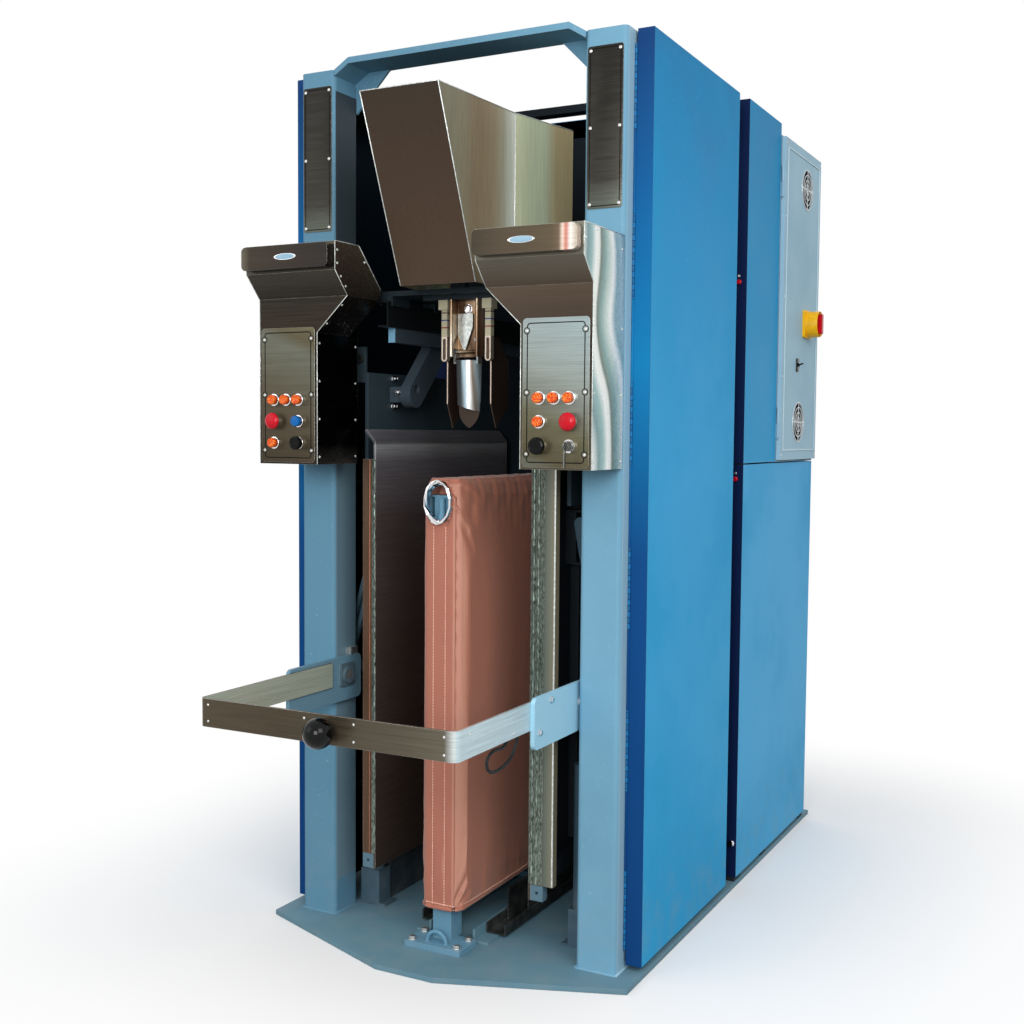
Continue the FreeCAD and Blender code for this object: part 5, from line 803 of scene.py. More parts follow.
    faceplate = Steel(
        "faceplate steel",
        # Painted reflection and light: the plates are dark brown low on the left and grow lighter upwards and
        # to the right.
        Fade((0.42, 0.0, 1.0), 1.02, 1.66, (
            (0.0, (66, 57, 44)), (0.2, (82, 74, 58)), (0.33, (90, 88, 74)), (0.45, (98, 100, 88)),
            (0.5, (88, 82, 62)), (0.62, (102, 99, 76)), (0.8, (142, 151, 146)), (1.0, (152, 167, 168)),
        )),
        streaks=0.16, roughness=(0.3, 0.42), metallic=0.55,
    )
    column_plate = Steel(
        "column plate steel",
        # Painted reflection: dark brushed steel that mirrors the room, lighter along the bottom.
        Fade(UP, 1.75, 2.12, (
            (0.0, (104, 110, 100)), (0.2, (60, 58, 52)), (0.6, (46, 44, 39)), (1.0, (44, 42, 38)),
        )),
        stretch=(12.0, 700.0, 900.0), streaks=0.25, metallic=0.55,
    )
    push_bar = Steel(
        "push bar steel",
        # Painted reflection: dark brown bars with a lighter left end and a white and red streak at the right
        # end.
        Fade(ACROSS, -0.44, 0.44, (
            (0.0, (96, 92, 76)), (0.03, (54, 46, 38)), (0.2, (44, 37, 31)), (0.29, (38, 34, 31)),
            (0.71, (62, 54, 44)), (0.8, (80, 70, 56)), (0.93, (92, 80, 62)), (0.952, (110, 94, 74)),
            (0.96, (236, 214, 196)), (0.97, (196, 104, 86)), (0.98, (240, 236, 228)),
            (1.0, (180, 160, 140)),
        )),
        streaks=0.14, roughness=(0.22, 0.34), metallic=0.45, edge=0.35,
    )
    hood = Steel(
        "hood stainless",
        # Painted reflection: a dark brown front that darkens towards the top.
        Fade(UP, 1.60, 2.013, (
            (0.0, (80, 64, 50)), (0.3, (74, 58, 45)), (0.7, (66, 52, 41)), (1.0, (58, 48, 38)),
        )),
        # Painted light and reflection: the sides brighten towards the rear, with a bright line at the fold.
        Fade(BACK, FRONT_Y - 0.236, FRONT_Y + 0.310, (
            (0.0, (140, 134, 114)), (0.16, (144, 138, 116)), (0.3, (146, 129, 102)), (0.42, (162, 146, 118)),
            (0.5, (182, 178, 154)), (0.56, (224, 230, 214)), (0.596, (246, 248, 234)),
            (0.602, (226, 230, 192)), (0.69, (218, 228, 190)), (0.8, (232, 244, 210)),
            (0.88, (230, 212, 162)), (1.0, (238, 220, 170)),
        )),
        stretch=(600.0, 600.0, 6.0), streaks=0.18, roughness=(0.34, 0.46), metallic=0.25, waves=0.1,
    )
    press_plate = Steel(
        "polished press plate",
        # Painted reflection: dark plates mirroring the room, lighter high up, with a painted highlight line
        # near the top.
        Fade(UP, 0.15, 1.26, (
            (0.0, (70, 62, 56)), (0.5, (74, 64, 60)), (0.8, (84, 76, 76)), (0.93, (106, 104, 110)),
            (0.965, (160, 164, 166)), (0.972, (90, 88, 94)), (1.0, (112, 112, 118)),
        )),
        stretch=(300.0, 6.0, 300.0), streaks=0.2, roughness=(0.3, 0.45), metallic=0.3, waves=0.1,
    )
    chest = Steel(
        "steam chest steel",
        # Painted reflection: a dark brown front, lighter at the very top.
        Fade(UP, 0.15, 1.26, (
            (0.0, (90, 68, 52)), (0.5, (88, 64, 48)), (0.95, (82, 64, 50)), (1.0, (150, 130, 90)),
        )),
        # Painted shade: the sides are near-black.
        Fade(UP, 0.15, 1.26, ((0.0, (30, 30, 32)), (1.0, (36, 36, 38)))),
        stretch=(400.0, 400.0, 5.0), streaks=0.3, roughness=(0.35, 0.5), metallic=0.4,
        zones=(
            Zone((0.2, -1.0, 0.0), (0.3, FRONT_Y + 0.0225, 1.3), Fade(ACROSS, 0.253, 0.281, (
                (0.0, (88, 96, 88)), (0.5, (108, 112, 100)), (1.0, (132, 124, 102)),
            )), 0.4, 0.3),
            # Painted shade: near-black behind the front face.
            Zone((-1.0, FRONT_Y + 0.0225, 0.0), (1.0, 2.0, 1.3), (30, 36, 42), 0.5, 0.0),
            Zone((-1.0, -1.0, 0.0), (1.0, FRONT_Y + 0.0225, 0.189), (88, 116, 130), 0.45, 0.0),
        ),
    )
    hammered = Steel(
        "hammered zinc",
        Fade(UP, 0.15, 1.26, ((0.0, (118, 128, 116)), (0.5, (92, 103, 95)), (1.0, (90, 96, 87)))),
        stretch=(260.0, 260.0, 90.0), streaks=0.75, roughness=(0.3, 0.5), metallic=0.6, waves=0.7,
    )
    bright = Steel(
        "bright weld",
        Fade(UP, 0.0, 2.2, ((0.0, (214, 222, 216)), (1.0, (220, 224, 220)))),
        stretch=(200.0, 200.0, 120.0), streaks=0.35, roughness=(0.2, 0.4), metallic=0.5, waves=0.4,
    )
    weld = Steel(
        "zinc weld",
        Fade(UP, 0.0, 2.2, ((0.0, (140, 156, 146)), (1.0, (132, 148, 140)))),
        stretch=(200.0, 200.0, 70.0), streaks=0.9, roughness=(0.2, 0.4), metallic=0.6, waves=0.4,
    )
    copper = Steel(
        "copper line",
        Fade(UP, 0.0, 1.3, ((0.0, (156, 92, 62)), (1.0, (196, 112, 72)))),
        stretch=(200.0, 200.0, 40.0), streaks=0.3, metallic=0.5,
    )
    guard = Steel(
        "guard bar stainless",
        # Painted reflection: a dark brown bar with a painted highlight at its right end.
        Fade(ACROSS, -0.33, 0.33, (
            (0.0, (84, 75, 60)), (0.35, (76, 67, 53)), (0.8, (90, 83, 70)), (0.95, (104, 98, 84)),
            (0.985, (216, 224, 222)), (1.0, (196, 214, 218)),
        )),
        # Painted light: the sides of the arms are pale.
        Fade(ACROSS, -0.33, 0.33, ((0.0, (200, 216, 198)), (0.4, (160, 164, 150)), (1.0, (196, 218, 224)))),
        stretch=(7.0, 7.0, 700.0), streaks=0.22, roughness=(0.25, 0.42), metallic=0.5, waves=0.05,
        zones=(
            Zone((-0.012, FRONT_Y - 0.70, 0.60), (0.052, FRONT_Y - 0.5235, 0.69), (4, 5, 5), 0.05, 0.0),
            # Painted light and shade: the right bracket's paint is lighter than the left one's.
            Zone((0.3249, FRONT_Y - 0.2085, 0.5), (0.5, FRONT_Y + 0.2, 0.75), (158, 206, 228), 0.4, 0.0),
            Zone((-0.5, FRONT_Y - 0.2085, 0.5), (-0.3249, FRONT_Y + 0.2, 0.75), (104, 142, 162), 0.4, 0.0),
            Zone((-0.3248, FRONT_Y - 0.03, 0.5), (-0.28, FRONT_Y + 0.2, 0.75), (96, 118, 128), 0.4, 0.3),
            Zone((0.28, FRONT_Y - 0.03, 0.5), (0.3248, FRONT_Y + 0.2, 0.75), (96, 118, 128), 0.4, 0.3),
        ),
    )
    carriage = Paint(
        "carriage paint", (40, 50, 56), (26, 34, 38), (90, 108, 116), roughness=0.45,
        zones=(
            # Painted reflection and shade: the trough runs through light and dark bands of mirrored
            # surroundings.
            Zone((-0.0421, FRONT_Y + 0.05, 1.43), (0.0421, FRONT_Y + 0.0925, 1.5779), Fade(
                (1.0, 0.6, 0.35), 0.10, 0.26, (
                    (0.0, (236, 232, 220)), (0.3, (160, 134, 106)), (0.5, (74, 54, 41)),
                    (0.75, (150, 122, 96)), (1.0, (222, 210, 192)),
                ),
            ), 0.2, 0.6),
        ),
    )
    chrome = Steel(
        "chrome", Fade(UP, 0.0, 2.2, ((0.0, (206, 208, 206)), (1.0, (216, 218, 216)))),
        stretch=(90.0, 90.0, 90.0), streaks=0.12, roughness=(0.08, 0.18), metallic=0.8, waves=0.1,
    )
    jaw = Steel(
        "jaw chrome",
        # Painted reflection: the chrome jaw runs through dark and bright bands as it mirrors its
        # surroundings.
        Fade((1.0, 0.0, 0.05), 0.032, 0.106, (
            (0.0, (150, 156, 156)), (0.1, (84, 86, 84)), (0.42, (104, 112, 116)), (0.55, (190, 214, 226)),
            (0.7, (246, 248, 246)), (0.8, (160, 140, 120)), (0.9, (186, 206, 214)), (1.0, (110, 104, 92)),
        )),
        stretch=(90.0, 90.0, 20.0), streaks=0.2, roughness=(0.16, 0.28), metallic=0.45, waves=0.2,
        zones=(
            Zone((-0.05, FRONT_Y + 0.0848, 1.26), (0.05, FRONT_Y + 0.0885, 1.3285), (62, 50, 42), 0.35, 0.3),
        ),
    )
    zinc = Steel(
        "zinc", Fade(UP, 0.0, 2.2, ((0.0, (158, 160, 154)), (1.0, (176, 178, 172)))),
        stretch=(160.0, 160.0, 160.0), streaks=0.3, roughness=(0.25, 0.45), metallic=0.7,
    )
    key = Steel(
        "key steel", Fade(UP, 0.0, 2.2, ((0.0, (92, 94, 90)), (1.0, (104, 106, 100)))),
        stretch=(240.0, 240.0, 240.0), streaks=0.5, roughness=(0.25, 0.45), metallic=0.6,
    )
    waist = Paint(
        "waist arm paint", (196, 190, 160), (166, 160, 132), (226, 220, 206), roughness=0.35, gloss=0.3,
        zones=(
            Zone((-0.2, -1.0, 1.20), (0.2, 0.0, 1.4885), (186, 170, 156), 0.18, 0.5),
            Zone((-0.2, FRONT_Y + 0.0832, 1.20), (0.2, 0.0, 1.4885), (58, 46, 38), 0.35, 0.2),
            Zone((-0.2, -1.0, 1.5095), (0.2, 0.0, 1.5125), (150, 44, 56), 0.4, 0.0),
            Zone((-0.2, -1.0, 1.5275), (0.2, 0.0, 1.5305), (52, 62, 140), 0.4, 0.0),
            Zone((-0.2, -1.0, 1.5455), (0.2, 0.0, 1.5480), (70, 40, 40), 0.4, 0.0),
        ),
    )
    black_paint = Paint("black paint", (36, 40, 40), (24, 27, 28), (84, 88, 88), roughness=0.45)
    black = Moulded("black plastic", (5, 6, 6), (9, 10, 10), roughness=0.12, gloss=0.12)
    line = Moulded("black line lacquer", (6, 6, 6), (14, 14, 14), roughness=0.5, coat=0.0, gloss=0.1)
    orange = Lens("orange lens", (214, 62, 8), (250, 150, 50))
    yellow = Moulded("yellow plastic", (240, 182, 16), (228, 168, 8), roughness=0.3)
    red = Moulded("red plastic", (200, 10, 34), (184, 8, 28), roughness=0.16)
    blue = Moulded("blue plastic", (0, 98, 170), (0, 84, 150), roughness=0.16)
    badge = Moulded("badge enamel", (150, 186, 206), (136, 174, 198), roughness=0.25)
    rubber = Moulded("cable rubber", (20, 22, 22), (34, 37, 37), roughness=0.4, grain=0.2, coat=0.0)
    thread = Moulded("pale thread", (238, 192, 174), (224, 170, 150), roughness=0.7, grain=0.3, coat=0.0)
    cover = Cloth(
        "copper satin cover",
        # Painted shade: the satin darkens towards the rear, where the heads shade it.
        Fade(BACK, FRONT_Y - 0.06, FRONT_Y + 0.606, (
            (0.0, (166, 98, 78)), (0.06, (178, 113, 91)), (0.25, (198, 127, 100)), (0.48, (200, 124, 96)),
            (0.68, (146, 88, 76)), (1.0, (116, 70, 64)),
        )),
        (182, 118, 96),
        # colour of the painted sheen on the front right corner
        (200, 142, 120),
    )


def clear() -> None:
    """Leave edit mode and deselect everything."""
    if bpy.context.object is not None and bpy.context.object.mode != "OBJECT":
        bpy.ops.object.mode_set(mode="OBJECT")
    bpy.ops.object.select_all(action="DESELECT")


def only(piece: Piece) -> None:
    """Select one piece alone and make it active.

    Args:
        piece: The piece.
    """
    clear()
    piece.select_set(True)
    bpy.context.view_layer.objects.active = piece


def settle(piece: Piece) -> Piece:
    """Put a piece's place, turn and scale into its mesh.

    Args:
        piece: The piece.

    Returns:
        The same piece.
    """
    only(piece)
    bpy.ops.object.transform_apply(location=True, rotation=True, scale=True)
    return piece


def named(name: str) -> Piece:
    """Name the piece that was just added and settle it.

    Args:
        name: The piece's name.

    Returns:
        The piece.
    """
    piece = bpy.context.active_object
    piece.name = name
    piece.data.name = name
    return settle(piece)


def block(name: str, first: Vector, second: Vector) -> Piece:
    """A box between two opposite corners.

    Args:
        name: The piece's name.
        first: One corner.
        second: The corner across from it.

    Returns:
        The box.
    """
    clear()
    span = [abs(b - a) for a, b in zip(first, second)]
    bpy.ops.mesh.primitive_cube_add(size=1.0, location=(first + second) / 2.0, scale=span)
    return named(name)


def rod(name: str, start: Vector, end: Vector, radius: float, sides: int) -> Piece:
    """A round bar between two points with eased ends.

    Args:
        name: The piece's name.
        start: One end.
        end: The other end.
        radius: The bar's radius in metres.
        sides: Flats around it.

    Returns:
        The bar.
    """
    clear()
    along = end - start
    bpy.ops.mesh.primitive_cylinder_add(
        vertices=sides, radius=radius, depth=along.length, location=(start + end) / 2.0,
        rotation=along.to_track_quat("Z", "Y").to_euler(),
    )
    piece = named(name)
    ease(piece, min(radius * 0.3, along.length * 0.2), 1, sharp)
    return piece


def sharp(edge: bmesh.types.BMEdge) -> bool:
    """True for an edge between two faces that turns sharply."""
    return len(edge.link_faces) == 2 and edge.calc_face_angle(0.0) > SHARP


def ease(piece: Piece, width: float, segments: int, test: EdgeTest) -> None:
    """Bevel the edges that pass a test.

    Args:
        piece: The piece to work on.
        width: Width of the bevel in metres.
        segments: Steps across it.
        test: Takes an edge and says whether it is wanted.
    """
    only(piece)
    bpy.ops.object.mode_set(mode="EDIT")
    bpy.ops.mesh.select_mode(type="EDGE")
    bpy.ops.mesh.select_all(action="DESELECT")
    mesh = bmesh.from_edit_mesh(piece.data)
    mesh.normal_update()
    wanted = [edge for edge in mesh.edges if test(edge)]
    for edge in wanted:
        edge.select_set(True)
    bmesh.update_edit_mesh(piece.data)
    if wanted:
        bpy.ops.mesh.bevel(offset=width, segments=segments, affect="EDGES", clamp_overlap=True)
    bpy.ops.object.mode_set(mode="OBJECT")


def ease_along(piece: Piece, axis: int, width: float, segments: int) -> None:
    """Bevel the edges that run along one axis.

    Args:
        piece: The piece to work on.
        axis: 0, 1 or 2 for X, Y or Z.
        width: Width of the bevel in metres.
        segments: Steps across it.
    """

    def runs(edge: bmesh.types.BMEdge) -> bool:
        """True for an edge along the axis."""
        way = (edge.verts[1].co - edge.verts[0].co).normalized()
        return abs(way[axis]) > 0.99

    ease(piece, width, segments, runs)


def smooth(piece: Piece, degrees: float = 35.0) -> None:
    """Shade smooth apart from the edges sharper than some degrees."""
    only(piece)
    bpy.ops.object.shade_smooth_by_angle(angle=math.radians(degrees))


def turned(name: str, profile: Sequence[Pair], sides: int) -> Piece:
    """A turned piece on the Z axis, drawn up ring by ring.

    Args:
        name: The piece's name.
        profile: Radius and height of each ring, in millimetres.
        sides: Flats around it.

    Returns:
        The piece, with its foot at the origin.
    """
    clear()
    radius, height = profile[0]
    bpy.ops.mesh.primitive_circle_add(
        vertices=sides, radius=radius * MM, fill_type="NGON", location=(0.0, 0.0, height * MM),
    )
    piece = named(name)
    bpy.ops.object.mode_set(mode="EDIT")
    bpy.ops.mesh.select_mode(type="FACE")
    bpy.ops.mesh.select_all(action="SELECT")
    for wider, higher in profile[1:]:
        rise = (higher - height) * MM
        bpy.ops.mesh.extrude_region_move(TRANSFORM_OT_translate={"value": (0.0, 0.0, rise)})
        share = wider / radius
        bpy.ops.transform.resize(value=(share, share, 1.0), center_override=(0.0, 0.0, higher * MM))
        radius, height = wider, higher
    bpy.ops.mesh.select_all(action="SELECT")
    bpy.ops.mesh.normals_make_consistent(inside=False)
    bpy.ops.object.mode_set(mode="OBJECT")
    return piece


def pan_head(radius: float, height: float) -> Piece:
    """A pan-head screw with a round recess, on the Z axis.

    Args:
        radius: Radius of the head in millimetres.
        height: Height of the head in millimetres.

    Returns:
        The screw.
    """
    profile = [
        (radius, 0.0), (radius, height * 0.45), (radius * 0.82, height * 0.85), (radius * 0.5, height),
        (radius * 0.42, height), (radius * 0.38, height * 0.5),
    ]
    return turned("screw", profile, 10)


def facing(foot: Vector, way: Point) -> Matrix:
    """The placing of a turned piece that stands at a foot and points a way."""
    turn = Vector(way).to_track_quat("Z", "Y").to_matrix().to_4x4()
    return Matrix.Translation(foot) @ turn


def footings(points: Iterable[Vector], way: Point) -> list[Matrix]:
    """The placings of turned pieces that stand at points and all point one way."""
    return [facing(point, way) for point in points]


def stand(piece: Piece, foot: Vector, way: Point) -> Piece:
    """Stand a turned piece at a foot, pointing a way, and settle it."""
    piece.matrix_world = facing(foot, way)
    return settle(piece)


def copies(pattern: Piece, name: str, places: Iterable[Matrix]) -> Piece:
    """Copy a pattern to each place, join the copies and drop the pattern.

    Args:
        pattern: The piece modelled once.
        name: The name of the joined piece.
        places: A placing for each copy.

    Returns:
        The joined piece.
    """
    made = []
    for place in places:
        copy = pattern.copy()
        copy.data = pattern.data.copy()
        copy.matrix_world = place
        bpy.context.scene.collection.objects.link(copy)
        made.append(copy)
    bpy.data.objects.remove(pattern)
    return joined(name, made)


def joined(name: str, pieces: Sequence[Piece]) -> Piece:
    """Join pieces into one.

    Args:
        name: The name of the joined piece.
        pieces: The pieces.

    Returns:
        The joined piece.
    """
    clear()
    for piece in pieces:
        piece.select_set(True)
    bpy.context.view_layer.objects.active = pieces[0]
    if len(pieces) > 1:
        bpy.ops.object.join()
    return named(name)


def outline(
    name: str, centre: Vector, width: float, height: float, radius: float, line: float, thick: float,
) -> Piece:
    """A thin round-cornered border that faces the front.

    Args:
        name: The piece's name.
        centre: Its middle, on the face that carries it.
        width: Outer width in millimetres.
        height: Outer height in millimetres.
        radius: Corner radius in millimetres.
        line: Width of the line in millimetres.
        thick: How far it stands out in millimetres.

    Returns:
        The border.
    """
    clear()
    bpy.ops.mesh.primitive_plane_add(size=1.0, location=centre, rotation=(math.pi / 2.0, 0.0, 0.0))
    bpy.context.active_object.scale = (width * MM, height * MM, 1.0)
    piece = named(name)
    bpy.ops.object.mode_set(mode="EDIT")
    bpy.ops.mesh.select_all(action="SELECT")
    bpy.ops.mesh.bevel(offset=radius * MM, segments=5, affect="VERTICES")
    bpy.ops.mesh.select_mode(type="FACE")
    bpy.ops.mesh.select_all(action="SELECT")
    bpy.ops.mesh.inset(thickness=line * MM)
    bpy.ops.mesh.delete(type="FACE")
    bpy.ops.object.mode_set(mode="OBJECT")
    modify(piece, "SOLIDIFY", thickness=thick * MM, offset=1.0)
    return piece


def modify(piece: Piece, kind: str, **settings: object) -> None:
    """Add a modifier to a piece and apply it.

    Args:
        piece: The piece to work on.
        kind: The modifier's type name.
        **settings: Properties of the modifier.
    """
    only(piece)
    modifier = piece.modifiers.new(kind.lower(), kind)
    for key, value in settings.items():
        setattr(modifier, key, value)
    bpy.ops.object.modifier_apply(modifier=modifier.name)


def fit(piece: Piece, body: str, finish: Finish, slot: str, nodes: Sequence[str] = ()) -> None:
    """Dress a finished piece and set it on its body.

    Args:
        piece: The finished piece.
        body: The body that it moves with.
        finish: Its finish.
        slot: The record's material slot; not used.
        nodes: CAD nodes that it stands for.
    """
    settle(piece)
    piece.data.materials.clear()
    piece.data.materials.append(finish.material())
    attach(piece, body)
    if nodes:
        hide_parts(*nodes)
    LOG.info("%s rides on %s", piece.name, body)


def row(
    pattern: Piece, name: str, places: Iterable[Matrix], body: str, finish: Finish, slot: str,
    degrees: float = 0.0,
) -> None:
    """Copy a pattern to each place and fit the copies as one piece.

    Args:
        pattern: The piece modelled once.
        name: The name of the joined piece.
        places: A placing for each copy.
        body: The body that it moves with.
        finish: Its finish.
        slot: The record's material slot.
        degrees: Edges sharper than this stay sharp; at 0 every face stays flat.
    """
    piece = copies(pattern, name, places)
    if degrees:
        smooth(piece, degrees)
    fit(piece, body, finish, slot)


def beads(
    name: str, runs: Sequence[Sequence[Vector]], radius: float, body: str, finish: Finish, slot: str,
) -> None:
    """Draw round beads along runs of points and fit them as one piece.

    Args:
        name: The name of the joined piece.
        runs: The points of each run, in order.
        radius: The bead's radius in millimetres.
        body: The body that it moves with.
        finish: Its finish.
        slot: The record's material slot.
    """
    rods = []
    for run in runs:
        for start, end in zip(run, run[1:]):
            rods.append(rod("bead", start, end, radius * MM, BEAD_SIDES))
    piece = joined(name, rods)
    smooth(piece, 50.0)
    fit(piece, body, finish, slot)


@dataclass
class Studio:
    """Camera, soft light, pale floor and white surroundings."""

    eye: Point = (1.54487, -3.25975, 1.25267)
    yaw: float = 27.834
    pitch: float = -3.543
    roll: float = 0.444
    lens: float = 44.40
    sensor: float = 36.0
    sight: float = 100.0
    lamps: tuple[tuple[str, Point, Point, float, float], ...] = (
        ("key", (3.4, -3.2, 3.2), (0.1, -0.2, 1.0), 2.4, 80.0),
        ("front", (1.2, -4.6, 1.9), (0.0, -0.3, 1.1), 1.6, 70.0),
        ("fill", (-2.6, -3.8, 2.6), (0.0, -0.4, 1.1), 2.4, 20.0),
    )
    ambient: float = 0.74
    floor_size: float = 40.0
    floor_drop: float = 0.0006
    floor_tone: float = 0.92
    floor_bounce: float = 0.22
    half_width: float = 0.5
    half_depth: float = 0.86
    shadow_reach: float = 1.1

    def build(self) -> None:
        """Set the camera, the world, the lamps and the floor."""
        bpy.context.scene.view_settings.view_transform = "Standard"
        self.camera()
        self.world()
        for lamp in self.lamps:
            self.lamp(*lamp)
        self.floor()

    def camera(self) -> None:
        """Place the camera where the photograph was taken from."""
        yaw, pitch, roll = (math.radians(value) for value in (self.yaw, self.pitch, self.roll))
        ahead = Vector((-math.sin(yaw) * math.cos(pitch), math.cos(yaw) * math.cos(pitch), math.sin(pitch)))
        right = Vector((math.cos(yaw), math.sin(yaw), 0.0))
        up = right.cross(ahead)
        across = right * math.cos(roll) + up * math.sin(roll)
        above = up * math.cos(roll) - right * math.sin(roll)
        data = bpy.data.cameras.new("camera")
        data.lens = self.lens
        data.sensor_width = self.sensor
        data.clip_end = self.sight
        camera = bpy.data.objects.new("camera", data)
        bpy.context.scene.collection.objects.link(camera)
        turn = Matrix((across, above, -ahead)).transposed().to_4x4()
        camera.matrix_world = Matrix.Translation(self.eye) @ turn
        bpy.context.scene.camera = camera

    def seen(self, graph: Graph) -> Socket:
        """Tell the rays of the camera, mirrors and glass from those that carry light.

        Args:
            graph: The graph being wired.

        Returns:
            A socket that is 1 for the former.
        """
        path = graph.add("ShaderNodeLightPath").outputs
        mirrored = graph.maths("MAXIMUM", path["Is Glossy Ray"], path["Is Transmission Ray"])
        return graph.maths("MAXIMUM", path["Is Camera Ray"], mirrored)

    def world(self) -> None:
        """Make the surroundings white to look at, and an even soft light on the object."""
        world = bpy.data.worlds.new("world")
        bpy.context.scene.world = world
        world.use_nodes = True
        graph = Graph(world.node_tree)
        light = graph.add("ShaderNodeBackground", {"Color": WHITE, "Strength": self.ambient}).outputs[0]
        white = graph.add("ShaderNodeBackground", {"Color": WHITE, "Strength": 1.0}).outputs[0]
        mix = graph.add("ShaderNodeMixShader", {0: self.seen(graph), 1: light, 2: white})
        graph.add("ShaderNodeOutputWorld", {"Surface": mix.outputs[0]})

    def lamp(self, name: str, place: Point, target: Point, size: float, power: float) -> None:
        """Hang a soft square lamp.

        Args:
            name: The lamp's name.
            place: Where it hangs.
            target: The point that it is aimed at.
            size: Its side in metres.
            power: Its power in watts.
        """
        data = bpy.data.lights.new(name, "AREA")
        data.size = size
        data.energy = power
        lamp = bpy.data.objects.new(name, data)
        lamp.location = place
        lamp.rotation_euler = (Vector(target) - Vector(place)).to_track_quat("-Z", "Y").to_euler()
        bpy.context.scene.collection.objects.link(lamp)

    def floor(self) -> None:
        """Lay a pale floor that keeps the shadow near the machine and runs out to white."""
        clear()
        bpy.ops.mesh.primitive_plane_add(size=self.floor_size, location=(0.0, 0.0, -self.floor_drop))
        floor = named("floor")
        made = bpy.data.materials.new("floor")
        made.use_nodes = True
        graph = Graph(made.node_tree)
        seen = self.seen(graph)
        grey = graph.between(seen, self.floor_bounce, self.floor_tone)
        near = graph.add("ShaderNodeBsdfDiffuse", {"Color": grey}).outputs[0]
        far = graph.add("ShaderNodeEmission", {"Color": WHITE, "Strength": 1.0}).outputs[0]
        away = graph.vector("ABSOLUTE", graph.place())
        away = graph.vector("SUBTRACT", away, (self.half_width, self.half_depth, 0.0))
        away = graph.vector("MAXIMUM", away)
        reach = graph.add("ShaderNodeVectorMath", {0: away}, operation="LENGTH").outputs["Value"]
        share = graph.times(graph.span(reach, 0.0, self.shadow_reach), seen)
        mix = graph.add("ShaderNodeMixShader", {0: share, 1: near, 2: far})
        graph.add("ShaderNodeOutputMaterial", {"Surface": mix.outputs[0]})
        floor.data.materials.append(made)


@dataclass
class GuardCable:
    """The loop of cable that hangs under the right arm of the guard bar."""

    radius: float = 3.5
    length: float = 0.295
    route: tuple[Point, ...] = (
        (311.0, -243.0, 622.0), (311.0, -243.0, 600.0), (311.0, -253.0, 581.0), (310.0, -270.0, 565.0),
        (309.0, -294.0, 554.0), (308.0, -325.0, 549.5), (307.0, -354.0, 552.0), (306.0, -368.0, 564.0),
        (306.0, -368.0, 581.0), (307.0, -355.0, 593.0), (308.0, -334.0, 596.5), (309.0, -311.0, 593.5),
        (310.0, -293.0, 598.0), (311.0, -286.0, 612.0), (311.0, -286.0, 627.0),
    )

    def build(self) -> None:
        """Lay one smooth curve along the route."""
        data = bpy.data.curves.new("guard_cable_loop", "CURVE")
        data.dimensions = "3D"
        data.bevel_depth = self.radius * MM
        data.bevel_resolution = 4
        data.resolution_u = 12
        data.use_fill_caps = True
        spline = data.splines.new("NURBS")
        spline.points.add(len(self.route) - 1)
        for point, place in zip(spline.points, self.route):
            point.co = (*spot(*place), 1.0)
        spline.order_u = 3
        spline.use_endpoint_u = True
        cable = bpy.data.objects.new("guard_cable_loop", data)
        bpy.context.scene.collection.objects.link(cable)
        data.materials.append(Finishes.rubber.material())
        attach(cable, "guard")
        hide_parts("guard_cable")
        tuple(spot(*self.route[0]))
        LOG.info("%s rides on guard", cable.name)


@dataclass
class ColumnPlates:
    """Bare plates screwed to the fronts of the two columns."""

    inner: float = 349.0
    outer: float = 435.0
    bottom: float = 1755.0
    top: float = 2112.0
    thick: float = 1.6
    corner: float = 6.0
    eased: float = 0.5
    line_inset: float = 5.0
    line_shape: Point = (4.0, 2.2, 0.25)
    screw_inset: float = 7.5
    screw_margin: float = 10.0
    screw: Pair = (4.0, 1.8)

    def build(self) -> None:
        """Make a plate, its border and its screws on each column."""
        for side in Side:
            first = side.spot(self.inner, -self.thick, self.bottom)
            second = side.spot(self.outer, 0.0, self.top)
            plate = block(f"{side.word}_column_plate", first, second)
            ease_along(plate, 1, self.corner * MM, 5)
            ease(plate, self.eased * MM, 2, sharp)
            smooth(plate)
            fit(plate, "frame", Finishes.column_plate, "stainless")
            self.border(side)
            self.screws(side)

    def border(self, side: Side) -> None:
        """Draw the black line along the plate's edge.

        Args:
            side: The column's side.
        """
        centre = side.spot((self.inner + self.outer) / 2.0, -self.thick, (self.bottom + self.top) / 2.0)
        width = self.outer - self.inner - 2.0 * self.line_inset
        height = self.top - self.bottom - 2.0 * self.line_inset
        line = outline(f"{side.word}_column_plate_line", centre, width, height, *self.line_shape)
        fit(line, "frame", Finishes.line, "black_paint")

    def screws(self, side: Side) -> None:
        """Set six screws in two rows.

        Args:
            side: The column's side.
        """
        columns = (self.inner + self.screw_inset, self.outer - self.screw_inset)
        middle = (self.bottom + self.top) / 2.0
        levels = (self.bottom + self.screw_margin, middle, self.top - self.screw_margin)
        places = footings((side.spot(x, -self.thick, level) for x in columns for level in levels), FORWARD)
        name = f"{side.word}_column_plate_screws"
        row(pan_head(*self.screw), name, places, "frame", Finishes.zinc, "zinc")


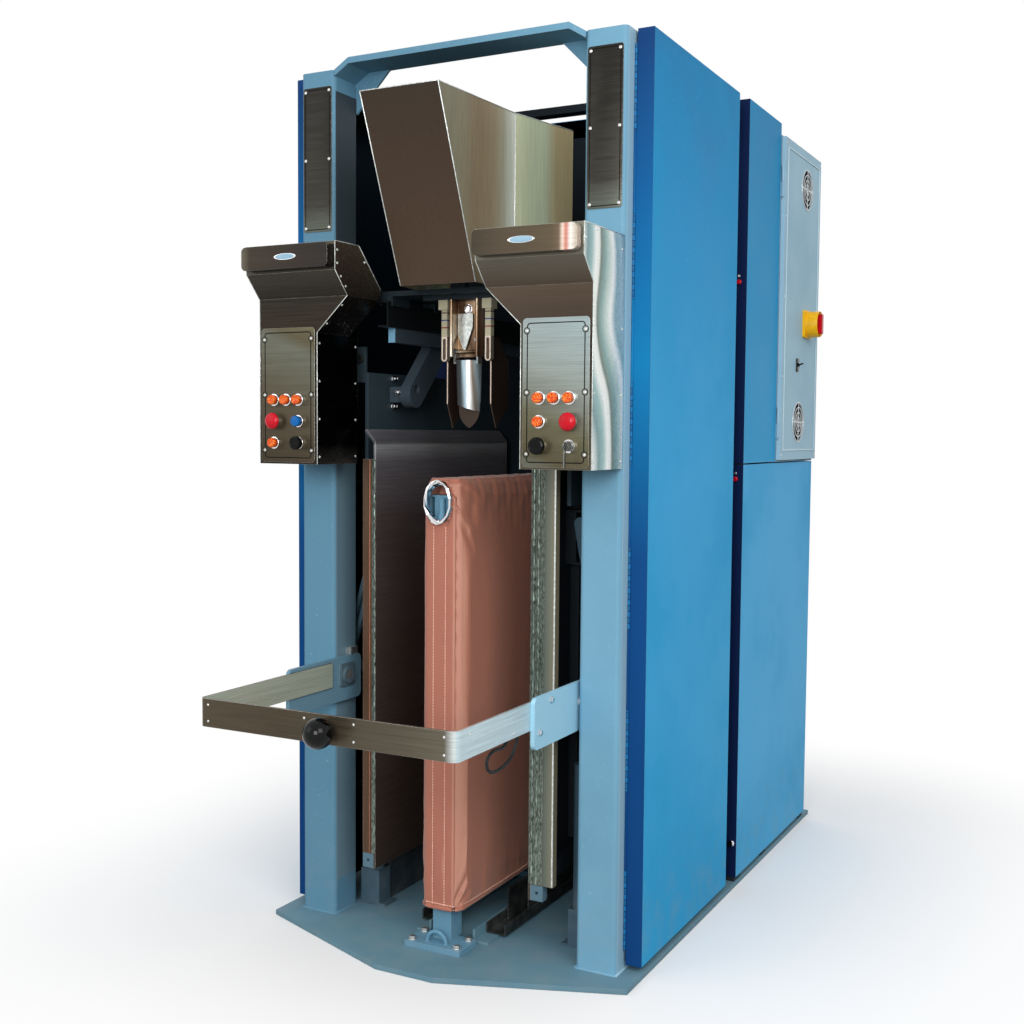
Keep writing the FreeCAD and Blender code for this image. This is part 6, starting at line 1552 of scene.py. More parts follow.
@dataclass
class ControlBoxTrim:
    """Screws, bright sheet edges and faceplate borders of the two control boxes."""

    body_inner: float = 272.0
    head_inner: float = 185.0
    outer: float = 443.0
    front: float = -166.0
    head_front: float = -215.0
    bottom: float = 1176.0
    wedge: float = 1489.0
    brow: float = 1572.0
    head_level: float = 1626.0
    top: float = 1692.0
    top_rear: float = -119.0
    head_rear: float = -26.0
    head_rear_level: float = 1597.0
    inset: float = 9.0
    outer_levels: Row = (1194.0, 1340.0, 1486.0)
    inner_levels: Row = (1194.0, 1284.0, 1374.0, 1464.0)
    head_screws: Pairs = ((-206.0, 1660.0), (-150.0, 1684.0), (-14.0, 1660.0))
    end_screws: Pairs = (
        (-206.0, 1672.0), (-206.0, 1642.0), (-192.0, 1613.0), (-173.0, 1592.0), (-96.0, 1656.0),
    )
    slant_shares: Row = (0.25, 0.75)
    screw: Pair = (3.2, 1.6)
    bead: float = 1.1
    face_centre: float = 357.5
    face_width: float = 159.0
    face_bottom: float = 1180.0
    face_height: float = 322.0
    face_front: float = -168.0
    face_levels: Row = (1209.0, 1342.0, 1475.0)
    border: float = 10.0
    border_shape: Point = (8.0, 2.4, 0.25)
    ring: Pairs = ((7.6, 0.0), (7.6, 0.3))
    seat: Pairs = ((5.4, 0.0), (5.4, 0.5))
    face_screw: Pair = (3.6, 1.8)

    def build(self) -> None:
        """Trim both boxes."""
        for side in Side:
            self.screws(side)
            self.edges(side)
            self.faceplate(side)

    def screws(self, side: Side) -> None:
        """Set rows of small screws along the edges of the side panels.

        Args:
            side: The box's side.
        """
        depths = (self.front + self.inset, -self.inset)
        outer = [(depth, level) for depth in depths for level in self.outer_levels]
        inner = [(depth, level) for depth in depths for level in self.inner_levels]
        places = footings((side.spot(self.outer, *at) for at in (*outer, *self.head_screws)), side.outward)
        places += footings((side.spot(self.body_inner, *at) for at in inner), side.inward)
        places += footings((side.spot(self.head_inner, *at) for at in self.end_screws), side.inward)
        slant = (-side.value * (self.brow - self.wedge), 0.0, self.head_inner - self.body_inner)
        for share in self.slant_shares:
            x = self.head_inner + (self.body_inner - self.head_inner) * share
            level = self.brow + (self.wedge - self.brow) * share
            places.append(facing(side.spot(x, depths[0], level), slant))
        screw = pan_head(*self.screw)
        row(screw, f"{side.word}_box_screws", places, "frame", Finishes.bright, "zinc")

    def edges(self, side: Side) -> None:
        """Draw bright beads where the sheets meet.

        Args:
            side: The box's side.
        """
        face = [(self.front, self.brow), (self.head_front, self.head_level), (self.head_front, self.top)]
        outer = [(self.front, self.bottom), *face, (0.0, self.top)]
        end = [*face, (self.top_rear, self.top), (self.head_rear, self.head_rear_level)]
        runs = [
            [side.spot(self.outer, *at) for at in outer],
            [side.spot(self.head_inner, *at) for at in end],
            [
                side.spot(self.head_inner, self.front, self.brow),
                side.spot(self.body_inner, self.front, self.wedge),
                side.spot(self.body_inner, self.front, self.bottom),
            ],
        ]
        beads(f"{side.word}_box_edges", runs, self.bead, "frame", Finishes.bright, "stainless")

    def faceplate(self, side: Side) -> None:
        """Make the black border of a faceplate, with the rings and seats of its six screws.

        Args:
            side: The box's side.
        """
        name = f"{side.word}_faceplate"
        centre = side.spot(self.face_centre, self.face_front, self.face_bottom + self.face_height / 2.0)
        width, height = self.face_width - 2.0 * self.border, self.face_height - 2.0 * self.border
        line = outline(f"{name}_line", centre, width, height, *self.border_shape)
        columns = [side.value * self.face_centre + share * width for share in (-0.5, 0.5)]
        places = footings(
            (spot(x, self.face_front, level) for x in columns for level in self.face_levels), FORWARD,
        )
        rings = copies(turned("ring", self.ring, 20), "rings", places)
        fit(joined(f"{name}_line", [line, rings]), "frame", Finishes.line, "black_paint")
        seat = turned("seat", self.seat, 20)
        row(seat, f"{name}_seats", places, "frame", Finishes.faceplate, "stainless")
        screw = pan_head(*self.face_screw)
        row(screw, f"{name}_screws", places, "frame", Finishes.zinc, "zinc")


class Cap(Enum):
    """Shapes of button heads above their stems, as rings of radius and height in millimetres."""

    LAMP = ((12.0, 5.2), (12.0, 10.5), (10.6, 13.2), (8.6, 14.0), (7.6, 13.0), (3.0, 12.6))
    MUSHROOM = (
        (17.5, 5.2), (19.6, 6.2), (20.0, 8.0), (19.0, 10.6), (16.0, 13.2), (11.0, 15.0), (5.0, 15.8),
    )
    ROUND = ((12.4, 5.2), (13.0, 6.4), (13.0, 11.5), (12.0, 14.0), (9.0, 15.4), (4.0, 15.8))
    FLAT = ((15.2, 5.2), (16.0, 6.2), (16.0, 12.5), (15.0, 15.0), (12.6, 15.8), (11.6, 14.8), (5.0, 14.8))
    LARGE = ((18.0, 5.2), (19.0, 6.4), (19.0, 12.0), (17.6, 14.8), (14.6, 15.8), (13.4, 14.6), (6.0, 14.6))


@dataclass
class Buttons:
    """Lamps, mushrooms and push buttons, each on its own body, and the collars round them."""

    bezel_front: float = -176.0
    stem: Pairs = ((6.8, -7.0), (6.8, 5.0))
    collar: Pairs = ((14.4, 0.0), (14.4, 0.5), (13.8, 0.9), (9.2, 0.9), (8.4, 0.5), (8.0, 0.2))

    def build(self) -> None:
        """Turn each button on the place of its CAD node, then the collars."""
        nodes = [name for name in sorted(frame["nodes"]) if name.endswith("mushroom") or "_button" in name]
        for node in nodes:
            self.button(node)
        places = footings((self.centre(node) for node in nodes), FORWARD)
        collar = turned("collar", self.collar, 24)
        row(collar, "button_collars", places, "frame", Finishes.chrome, "chrome", 45.0)

    def kind(self, node: str) -> tuple[Cap, Finish, str]:
        """Tell what a button is from its node's name.

        Args:
            node: The button's CAD node.

        Returns:
            Its cap, finish and material slot.
        """
        if "lamp" in node or "orange" in node:
            return Cap.LAMP, Finishes.orange, "orange_plastic"
        if "mushroom" in node:
            return Cap.MUSHROOM, Finishes.red, "red_plastic"
        if "blue" in node:
            return Cap.ROUND, Finishes.blue, "blue_plastic"
        return (Cap.FLAT if "left" in node else Cap.LARGE), Finishes.black, "black_plastic"

    def centre(self, node: str) -> Vector:
        """The middle of a button on the front of its collar."""
        low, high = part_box(node)
        return Vector(((low.x + high.x) / 2.0, FRONT_Y + self.bezel_front * MM, (low.z + high.z) / 2.0))

    def button(self, node: str) -> None:
        """Make one button; the lamps keep the facets of their lenses.

        Args:
            node: The button's CAD node.
        """
        cap, finish, slot = self.kind(node)
        lamp = cap is Cap.LAMP
        piece = turned(f"{node}_cap", self.stem + cap.value, 14 if lamp else 32)
        stand(piece, self.centre(node), FORWARD)
        if not lamp:
            smooth(piece, 40.0)
        fit(piece, node, finish, slot, [node])


@dataclass
class PushBarTrim:
    """Bare oval badges on the push bars."""

    centre: float = 309.0
    level: float = 1659.5
    front: float = -240.0
    half_width: float = 32.0
    half_height: float = 7.5
    disc: float = 10.0
    rim: Pairs = ((10.0, 0.0), (10.0, 0.9), (9.4, 1.4), (8.6, 1.4), (8.4, 0.9))
    face: Pairs = ((8.5, 0.0), (8.5, 0.9), (8.0, 1.15), (6.0, 1.3), (2.0, 1.35))

    def build(self) -> None:
        """Make an enamel oval in a chrome rim on each bar."""
        for side in Side:
            self.oval(side, "badge_rim", self.rim, Finishes.chrome, "chrome")
            self.oval(side, "badge", self.face, Finishes.badge, "stainless")

    def oval(self, side: Side, name: str, profile: Pairs, finish: Finish, slot: str) -> None:
        """Draw a turned disc out to the oval and stand it on the bar.

        Args:
            side: The bar's side.
            name: What the piece is.
            profile: The disc's rings.
            finish: Its finish.
            slot: The record's material slot.
        """
        piece = turned(f"{side.word}_{name}", profile, 40)
        wide = Matrix.Diagonal((self.half_width / self.disc, 1.0, self.half_height / self.disc, 1.0))
        upright = facing(Vector((0.0, 0.0, 0.0)), FORWARD)
        middle = side.spot(self.centre, self.front, self.level)
        piece.matrix_world = Matrix.Translation(middle) @ wide @ upright
        settle(piece)
        smooth(piece, 40.0)
        fit(piece, f"{side.word}_push_bar", finish, slot)


@dataclass
class HoodTrim:
    """Hemmed edges of the hood."""

    bottom: float = 1600.0
    top: float = 2013.0
    front_bottom: float = -67.0
    front_top: float = -236.0
    half: float = 102.0
    fold: float = 90.0
    fold_half: float = 120.0
    rear: float = 310.0
    rear_half: float = 168.0
    bead: float = 1.4

    def build(self) -> None:
        """Draw beads along the corners, folds and top rim."""
        runs = []
        for side in Side:
            fold = side.spot(self.fold_half, self.fold, self.top)
            runs.append([
                side.spot(self.half, self.front_bottom, self.bottom),
                side.spot(self.half, self.front_top, self.top),
                fold,
                side.spot(self.rear_half, self.rear, self.top),
            ])
            runs.append([side.spot(self.fold_half, self.fold, self.bottom), fold])
        runs.append([side.spot(self.half, self.front_top, self.top) for side in Side])
        beads("hood_edges", runs, self.bead, "carriage", Finishes.bright, "stainless")


@dataclass
class HeadTrim:
    """Front edges of the press heads: weld beads, zinc and copper strips and a bright fold."""

    bottom: float = 192.0
    top: float = 1186.0
    thick: float = 1.4
    eased: float = 0.4
    right_zinc: Pair = (217.4, 253.4)
    left_zinc: Pair = (217.4, 228.0)
    fold: Pair = (277.0, 281.0)
    copper: Pair = (233.0, 235.0)
    right_welds: Pair = (226.0, 238.0)
    left_weld: float = 219.0
    seed: int = 5
    bumps: int = 110
    bump_radii: Pair = (1.3, 3.0)

    def build(self) -> None:
        """Trim both heads."""
        self.strip(Side.RIGHT, "zinc_edge", self.right_zinc, Finishes.hammered, "zinc")
        for name, x in zip(("inner", "outer"), self.right_welds):
            self.weld(Side.RIGHT, name, x)
        self.strip(Side.RIGHT, "bright_fold", self.fold, Finishes.bright, "stainless")
        self.strip(Side.LEFT, "zinc_edge", self.left_zinc, Finishes.hammered, "zinc")
        self.weld(Side.LEFT, "inner", self.left_weld)
        self.strip(Side.LEFT, "copper_line", self.copper, Finishes.copper, "stainless")

    def strip(self, side: Side, name: str, edges: Pair, finish: Finish, slot: str) -> None:
        """Lay a thin cover strip on the front of a head.

        Args:
            side: The head's side.
            name: Which strip it is.
            edges: Distances of its two edges from the middle.
            finish: Its finish.
            slot: The record's material slot.
        """
        first = side.spot(edges[0], -self.thick, self.bottom)
        second = side.spot(edges[1], 0.0, self.top)
        strip = block(f"{side.word}_head_{name}", first, second)
        ease_along(strip, 2, self.eased * MM, 2)
        smooth(strip)
        fit(strip, f"{side.word}_head", finish, slot)

    def weld(self, side: Side, name: str, x: float) -> None:
        """Draw a bumpy bead along the front of a head.

        Args:
            side: The head's side.
            name: Which bead it is.
            x: Distance of the bead from the middle.
        """
        draw = random.Random(self.seed + int(x))
        step = (self.top - self.bottom) / self.bumps
        profile = []
        for ring in range(self.bumps + 1):
            profile.append((draw.uniform(*self.bump_radii), self.bottom + step * ring))
        bead = turned("bead", profile, BEAD_SIDES)
        places = [Matrix.Translation(side.spot(x, -self.thick, 0.0))]
        head = f"{side.word}_head"
        row(bead, f"{head}_weld_{name}", places, head, Finishes.weld, "zinc", 60.0)


@dataclass
class BuckCover:
    """Padded cover of the buck with its front seams and the ring round its opening."""

    weld: float = 0.02
    voxel: float = 7.0
    shrink: float = 4.0
    pressure: float = 4.0
    quality: int = 4
    mass: float = 0.3
    frames: int = 20
    cap: float = 5.5
    half: float = 61.8
    core_low: Point = (0.0, 30.0, 200.0)
    core_high: Point = (0.0, 520.0, 1050.0)
    bottom: float = 106.0
    bottom_margin: float = 6.0
    front_zone: float = -20.0
    shoulder: float = 1110.0
    shoulder_zone: float = 40.0
    seam: float = 16.5
    seam_width: float = 5.0
    seam_depth: float = 2.2
    pucker: float = 33.0
    pucker_width: float = 13.0
    pucker_depth: float = 1.1
    between_width: float = 10.0
    between_depth: float = 0.7
    top_reach: float = 120.0
    top_depth: float = 1.5
    hem_reach: float = 130.0
    hem_depth: float = 1.6
    stitch: float = 5.6
    gap: float = 1.8
    thread: float = 1.5
    stitch_low: float = 116.0
    stitch_high: float = 1036.0
    hem: float = 119.0
    hem_half: float = 50.0
    hem_front: float = -30.0
    hem_length: float = 600.0
    ahead: float = -120.0
    beside: float = 160.0
    front_lift: float = 0.7
    side_lift: float = 0.4
    ring_front: float = -65.0
    ring_level: float = 1090.0
    ring_half_width: float = 37.0
    ring_half_height: float = 52.0
    ring_thick: float = 1.2
    ring_steps: Pairs = ((-2.0, 0.93), (5.0, 0.9), (9.0, 0.92))
    dents: Point = (1.4, 1.2, 1.4)
    seed: int = 11
    skin: Optional[Piece] = None

    def build(self) -> None:
        """Sew the cover, then its stitches and ring."""
        self.cover()
        self.stitches()
        self.ring()

    def cover(self) -> None:
        """Make the padded cover itself, swollen in its seams and then creased."""
        source = frame["nodes"]["buck_pad"]
        piece = bpy.data.objects.new("buck_cover", source.data.copy())
        bpy.context.scene.collection.objects.link(piece)
        only(piece)
        bpy.ops.object.mode_set(mode="EDIT")
        bpy.ops.mesh.select_all(action="SELECT")
        bpy.ops.mesh.remove_doubles(threshold=self.weld * MM)
        bpy.ops.object.mode_set(mode="OBJECT")
        piece.data.remesh_voxel_size = self.voxel * MM
        bpy.ops.object.voxel_remesh()
        self.swell(piece)
        self.refine(piece)
        self.crease(piece)
        self.skin = piece
        bpy.ops.object.shade_smooth()
        fit(piece, "frame", Finishes.cover, "pad_cover", ["buck_pad"])

    def outside(self, place: Vector, normal: Vector) -> bool:
        """Tell the outer skin from the lining.

        Args:
            place: Point of the cover.
            normal: Normal there.

        Returns:
            True where the normal points away from the pad's core.
        """
        low, high = spot(*self.core_low), spot(*self.core_high)
        core = Vector((0.0, min(max(place.y, low.y), high.y), min(max(place.z, low.z), high.z)))
        return normal.dot(place - core) > 0.0 and place.z > (self.bottom + self.bottom_margin) * MM

    def swell(self, piece: Piece) -> None:
        """Blow the outer skin up from a smaller shape, with the lining held.

        Args:
            piece: The cover.
        """
        held = piece.vertex_groups.new(name="held")
        start = []
        for vert in piece.data.vertices:
            place, normal = vert.co.copy(), vert.normal.copy()
            if self.outside(place, normal):
                start.append(place - normal * (self.shrink * MM))
            else:
                start.append(place)
                held.add([vert.index], 1.0, "REPLACE")
        self.put(piece, start)
        modifier = piece.modifiers.new("cloth", "CLOTH")
        settings = modifier.settings
        settings.quality = self.quality
        settings.mass = self.mass
        settings.use_pressure = True
        settings.uniform_pressure_force = self.pressure
        settings.effector_weights.gravity = 0.0
        settings.vertex_group_mass = held.name
        modifier.point_cache.frame_start = 1
        modifier.point_cache.frame_end = self.frames
        for number in range(1, self.frames + 1):
            bpy.context.scene.frame_set(number)
        only(piece)
        bpy.ops.object.modifier_apply(modifier=modifier.name)
        half = self.half * MM
        ends = []
        for vert, place in zip(piece.data.vertices, start):
            move = vert.co - place
            end = place + move * min(1.0, self.cap * MM / max(move.length, 1e-9))
            end.x = min(max(end.x, -half), half)
            ends.append(end)
        self.put(piece, ends)
        bpy.context.scene.frame_set(1)
        piece.vertex_groups.clear()

    def refine(self, piece: Piece) -> None:
        """Split the faces of the front and the top, which carry the seams and the wrinkles.

        Args:
            piece: The cover.
        """
        only(piece)
        bpy.ops.object.mode_set(mode="EDIT")
        bpy.ops.mesh.select_mode(type="FACE")
        bpy.ops.mesh.select_all(action="DESELECT")
        bpy.ops.object.mode_set(mode="OBJECT")
        limit = spot(0.0, self.front_zone, self.shoulder - self.shoulder_zone)
        for face in piece.data.polygons:
            front = face.normal.y < -0.3 and face.center.y < limit.y
            high = face.center.z > limit.z
            face.select = (front or high) and self.outside(face.center, face.normal)
        bpy.ops.object.mode_set(mode="EDIT")
        bpy.ops.mesh.subdivide(number_cuts=2)
        bpy.ops.object.mode_set(mode="OBJECT")

    def put(self, piece: Piece, places: list[Vector]) -> None:
        """Move all points of the cover at once.

        Args:
            piece: The cover.
            places: New place of each point.
        """
        piece.data.vertices.foreach_set("co", [value for place in places for value in place])
        piece.data.update()

    def crease(self, piece: Piece) -> None:
        """Pull the seams in, and gather small puckers and wrinkles beside and above them.

        Args:
            piece: The cover.
        """
        ends = []
        for vert in piece.data.vertices:
            place, normal = vert.co.copy(), vert.normal.copy()
            sink = self.sink(place, normal) if self.outside(place, normal) else 0.0
            ends.append(place - normal * (sink * MM))
        self.put(piece, ends)

    def sink(self, place: Vector, normal: Vector) -> float:
        """How far a point of the outer skin is drawn in.

        Args:
            place: Point of the cover.
            normal: Normal there.

        Returns:
            Millimetres inwards.
        """
        x, depth, level = place.x / MM, (place.y - FRONT_Y) / MM, place.z / MM
        sink = 0.0
        facing = min(max((-normal.y - 0.5) / 0.4, 0.0), 1.0)
        if facing > 0.0:
            for seam in (-self.seam, self.seam):
                sink += math.exp(-(((x - seam) / self.seam_width) ** 2)) * self.seam_depth
            pucker = math.exp(-(((x - self.pucker) / self.pucker_width) ** 2)) * self.pucker_depth
            pucker *= min(max((level - 420.0) / 300.0, 0.25), 1.0)
            sink += pucker * (1.0 + math.sin((level + 1.5 * x) / 9.0 + 2.0 * math.sin(level / 71.0)))
            between = math.exp(-((x / self.between_width) ** 2)) * self.between_depth
            sink += between * (1.0 + math.sin(level / 11.0 - x / 9.0 + 2.0 * math.sin(level / 61.0)))
            sink *= facing
        high = min(max((level - self.shoulder) / self.top_reach + 1.0, 0.0), 1.0)
        fold = math.sin(depth / 11.0 + 2.0 * math.sin(level / 23.0)) * 0.5
        fold += math.sin(depth / 5.3 + x / 9.0) * 0.35
        sink += (fold + 0.85) * self.top_depth * high
        low = max(1.0 - (level - self.bottom) / self.hem_reach, 0.0)
        gather = math.sin((depth + x) / 13.0) * 0.5 + math.sin((depth + x) / 5.7) * 0.3 + 0.8
        return sink + gather * self.hem_depth * low

    def sewn(self, start: Vector, way: Point, lift: float, turn: Matrix) -> list[Matrix]:
        """Find where a stitch lies on the cover.

        Args:
            start: A point in the air beside the cover.
            way: The direction from there to the cover.
            lift: Millimetres that the stitch stands off the cover.
            turn: How the stitch lies.

        Returns:
            The stitch's placing, or nothing where there is no cover.
        """
        found, place, _, _ = self.skin.ray_cast(start, way)
        if not found:
            return []
        return [Matrix.Translation(place - Vector(way) * (lift * MM)) @ turn]

    def stitches(self) -> None:
        """Sew two rows of stitches down the front, and one along the hem."""
        bpy.context.view_layer.update()
        pitch = self.stitch + self.gap
        upright = Matrix.Identity(4)
        across = Matrix.Rotation(math.pi / 2.0, 4, "Y")
        along = Matrix.Rotation(-math.pi / 2.0, 4, "X")
        places = []
        for x in (-self.seam, self.seam):
            for step in range(int((self.stitch_high - self.stitch_low) / pitch)):
                start = spot(x, self.ahead, self.stitch_low + pitch * step)
                places += self.sewn(start, BACK, self.front_lift, upright)
        for step in range(int(2.0 * self.hem_half / pitch)):
            start = spot(pitch * step - self.hem_half, self.ahead, self.hem)
            places += self.sewn(start, BACK, self.front_lift, across)
        for step in range(int(self.hem_length / pitch)):
            start = spot(self.beside, self.hem_front + pitch * step, self.hem)
            places += self.sewn(start, Side.RIGHT.inward, self.side_lift, along)
        end = Vector((0.0, 0.0, self.stitch * MM))
        stitch = rod("stitch", Vector((0.0, 0.0, 0.0)), end, self.thread * MM, 6)
        row(stitch, "buck_cover_stitches", places, "frame", Finishes.thread, "pad_cover", 60.0)

    def ring(self) -> None:
        """Draw up the crinkled metal ring round the front opening."""
        clear()
        centre = spot(0.0, self.ring_front, self.ring_level)
        bpy.ops.mesh.primitive_circle_add(
            vertices=14, radius=1.0, fill_type="NOTHING", location=centre, rotation=(math.pi / 2.0, 0.0, 0.0),
        )
        bpy.context.active_object.scale = (self.ring_half_width * MM, self.ring_half_height * MM, 1.0)
        ring = named("buck_opening_ring")
        bpy.ops.object.mode_set(mode="EDIT")
        bpy.ops.mesh.select_mode(type="EDGE")
        bpy.ops.mesh.select_all(action="SELECT")
        for back, share in self.ring_steps:
            step = Vector((0.0, back * MM, 0.0))
            bpy.ops.mesh.extrude_region_move(TRANSFORM_OT_translate={"value": step})
            centre = centre + step
            bpy.ops.transform.resize(value=(share, 1.0, share), center_override=centre)
        bpy.ops.object.mode_set(mode="OBJECT")
        draw = random.Random(self.seed)
        for vert in ring.data.vertices:
            vert.co += Vector([draw.uniform(-dent, dent) for dent in self.dents]) * MM
        modify(ring, "SOLIDIFY", thickness=self.ring_thick * MM, offset=0.0)
        fit(ring, "frame", Finishes.chrome, "chrome")


@dataclass
class GuardTrim:
    """Rivets and bracket bolts of the guard bar."""

    front: float = -523.0
    outer: float = 325.0
    bracket_outer: float = 335.0
    middle: float = 643.0
    rivet_spread: float = 18.0
    front_rivets: Row = (-300.0, -42.0, 82.0, 296.0)
    side_rivets: Pairs = ((-285.0, 622.0), (-470.0, 660.0))
    bracket_bolts: Pairs = ((-128.0, 667.0), (-184.0, 605.0))
    rivet: Pairs = ((3.0, 0.0), (2.7, 0.7), (1.6, 1.2), (0.6, 1.35))
    bolt: Pairs = ((9.0, 0.0), (9.0, 1.4), (7.0, 1.4), (7.0, 5.0), (6.0, 6.0), (3.0, 6.2))

    def build(self) -> None:
        """Set the rivets and the bolts."""
        levels = (self.middle - self.rivet_spread, self.middle + self.rivet_spread)
        points = (spot(x, self.front, level) for x in self.front_rivets for level in levels)
        rivets = footings(points, FORWARD)
        bolts = []
        for side in Side:
            rivets += footings((side.spot(self.outer, *at) for at in self.side_rivets), side.outward)
            feet = (side.spot(self.bracket_outer, *at) for at in self.bracket_bolts)
            bolts += footings(feet, side.outward)
        rivet = turned("rivet", self.rivet, 12)
        row(rivet, "guard_rivets", rivets, "guard", Finishes.zinc, "zinc", 50.0)
        bolt = turned("bolt", self.bolt, 6)
        row(bolt, "guard_bolts", bolts, "guard", Finishes.chrome, "chrome")


@dataclass
class ClampTrim:
    """Bolts, spring leaf and strap of the clamp."""

    back: float = 89.5
    leaf_low: Point = (-33.0, 84.0, 1449.0)
    leaf_high: Point = (9.0, 85.4, 1545.0)
    cuts: tuple[tuple[Point, Point], ...] = (
        ((9.0, 0.0, 1512.0), (0.94, 0.0, -0.34)),
        ((-33.0, 0.0, 1494.0), (-0.92, 0.0, -0.39)),
    )
    strap_low: Point = (41.0, 93.0, 1440.0)
    strap_high: Point = (51.0, 94.6, 1577.0)
    strap_eased: float = 0.5
    large_place: Pair = (-5.0, 1556.0)
    small_places: Pairs = ((17.0, 1482.0), (20.0, 1560.0))
    large: Pairs = ((12.0, 0.0), (12.0, 1.6), (10.0, 1.6), (10.0, 7.0), (8.5, 8.4), (4.0, 8.8))
    small: Pairs = ((6.0, 0.0), (6.0, 3.0), (5.0, 5.0), (2.5, 6.0))

    def build(self) -> None:
        """Make the leaf, the strap and the bolts."""
        self.leaf()
        strap = block("clamp_strap", spot(*self.strap_low), spot(*self.strap_high))
        ease_along(strap, 2, self.strap_eased * MM, 2)
        smooth(strap)
        fit(strap, "carriage", Finishes.strap, "frame_paint")
        x, level = self.large_place
        large = stand(turned("bolt", self.large, 6), spot(x, self.back, level), FORWARD)
        places = footings((spot(x, self.back, level) for x, level in self.small_places), FORWARD)
        small = copies(turned("bolt", self.small, 16), "bolts", places)
        bolts = joined("clamp_bolts", [large, small])
        smooth(bolts, 40.0)
        fit(bolts, "carriage", Finishes.chrome, "chrome")

    def leaf(self) -> None:
        """Cut the spring leaf to its point."""
        leaf = block("clamp_leaf", spot(*self.leaf_low), spot(*self.leaf_high))
        for place, way in self.cuts:
            only(leaf)
            bpy.ops.object.mode_set(mode="EDIT")
            bpy.ops.mesh.select_all(action="SELECT")
            bpy.ops.mesh.bisect(plane_co=spot(*place), plane_no=way, use_fill=True, clear_outer=True)
            bpy.ops.object.mode_set(mode="OBJECT")
        fit(leaf, "carriage", Finishes.bright, "stainless")


@dataclass
class MechanismTrim:
    """Bolts of the brackets, bearings and side plates behind the control boxes."""

    tie: Point = (304.0, 60.0, 1440.0)
    bearing: Point = (254.0, 158.0, 1358.0)
    plate_inner: float = 280.0
    plate_bolts: Pairs = ((173.0, 1394.0), (171.0, 1322.0))
    bolt: Pairs = ((9.0, 0.0), (9.0, 1.6), (7.5, 1.6), (7.5, 8.0), (4.5, 8.0), (4.5, 16.0), (3.5, 17.0))
    tie_bolt: Pairs = ((11.0, 0.0), (11.0, 6.0), (9.5, 7.5), (5.0, 7.8), (4.6, 5.0))

    def build(self) -> None:
        """Set bright bolts on the bearings and plates, and dark ones on the ties."""
        bright = []
        for side in Side:
            bright.append(facing(side.spot(*self.bearing), FORWARD))
            bright += footings((side.spot(self.plate_inner, *at) for at in self.plate_bolts), side.inward)
        dark = footings((side.spot(*self.tie) for side in Side), FORWARD)
        bolt = turned("bolt", self.bolt, 6)
        row(bolt, "mechanism_bolts", bright, "frame", Finishes.chrome, "chrome")
        cap = turned("cap", self.tie_bolt, 20)
        row(cap, "tie_bolts", dark, "frame", Finishes.black_paint, "black_paint", 40.0)


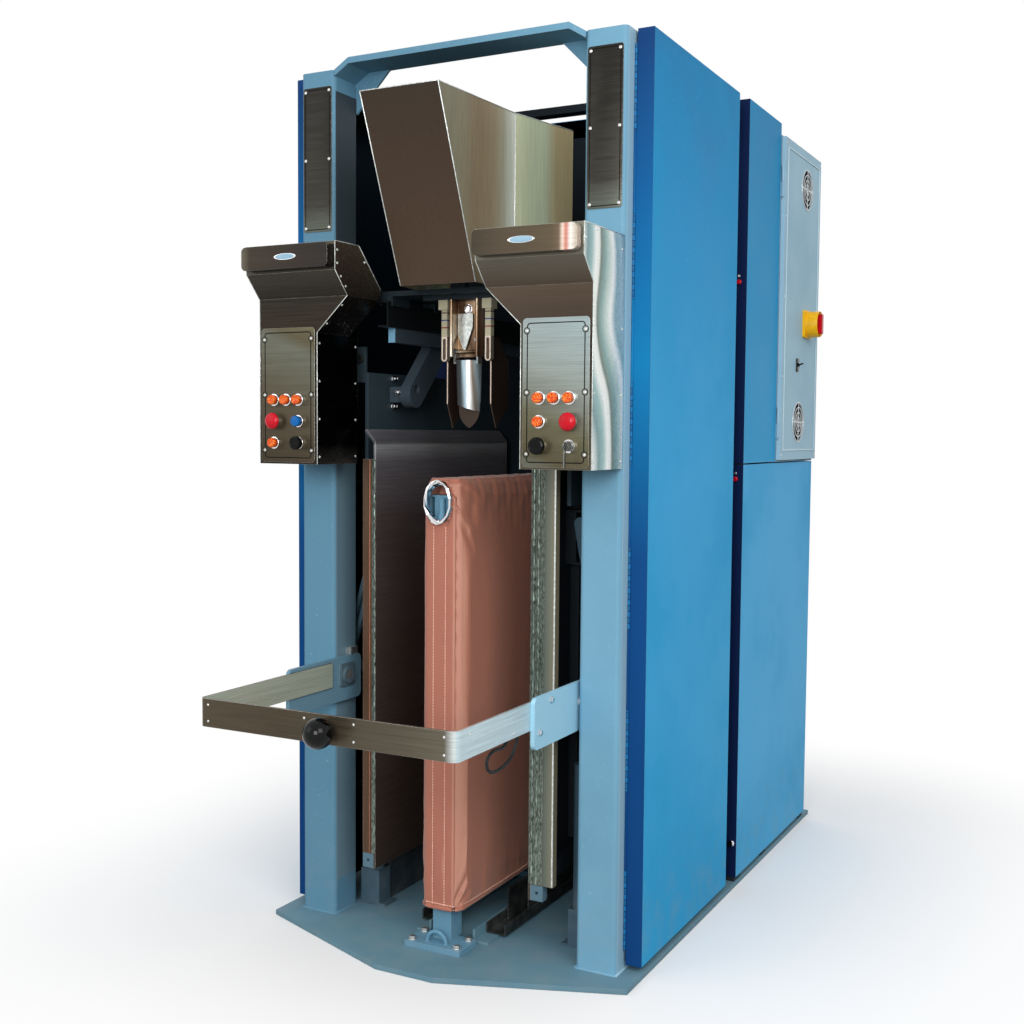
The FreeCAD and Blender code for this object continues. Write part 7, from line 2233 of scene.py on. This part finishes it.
@dataclass
class EnclosureTrim:
    """Screws, small switch, folded rim and disconnect shroud of the electrical enclosure's door."""

    face: float = 505.3
    screw_depths: Row = (1052.0, 1429.0)
    screw_levels: Row = (1196.0, 1428.0, 1660.0, 1892.0, 2104.0)
    screw: Pair = (3.6, 1.8)
    switch_low: Point = (505.3, 1194.0, 1448.0)
    switch_high: Point = (508.3, 1220.0, 1488.0)
    switch_eased: float = 1.2
    toggle_foot: Point = (508.3, 1207.0, 1468.0)
    toggle: Pairs = ((6.0, 0.0), (6.0, 4.0), (3.0, 5.0), (2.2, 6.0), (2.6, 15.0), (2.0, 16.5))
    toggle_way: Point = (0.9, 0.0, 0.25)
    rim_near: float = 1066.0
    rim_far: float = 1420.0
    rim_low: float = 1210.0
    rim_high: float = 2092.0
    rim_half: float = 1.8
    rim_height: float = 2.2
    rim_eased: float = 0.6
    handle: Point = (513.3, 1300.0, 1597.0)
    shroud_radius: float = 41.0
    shroud_steps: Pairs = ((6.0, 0.97), (29.0, 1.0), (1.5, 0.97), (-1.5, 0.955), (-35.0, 1.0))

    def build(self) -> None:
        """Set the screws, then the switch, the rim and the shroud."""
        points = (spot(self.face, depth, level) for depth in self.screw_depths for level in self.screw_levels)
        places = footings(points, ACROSS)
        screw = pan_head(*self.screw)
        row(screw, "enclosure_door_screws", places, "enclosure_door", Finishes.zinc, "zinc")
        self.switch()
        self.rim()
        self.shroud()

    def switch(self) -> None:
        """Make the small toggle switch on its plate."""
        plate = block("plate", spot(*self.switch_low), spot(*self.switch_high))
        ease(plate, self.switch_eased * MM, 2, sharp)
        toggle = turned("toggle", self.toggle, 14)
        stand(toggle, spot(*self.toggle_foot), self.toggle_way)
        switch = joined("enclosure_switch", [plate, toggle])
        smooth(switch, 40.0)
        fit(switch, "enclosure_door", Finishes.black, "black_plastic")

    def rim(self) -> None:
        """Make the folded edge that stands up round the door, in a paler paint as a painted highlight."""
        half, top = self.rim_half, self.face + self.rim_height
        near, far, low, high = self.rim_near, self.rim_far, self.rim_low, self.rim_high
        spans = [(depth - half, low - half, depth + half, high + half) for depth in (near, far)]
        spans += [(near + half, level - half, far - half, level + half) for level in (low, high)]
        strips = []
        for first_depth, first_level, second_depth, second_level in spans:
            first = spot(self.face, first_depth, first_level)
            strips.append(block("strip", first, spot(top, second_depth, second_level)))
        for strip in strips:
            ease(strip, self.rim_eased * MM, 2, sharp)
        rim = joined("enclosure_door_rim", strips)
        smooth(rim, 40.0)
        fit(rim, "enclosure_door", Finishes.enclosure_rim_highlight, "enclosure_paint")

    def shroud(self) -> None:
        """Draw up the yellow rim that stands round the disconnect handle."""
        clear()
        centre = spot(*self.handle)
        bpy.ops.mesh.primitive_circle_add(
            vertices=40, radius=self.shroud_radius * MM, fill_type="NOTHING", location=centre,
            rotation=(0.0, math.pi / 2.0, 0.0),
        )
        shroud = named("disconnect_shroud")
        bpy.ops.object.mode_set(mode="EDIT")
        bpy.ops.mesh.select_mode(type="EDGE")
        bpy.ops.mesh.select_all(action="SELECT")
        for rise, share in self.shroud_steps:
            step = Vector((rise * MM, 0.0, 0.0))
            bpy.ops.mesh.extrude_region_move(TRANSFORM_OT_translate={"value": step})
            centre = centre + step
            bpy.ops.transform.resize(value=(1.0, share, share), center_override=centre)
        bpy.ops.mesh.select_all(action="DESELECT")
        bpy.ops.mesh.select_non_manifold()
        bpy.ops.mesh.bridge_edge_loops()
        bpy.ops.mesh.select_all(action="SELECT")
        bpy.ops.mesh.normals_make_consistent(inside=False)
        bpy.ops.object.mode_set(mode="OBJECT")
        smooth(shroud, 50.0)
        fit(shroud, "enclosure_door", Finishes.yellow, "orange_plastic")


@dataclass
class DoorTrim:
    """Latch studs between the side doors and the rear panels."""

    depth: float = 729.0
    inset: float = 472.0
    levels: Row = (1668.0, 1134.0)
    bolt_rise: float = 16.0
    bolt: Pair = (4.0, 3.0)
    knob_inset: float = 482.0
    knob_level: float = 124.0
    stud: Pairs = ((7.0, 0.0), (7.0, 4.0), (6.0, 6.0), (3.0, 7.0))
    knob: Pairs = ((5.0, 0.0), (5.0, 8.0), (9.0, 10.0), (10.0, 14.0), (8.0, 18.0), (3.0, 19.0))

    def build(self) -> None:
        """Set a red button under a chrome bolt at two levels, and a knob near the floor, on both sides."""
        for side in Side:
            name = f"{side.word}_latch"
            for number, level in enumerate(self.levels, 1):
                stud = turned("stud", self.stud, 20)
                feet = footings([side.spot(self.inset, self.depth, level)], FORWARD)
                row(stud, f"{name}_button_{number}", feet, "frame", Finishes.red, "red_plastic", 40.0)
                bolt = pan_head(*self.bolt)
                feet = footings([side.spot(self.inset, self.depth, level + self.bolt_rise)], FORWARD)
                row(bolt, f"{name}_bolt_{number}", feet, "frame", Finishes.chrome, "chrome")
            knob = turned("knob", self.knob, 12)
            feet = footings([side.spot(self.knob_inset, self.depth, self.knob_level)], FORWARD)
            row(knob, f"{name}_knob", feet, "frame", Finishes.chrome, "chrome", 40.0)


@dataclass
class FloorTrim:
    """Bolts of the buck slabs and weld fillets at the column feet."""

    slab_top: float = 26.0
    base_top: float = 12.0
    bolt_columns: Row = (-62.0, 62.0)
    bolt_depths: Row = (-68.0, -12.0, 495.0, 551.0)
    bolt: Pairs = ((11.0, 0.0), (11.0, 1.6), (9.0, 1.6), (9.0, 7.0), (8.0, 8.0), (4.0, 8.2))
    column_inner: float = 341.4
    column_outer: float = 443.0
    column_depth: float = 101.6
    fillet: float = 4.0

    def build(self) -> None:
        """Set the bolts and draw the fillets."""
        points = (spot(x, depth, self.slab_top) for x in self.bolt_columns for depth in self.bolt_depths)
        bolt = turned("bolt", self.bolt, 6)
        row(bolt, "slab_bolts", footings(points, UP), "frame", Finishes.zinc, "zinc")
        inner, outer, rear = self.column_inner, self.column_outer, self.column_depth
        corners = [(inner, 0.0), (outer, 0.0), (outer, rear), (inner, rear), (inner, 0.0)]
        runs = [[side.spot(*corner, self.base_top) for corner in corners] for side in Side]
        beads("column_foot_welds", runs, self.fillet, "frame", Finishes.frame, "frame_paint")


class Dressing:
    """Finishes for the CAD nodes that stay on show."""

    TABLE: dict[Finish, tuple[str, ...]] = {
        Finishes.base: ("base_plate", "floor_rails"),
        Finishes.frame: ("left_column", "right_column", "lintel", "buck_frame"),
        Finishes.inner: ("rear_frame",),
        Finishes.hinge: ("door_hinges",),
        Finishes.panel: ("left_rear_panels", "right_rear_panels"),
        Finishes.covers: ("cabinet_covers",),
        Finishes.door: ("left_door", "right_door"),
        Finishes.enclosure: ("electrical_enclosure",),
        Finishes.enclosure_door: ("enclosure_door",),
        Finishes.black: ("upper_fan", "lower_fan"),
        Finishes.red: ("disconnect_handle",),
        Finishes.left_box: ("left_control_box",),
        Finishes.right_box: ("right_control_box",),
        Finishes.faceplate: ("control_faceplates",),
        Finishes.push_bar: ("left_push_bar", "right_push_bar"),
        Finishes.key: ("right_key_switch",),
        Finishes.chrome: ("button_bezels", "left_cylinder_rod", "right_cylinder_rod"),
        Finishes.inner_painted_shade: ("head_guides",),
        Finishes.lever: ("head_cylinders", "left_lever", "right_lever"),
        Finishes.press_plate: ("left_press_plate", "right_press_plate"),
        Finishes.chest: ("left_head_frame", "right_head_frame"),
        Finishes.black_paint: ("floor_channels",),
        Finishes.zinc: ("carriage_cylinder", "guard_pivots"),
        Finishes.guard: ("guard_bar",),
        Finishes.rails: ("carriage_rails",),
        Finishes.carriage: ("carriage",),
        Finishes.hood: ("hood",),
        Finishes.waist: ("left_waist_arm", "right_waist_arm"),
        Finishes.jaw: ("fly_clamp_jaw",),
    }

    def build(self) -> None:
        """Give each shown CAD node its finish."""
        finishes = {name: finish for finish, names in self.TABLE.items() for name in names}
        for name, node in frame["nodes"].items():
            if node.hide_render:
                continue
            node.data.materials.clear()
            node.data.materials.append(finishes[name].material())
            LOG.info("%s dressed", name)


def main() -> None:
    """Build every sub-assembly in order."""
    logging.basicConfig(level=logging.INFO, format="%(message)s")
    assemblies = (
        Studio, GuardCable, ColumnPlates, ControlBoxTrim, Buttons, PushBarTrim, HoodTrim, HeadTrim, BuckCover,
        GuardTrim, ClampTrim, MechanismTrim, EnclosureTrim, DoorTrim, FloorTrim, Dressing,
    )
    for assembly in assemblies:
        assembly().build()


if __name__ == "__main__":
    main()
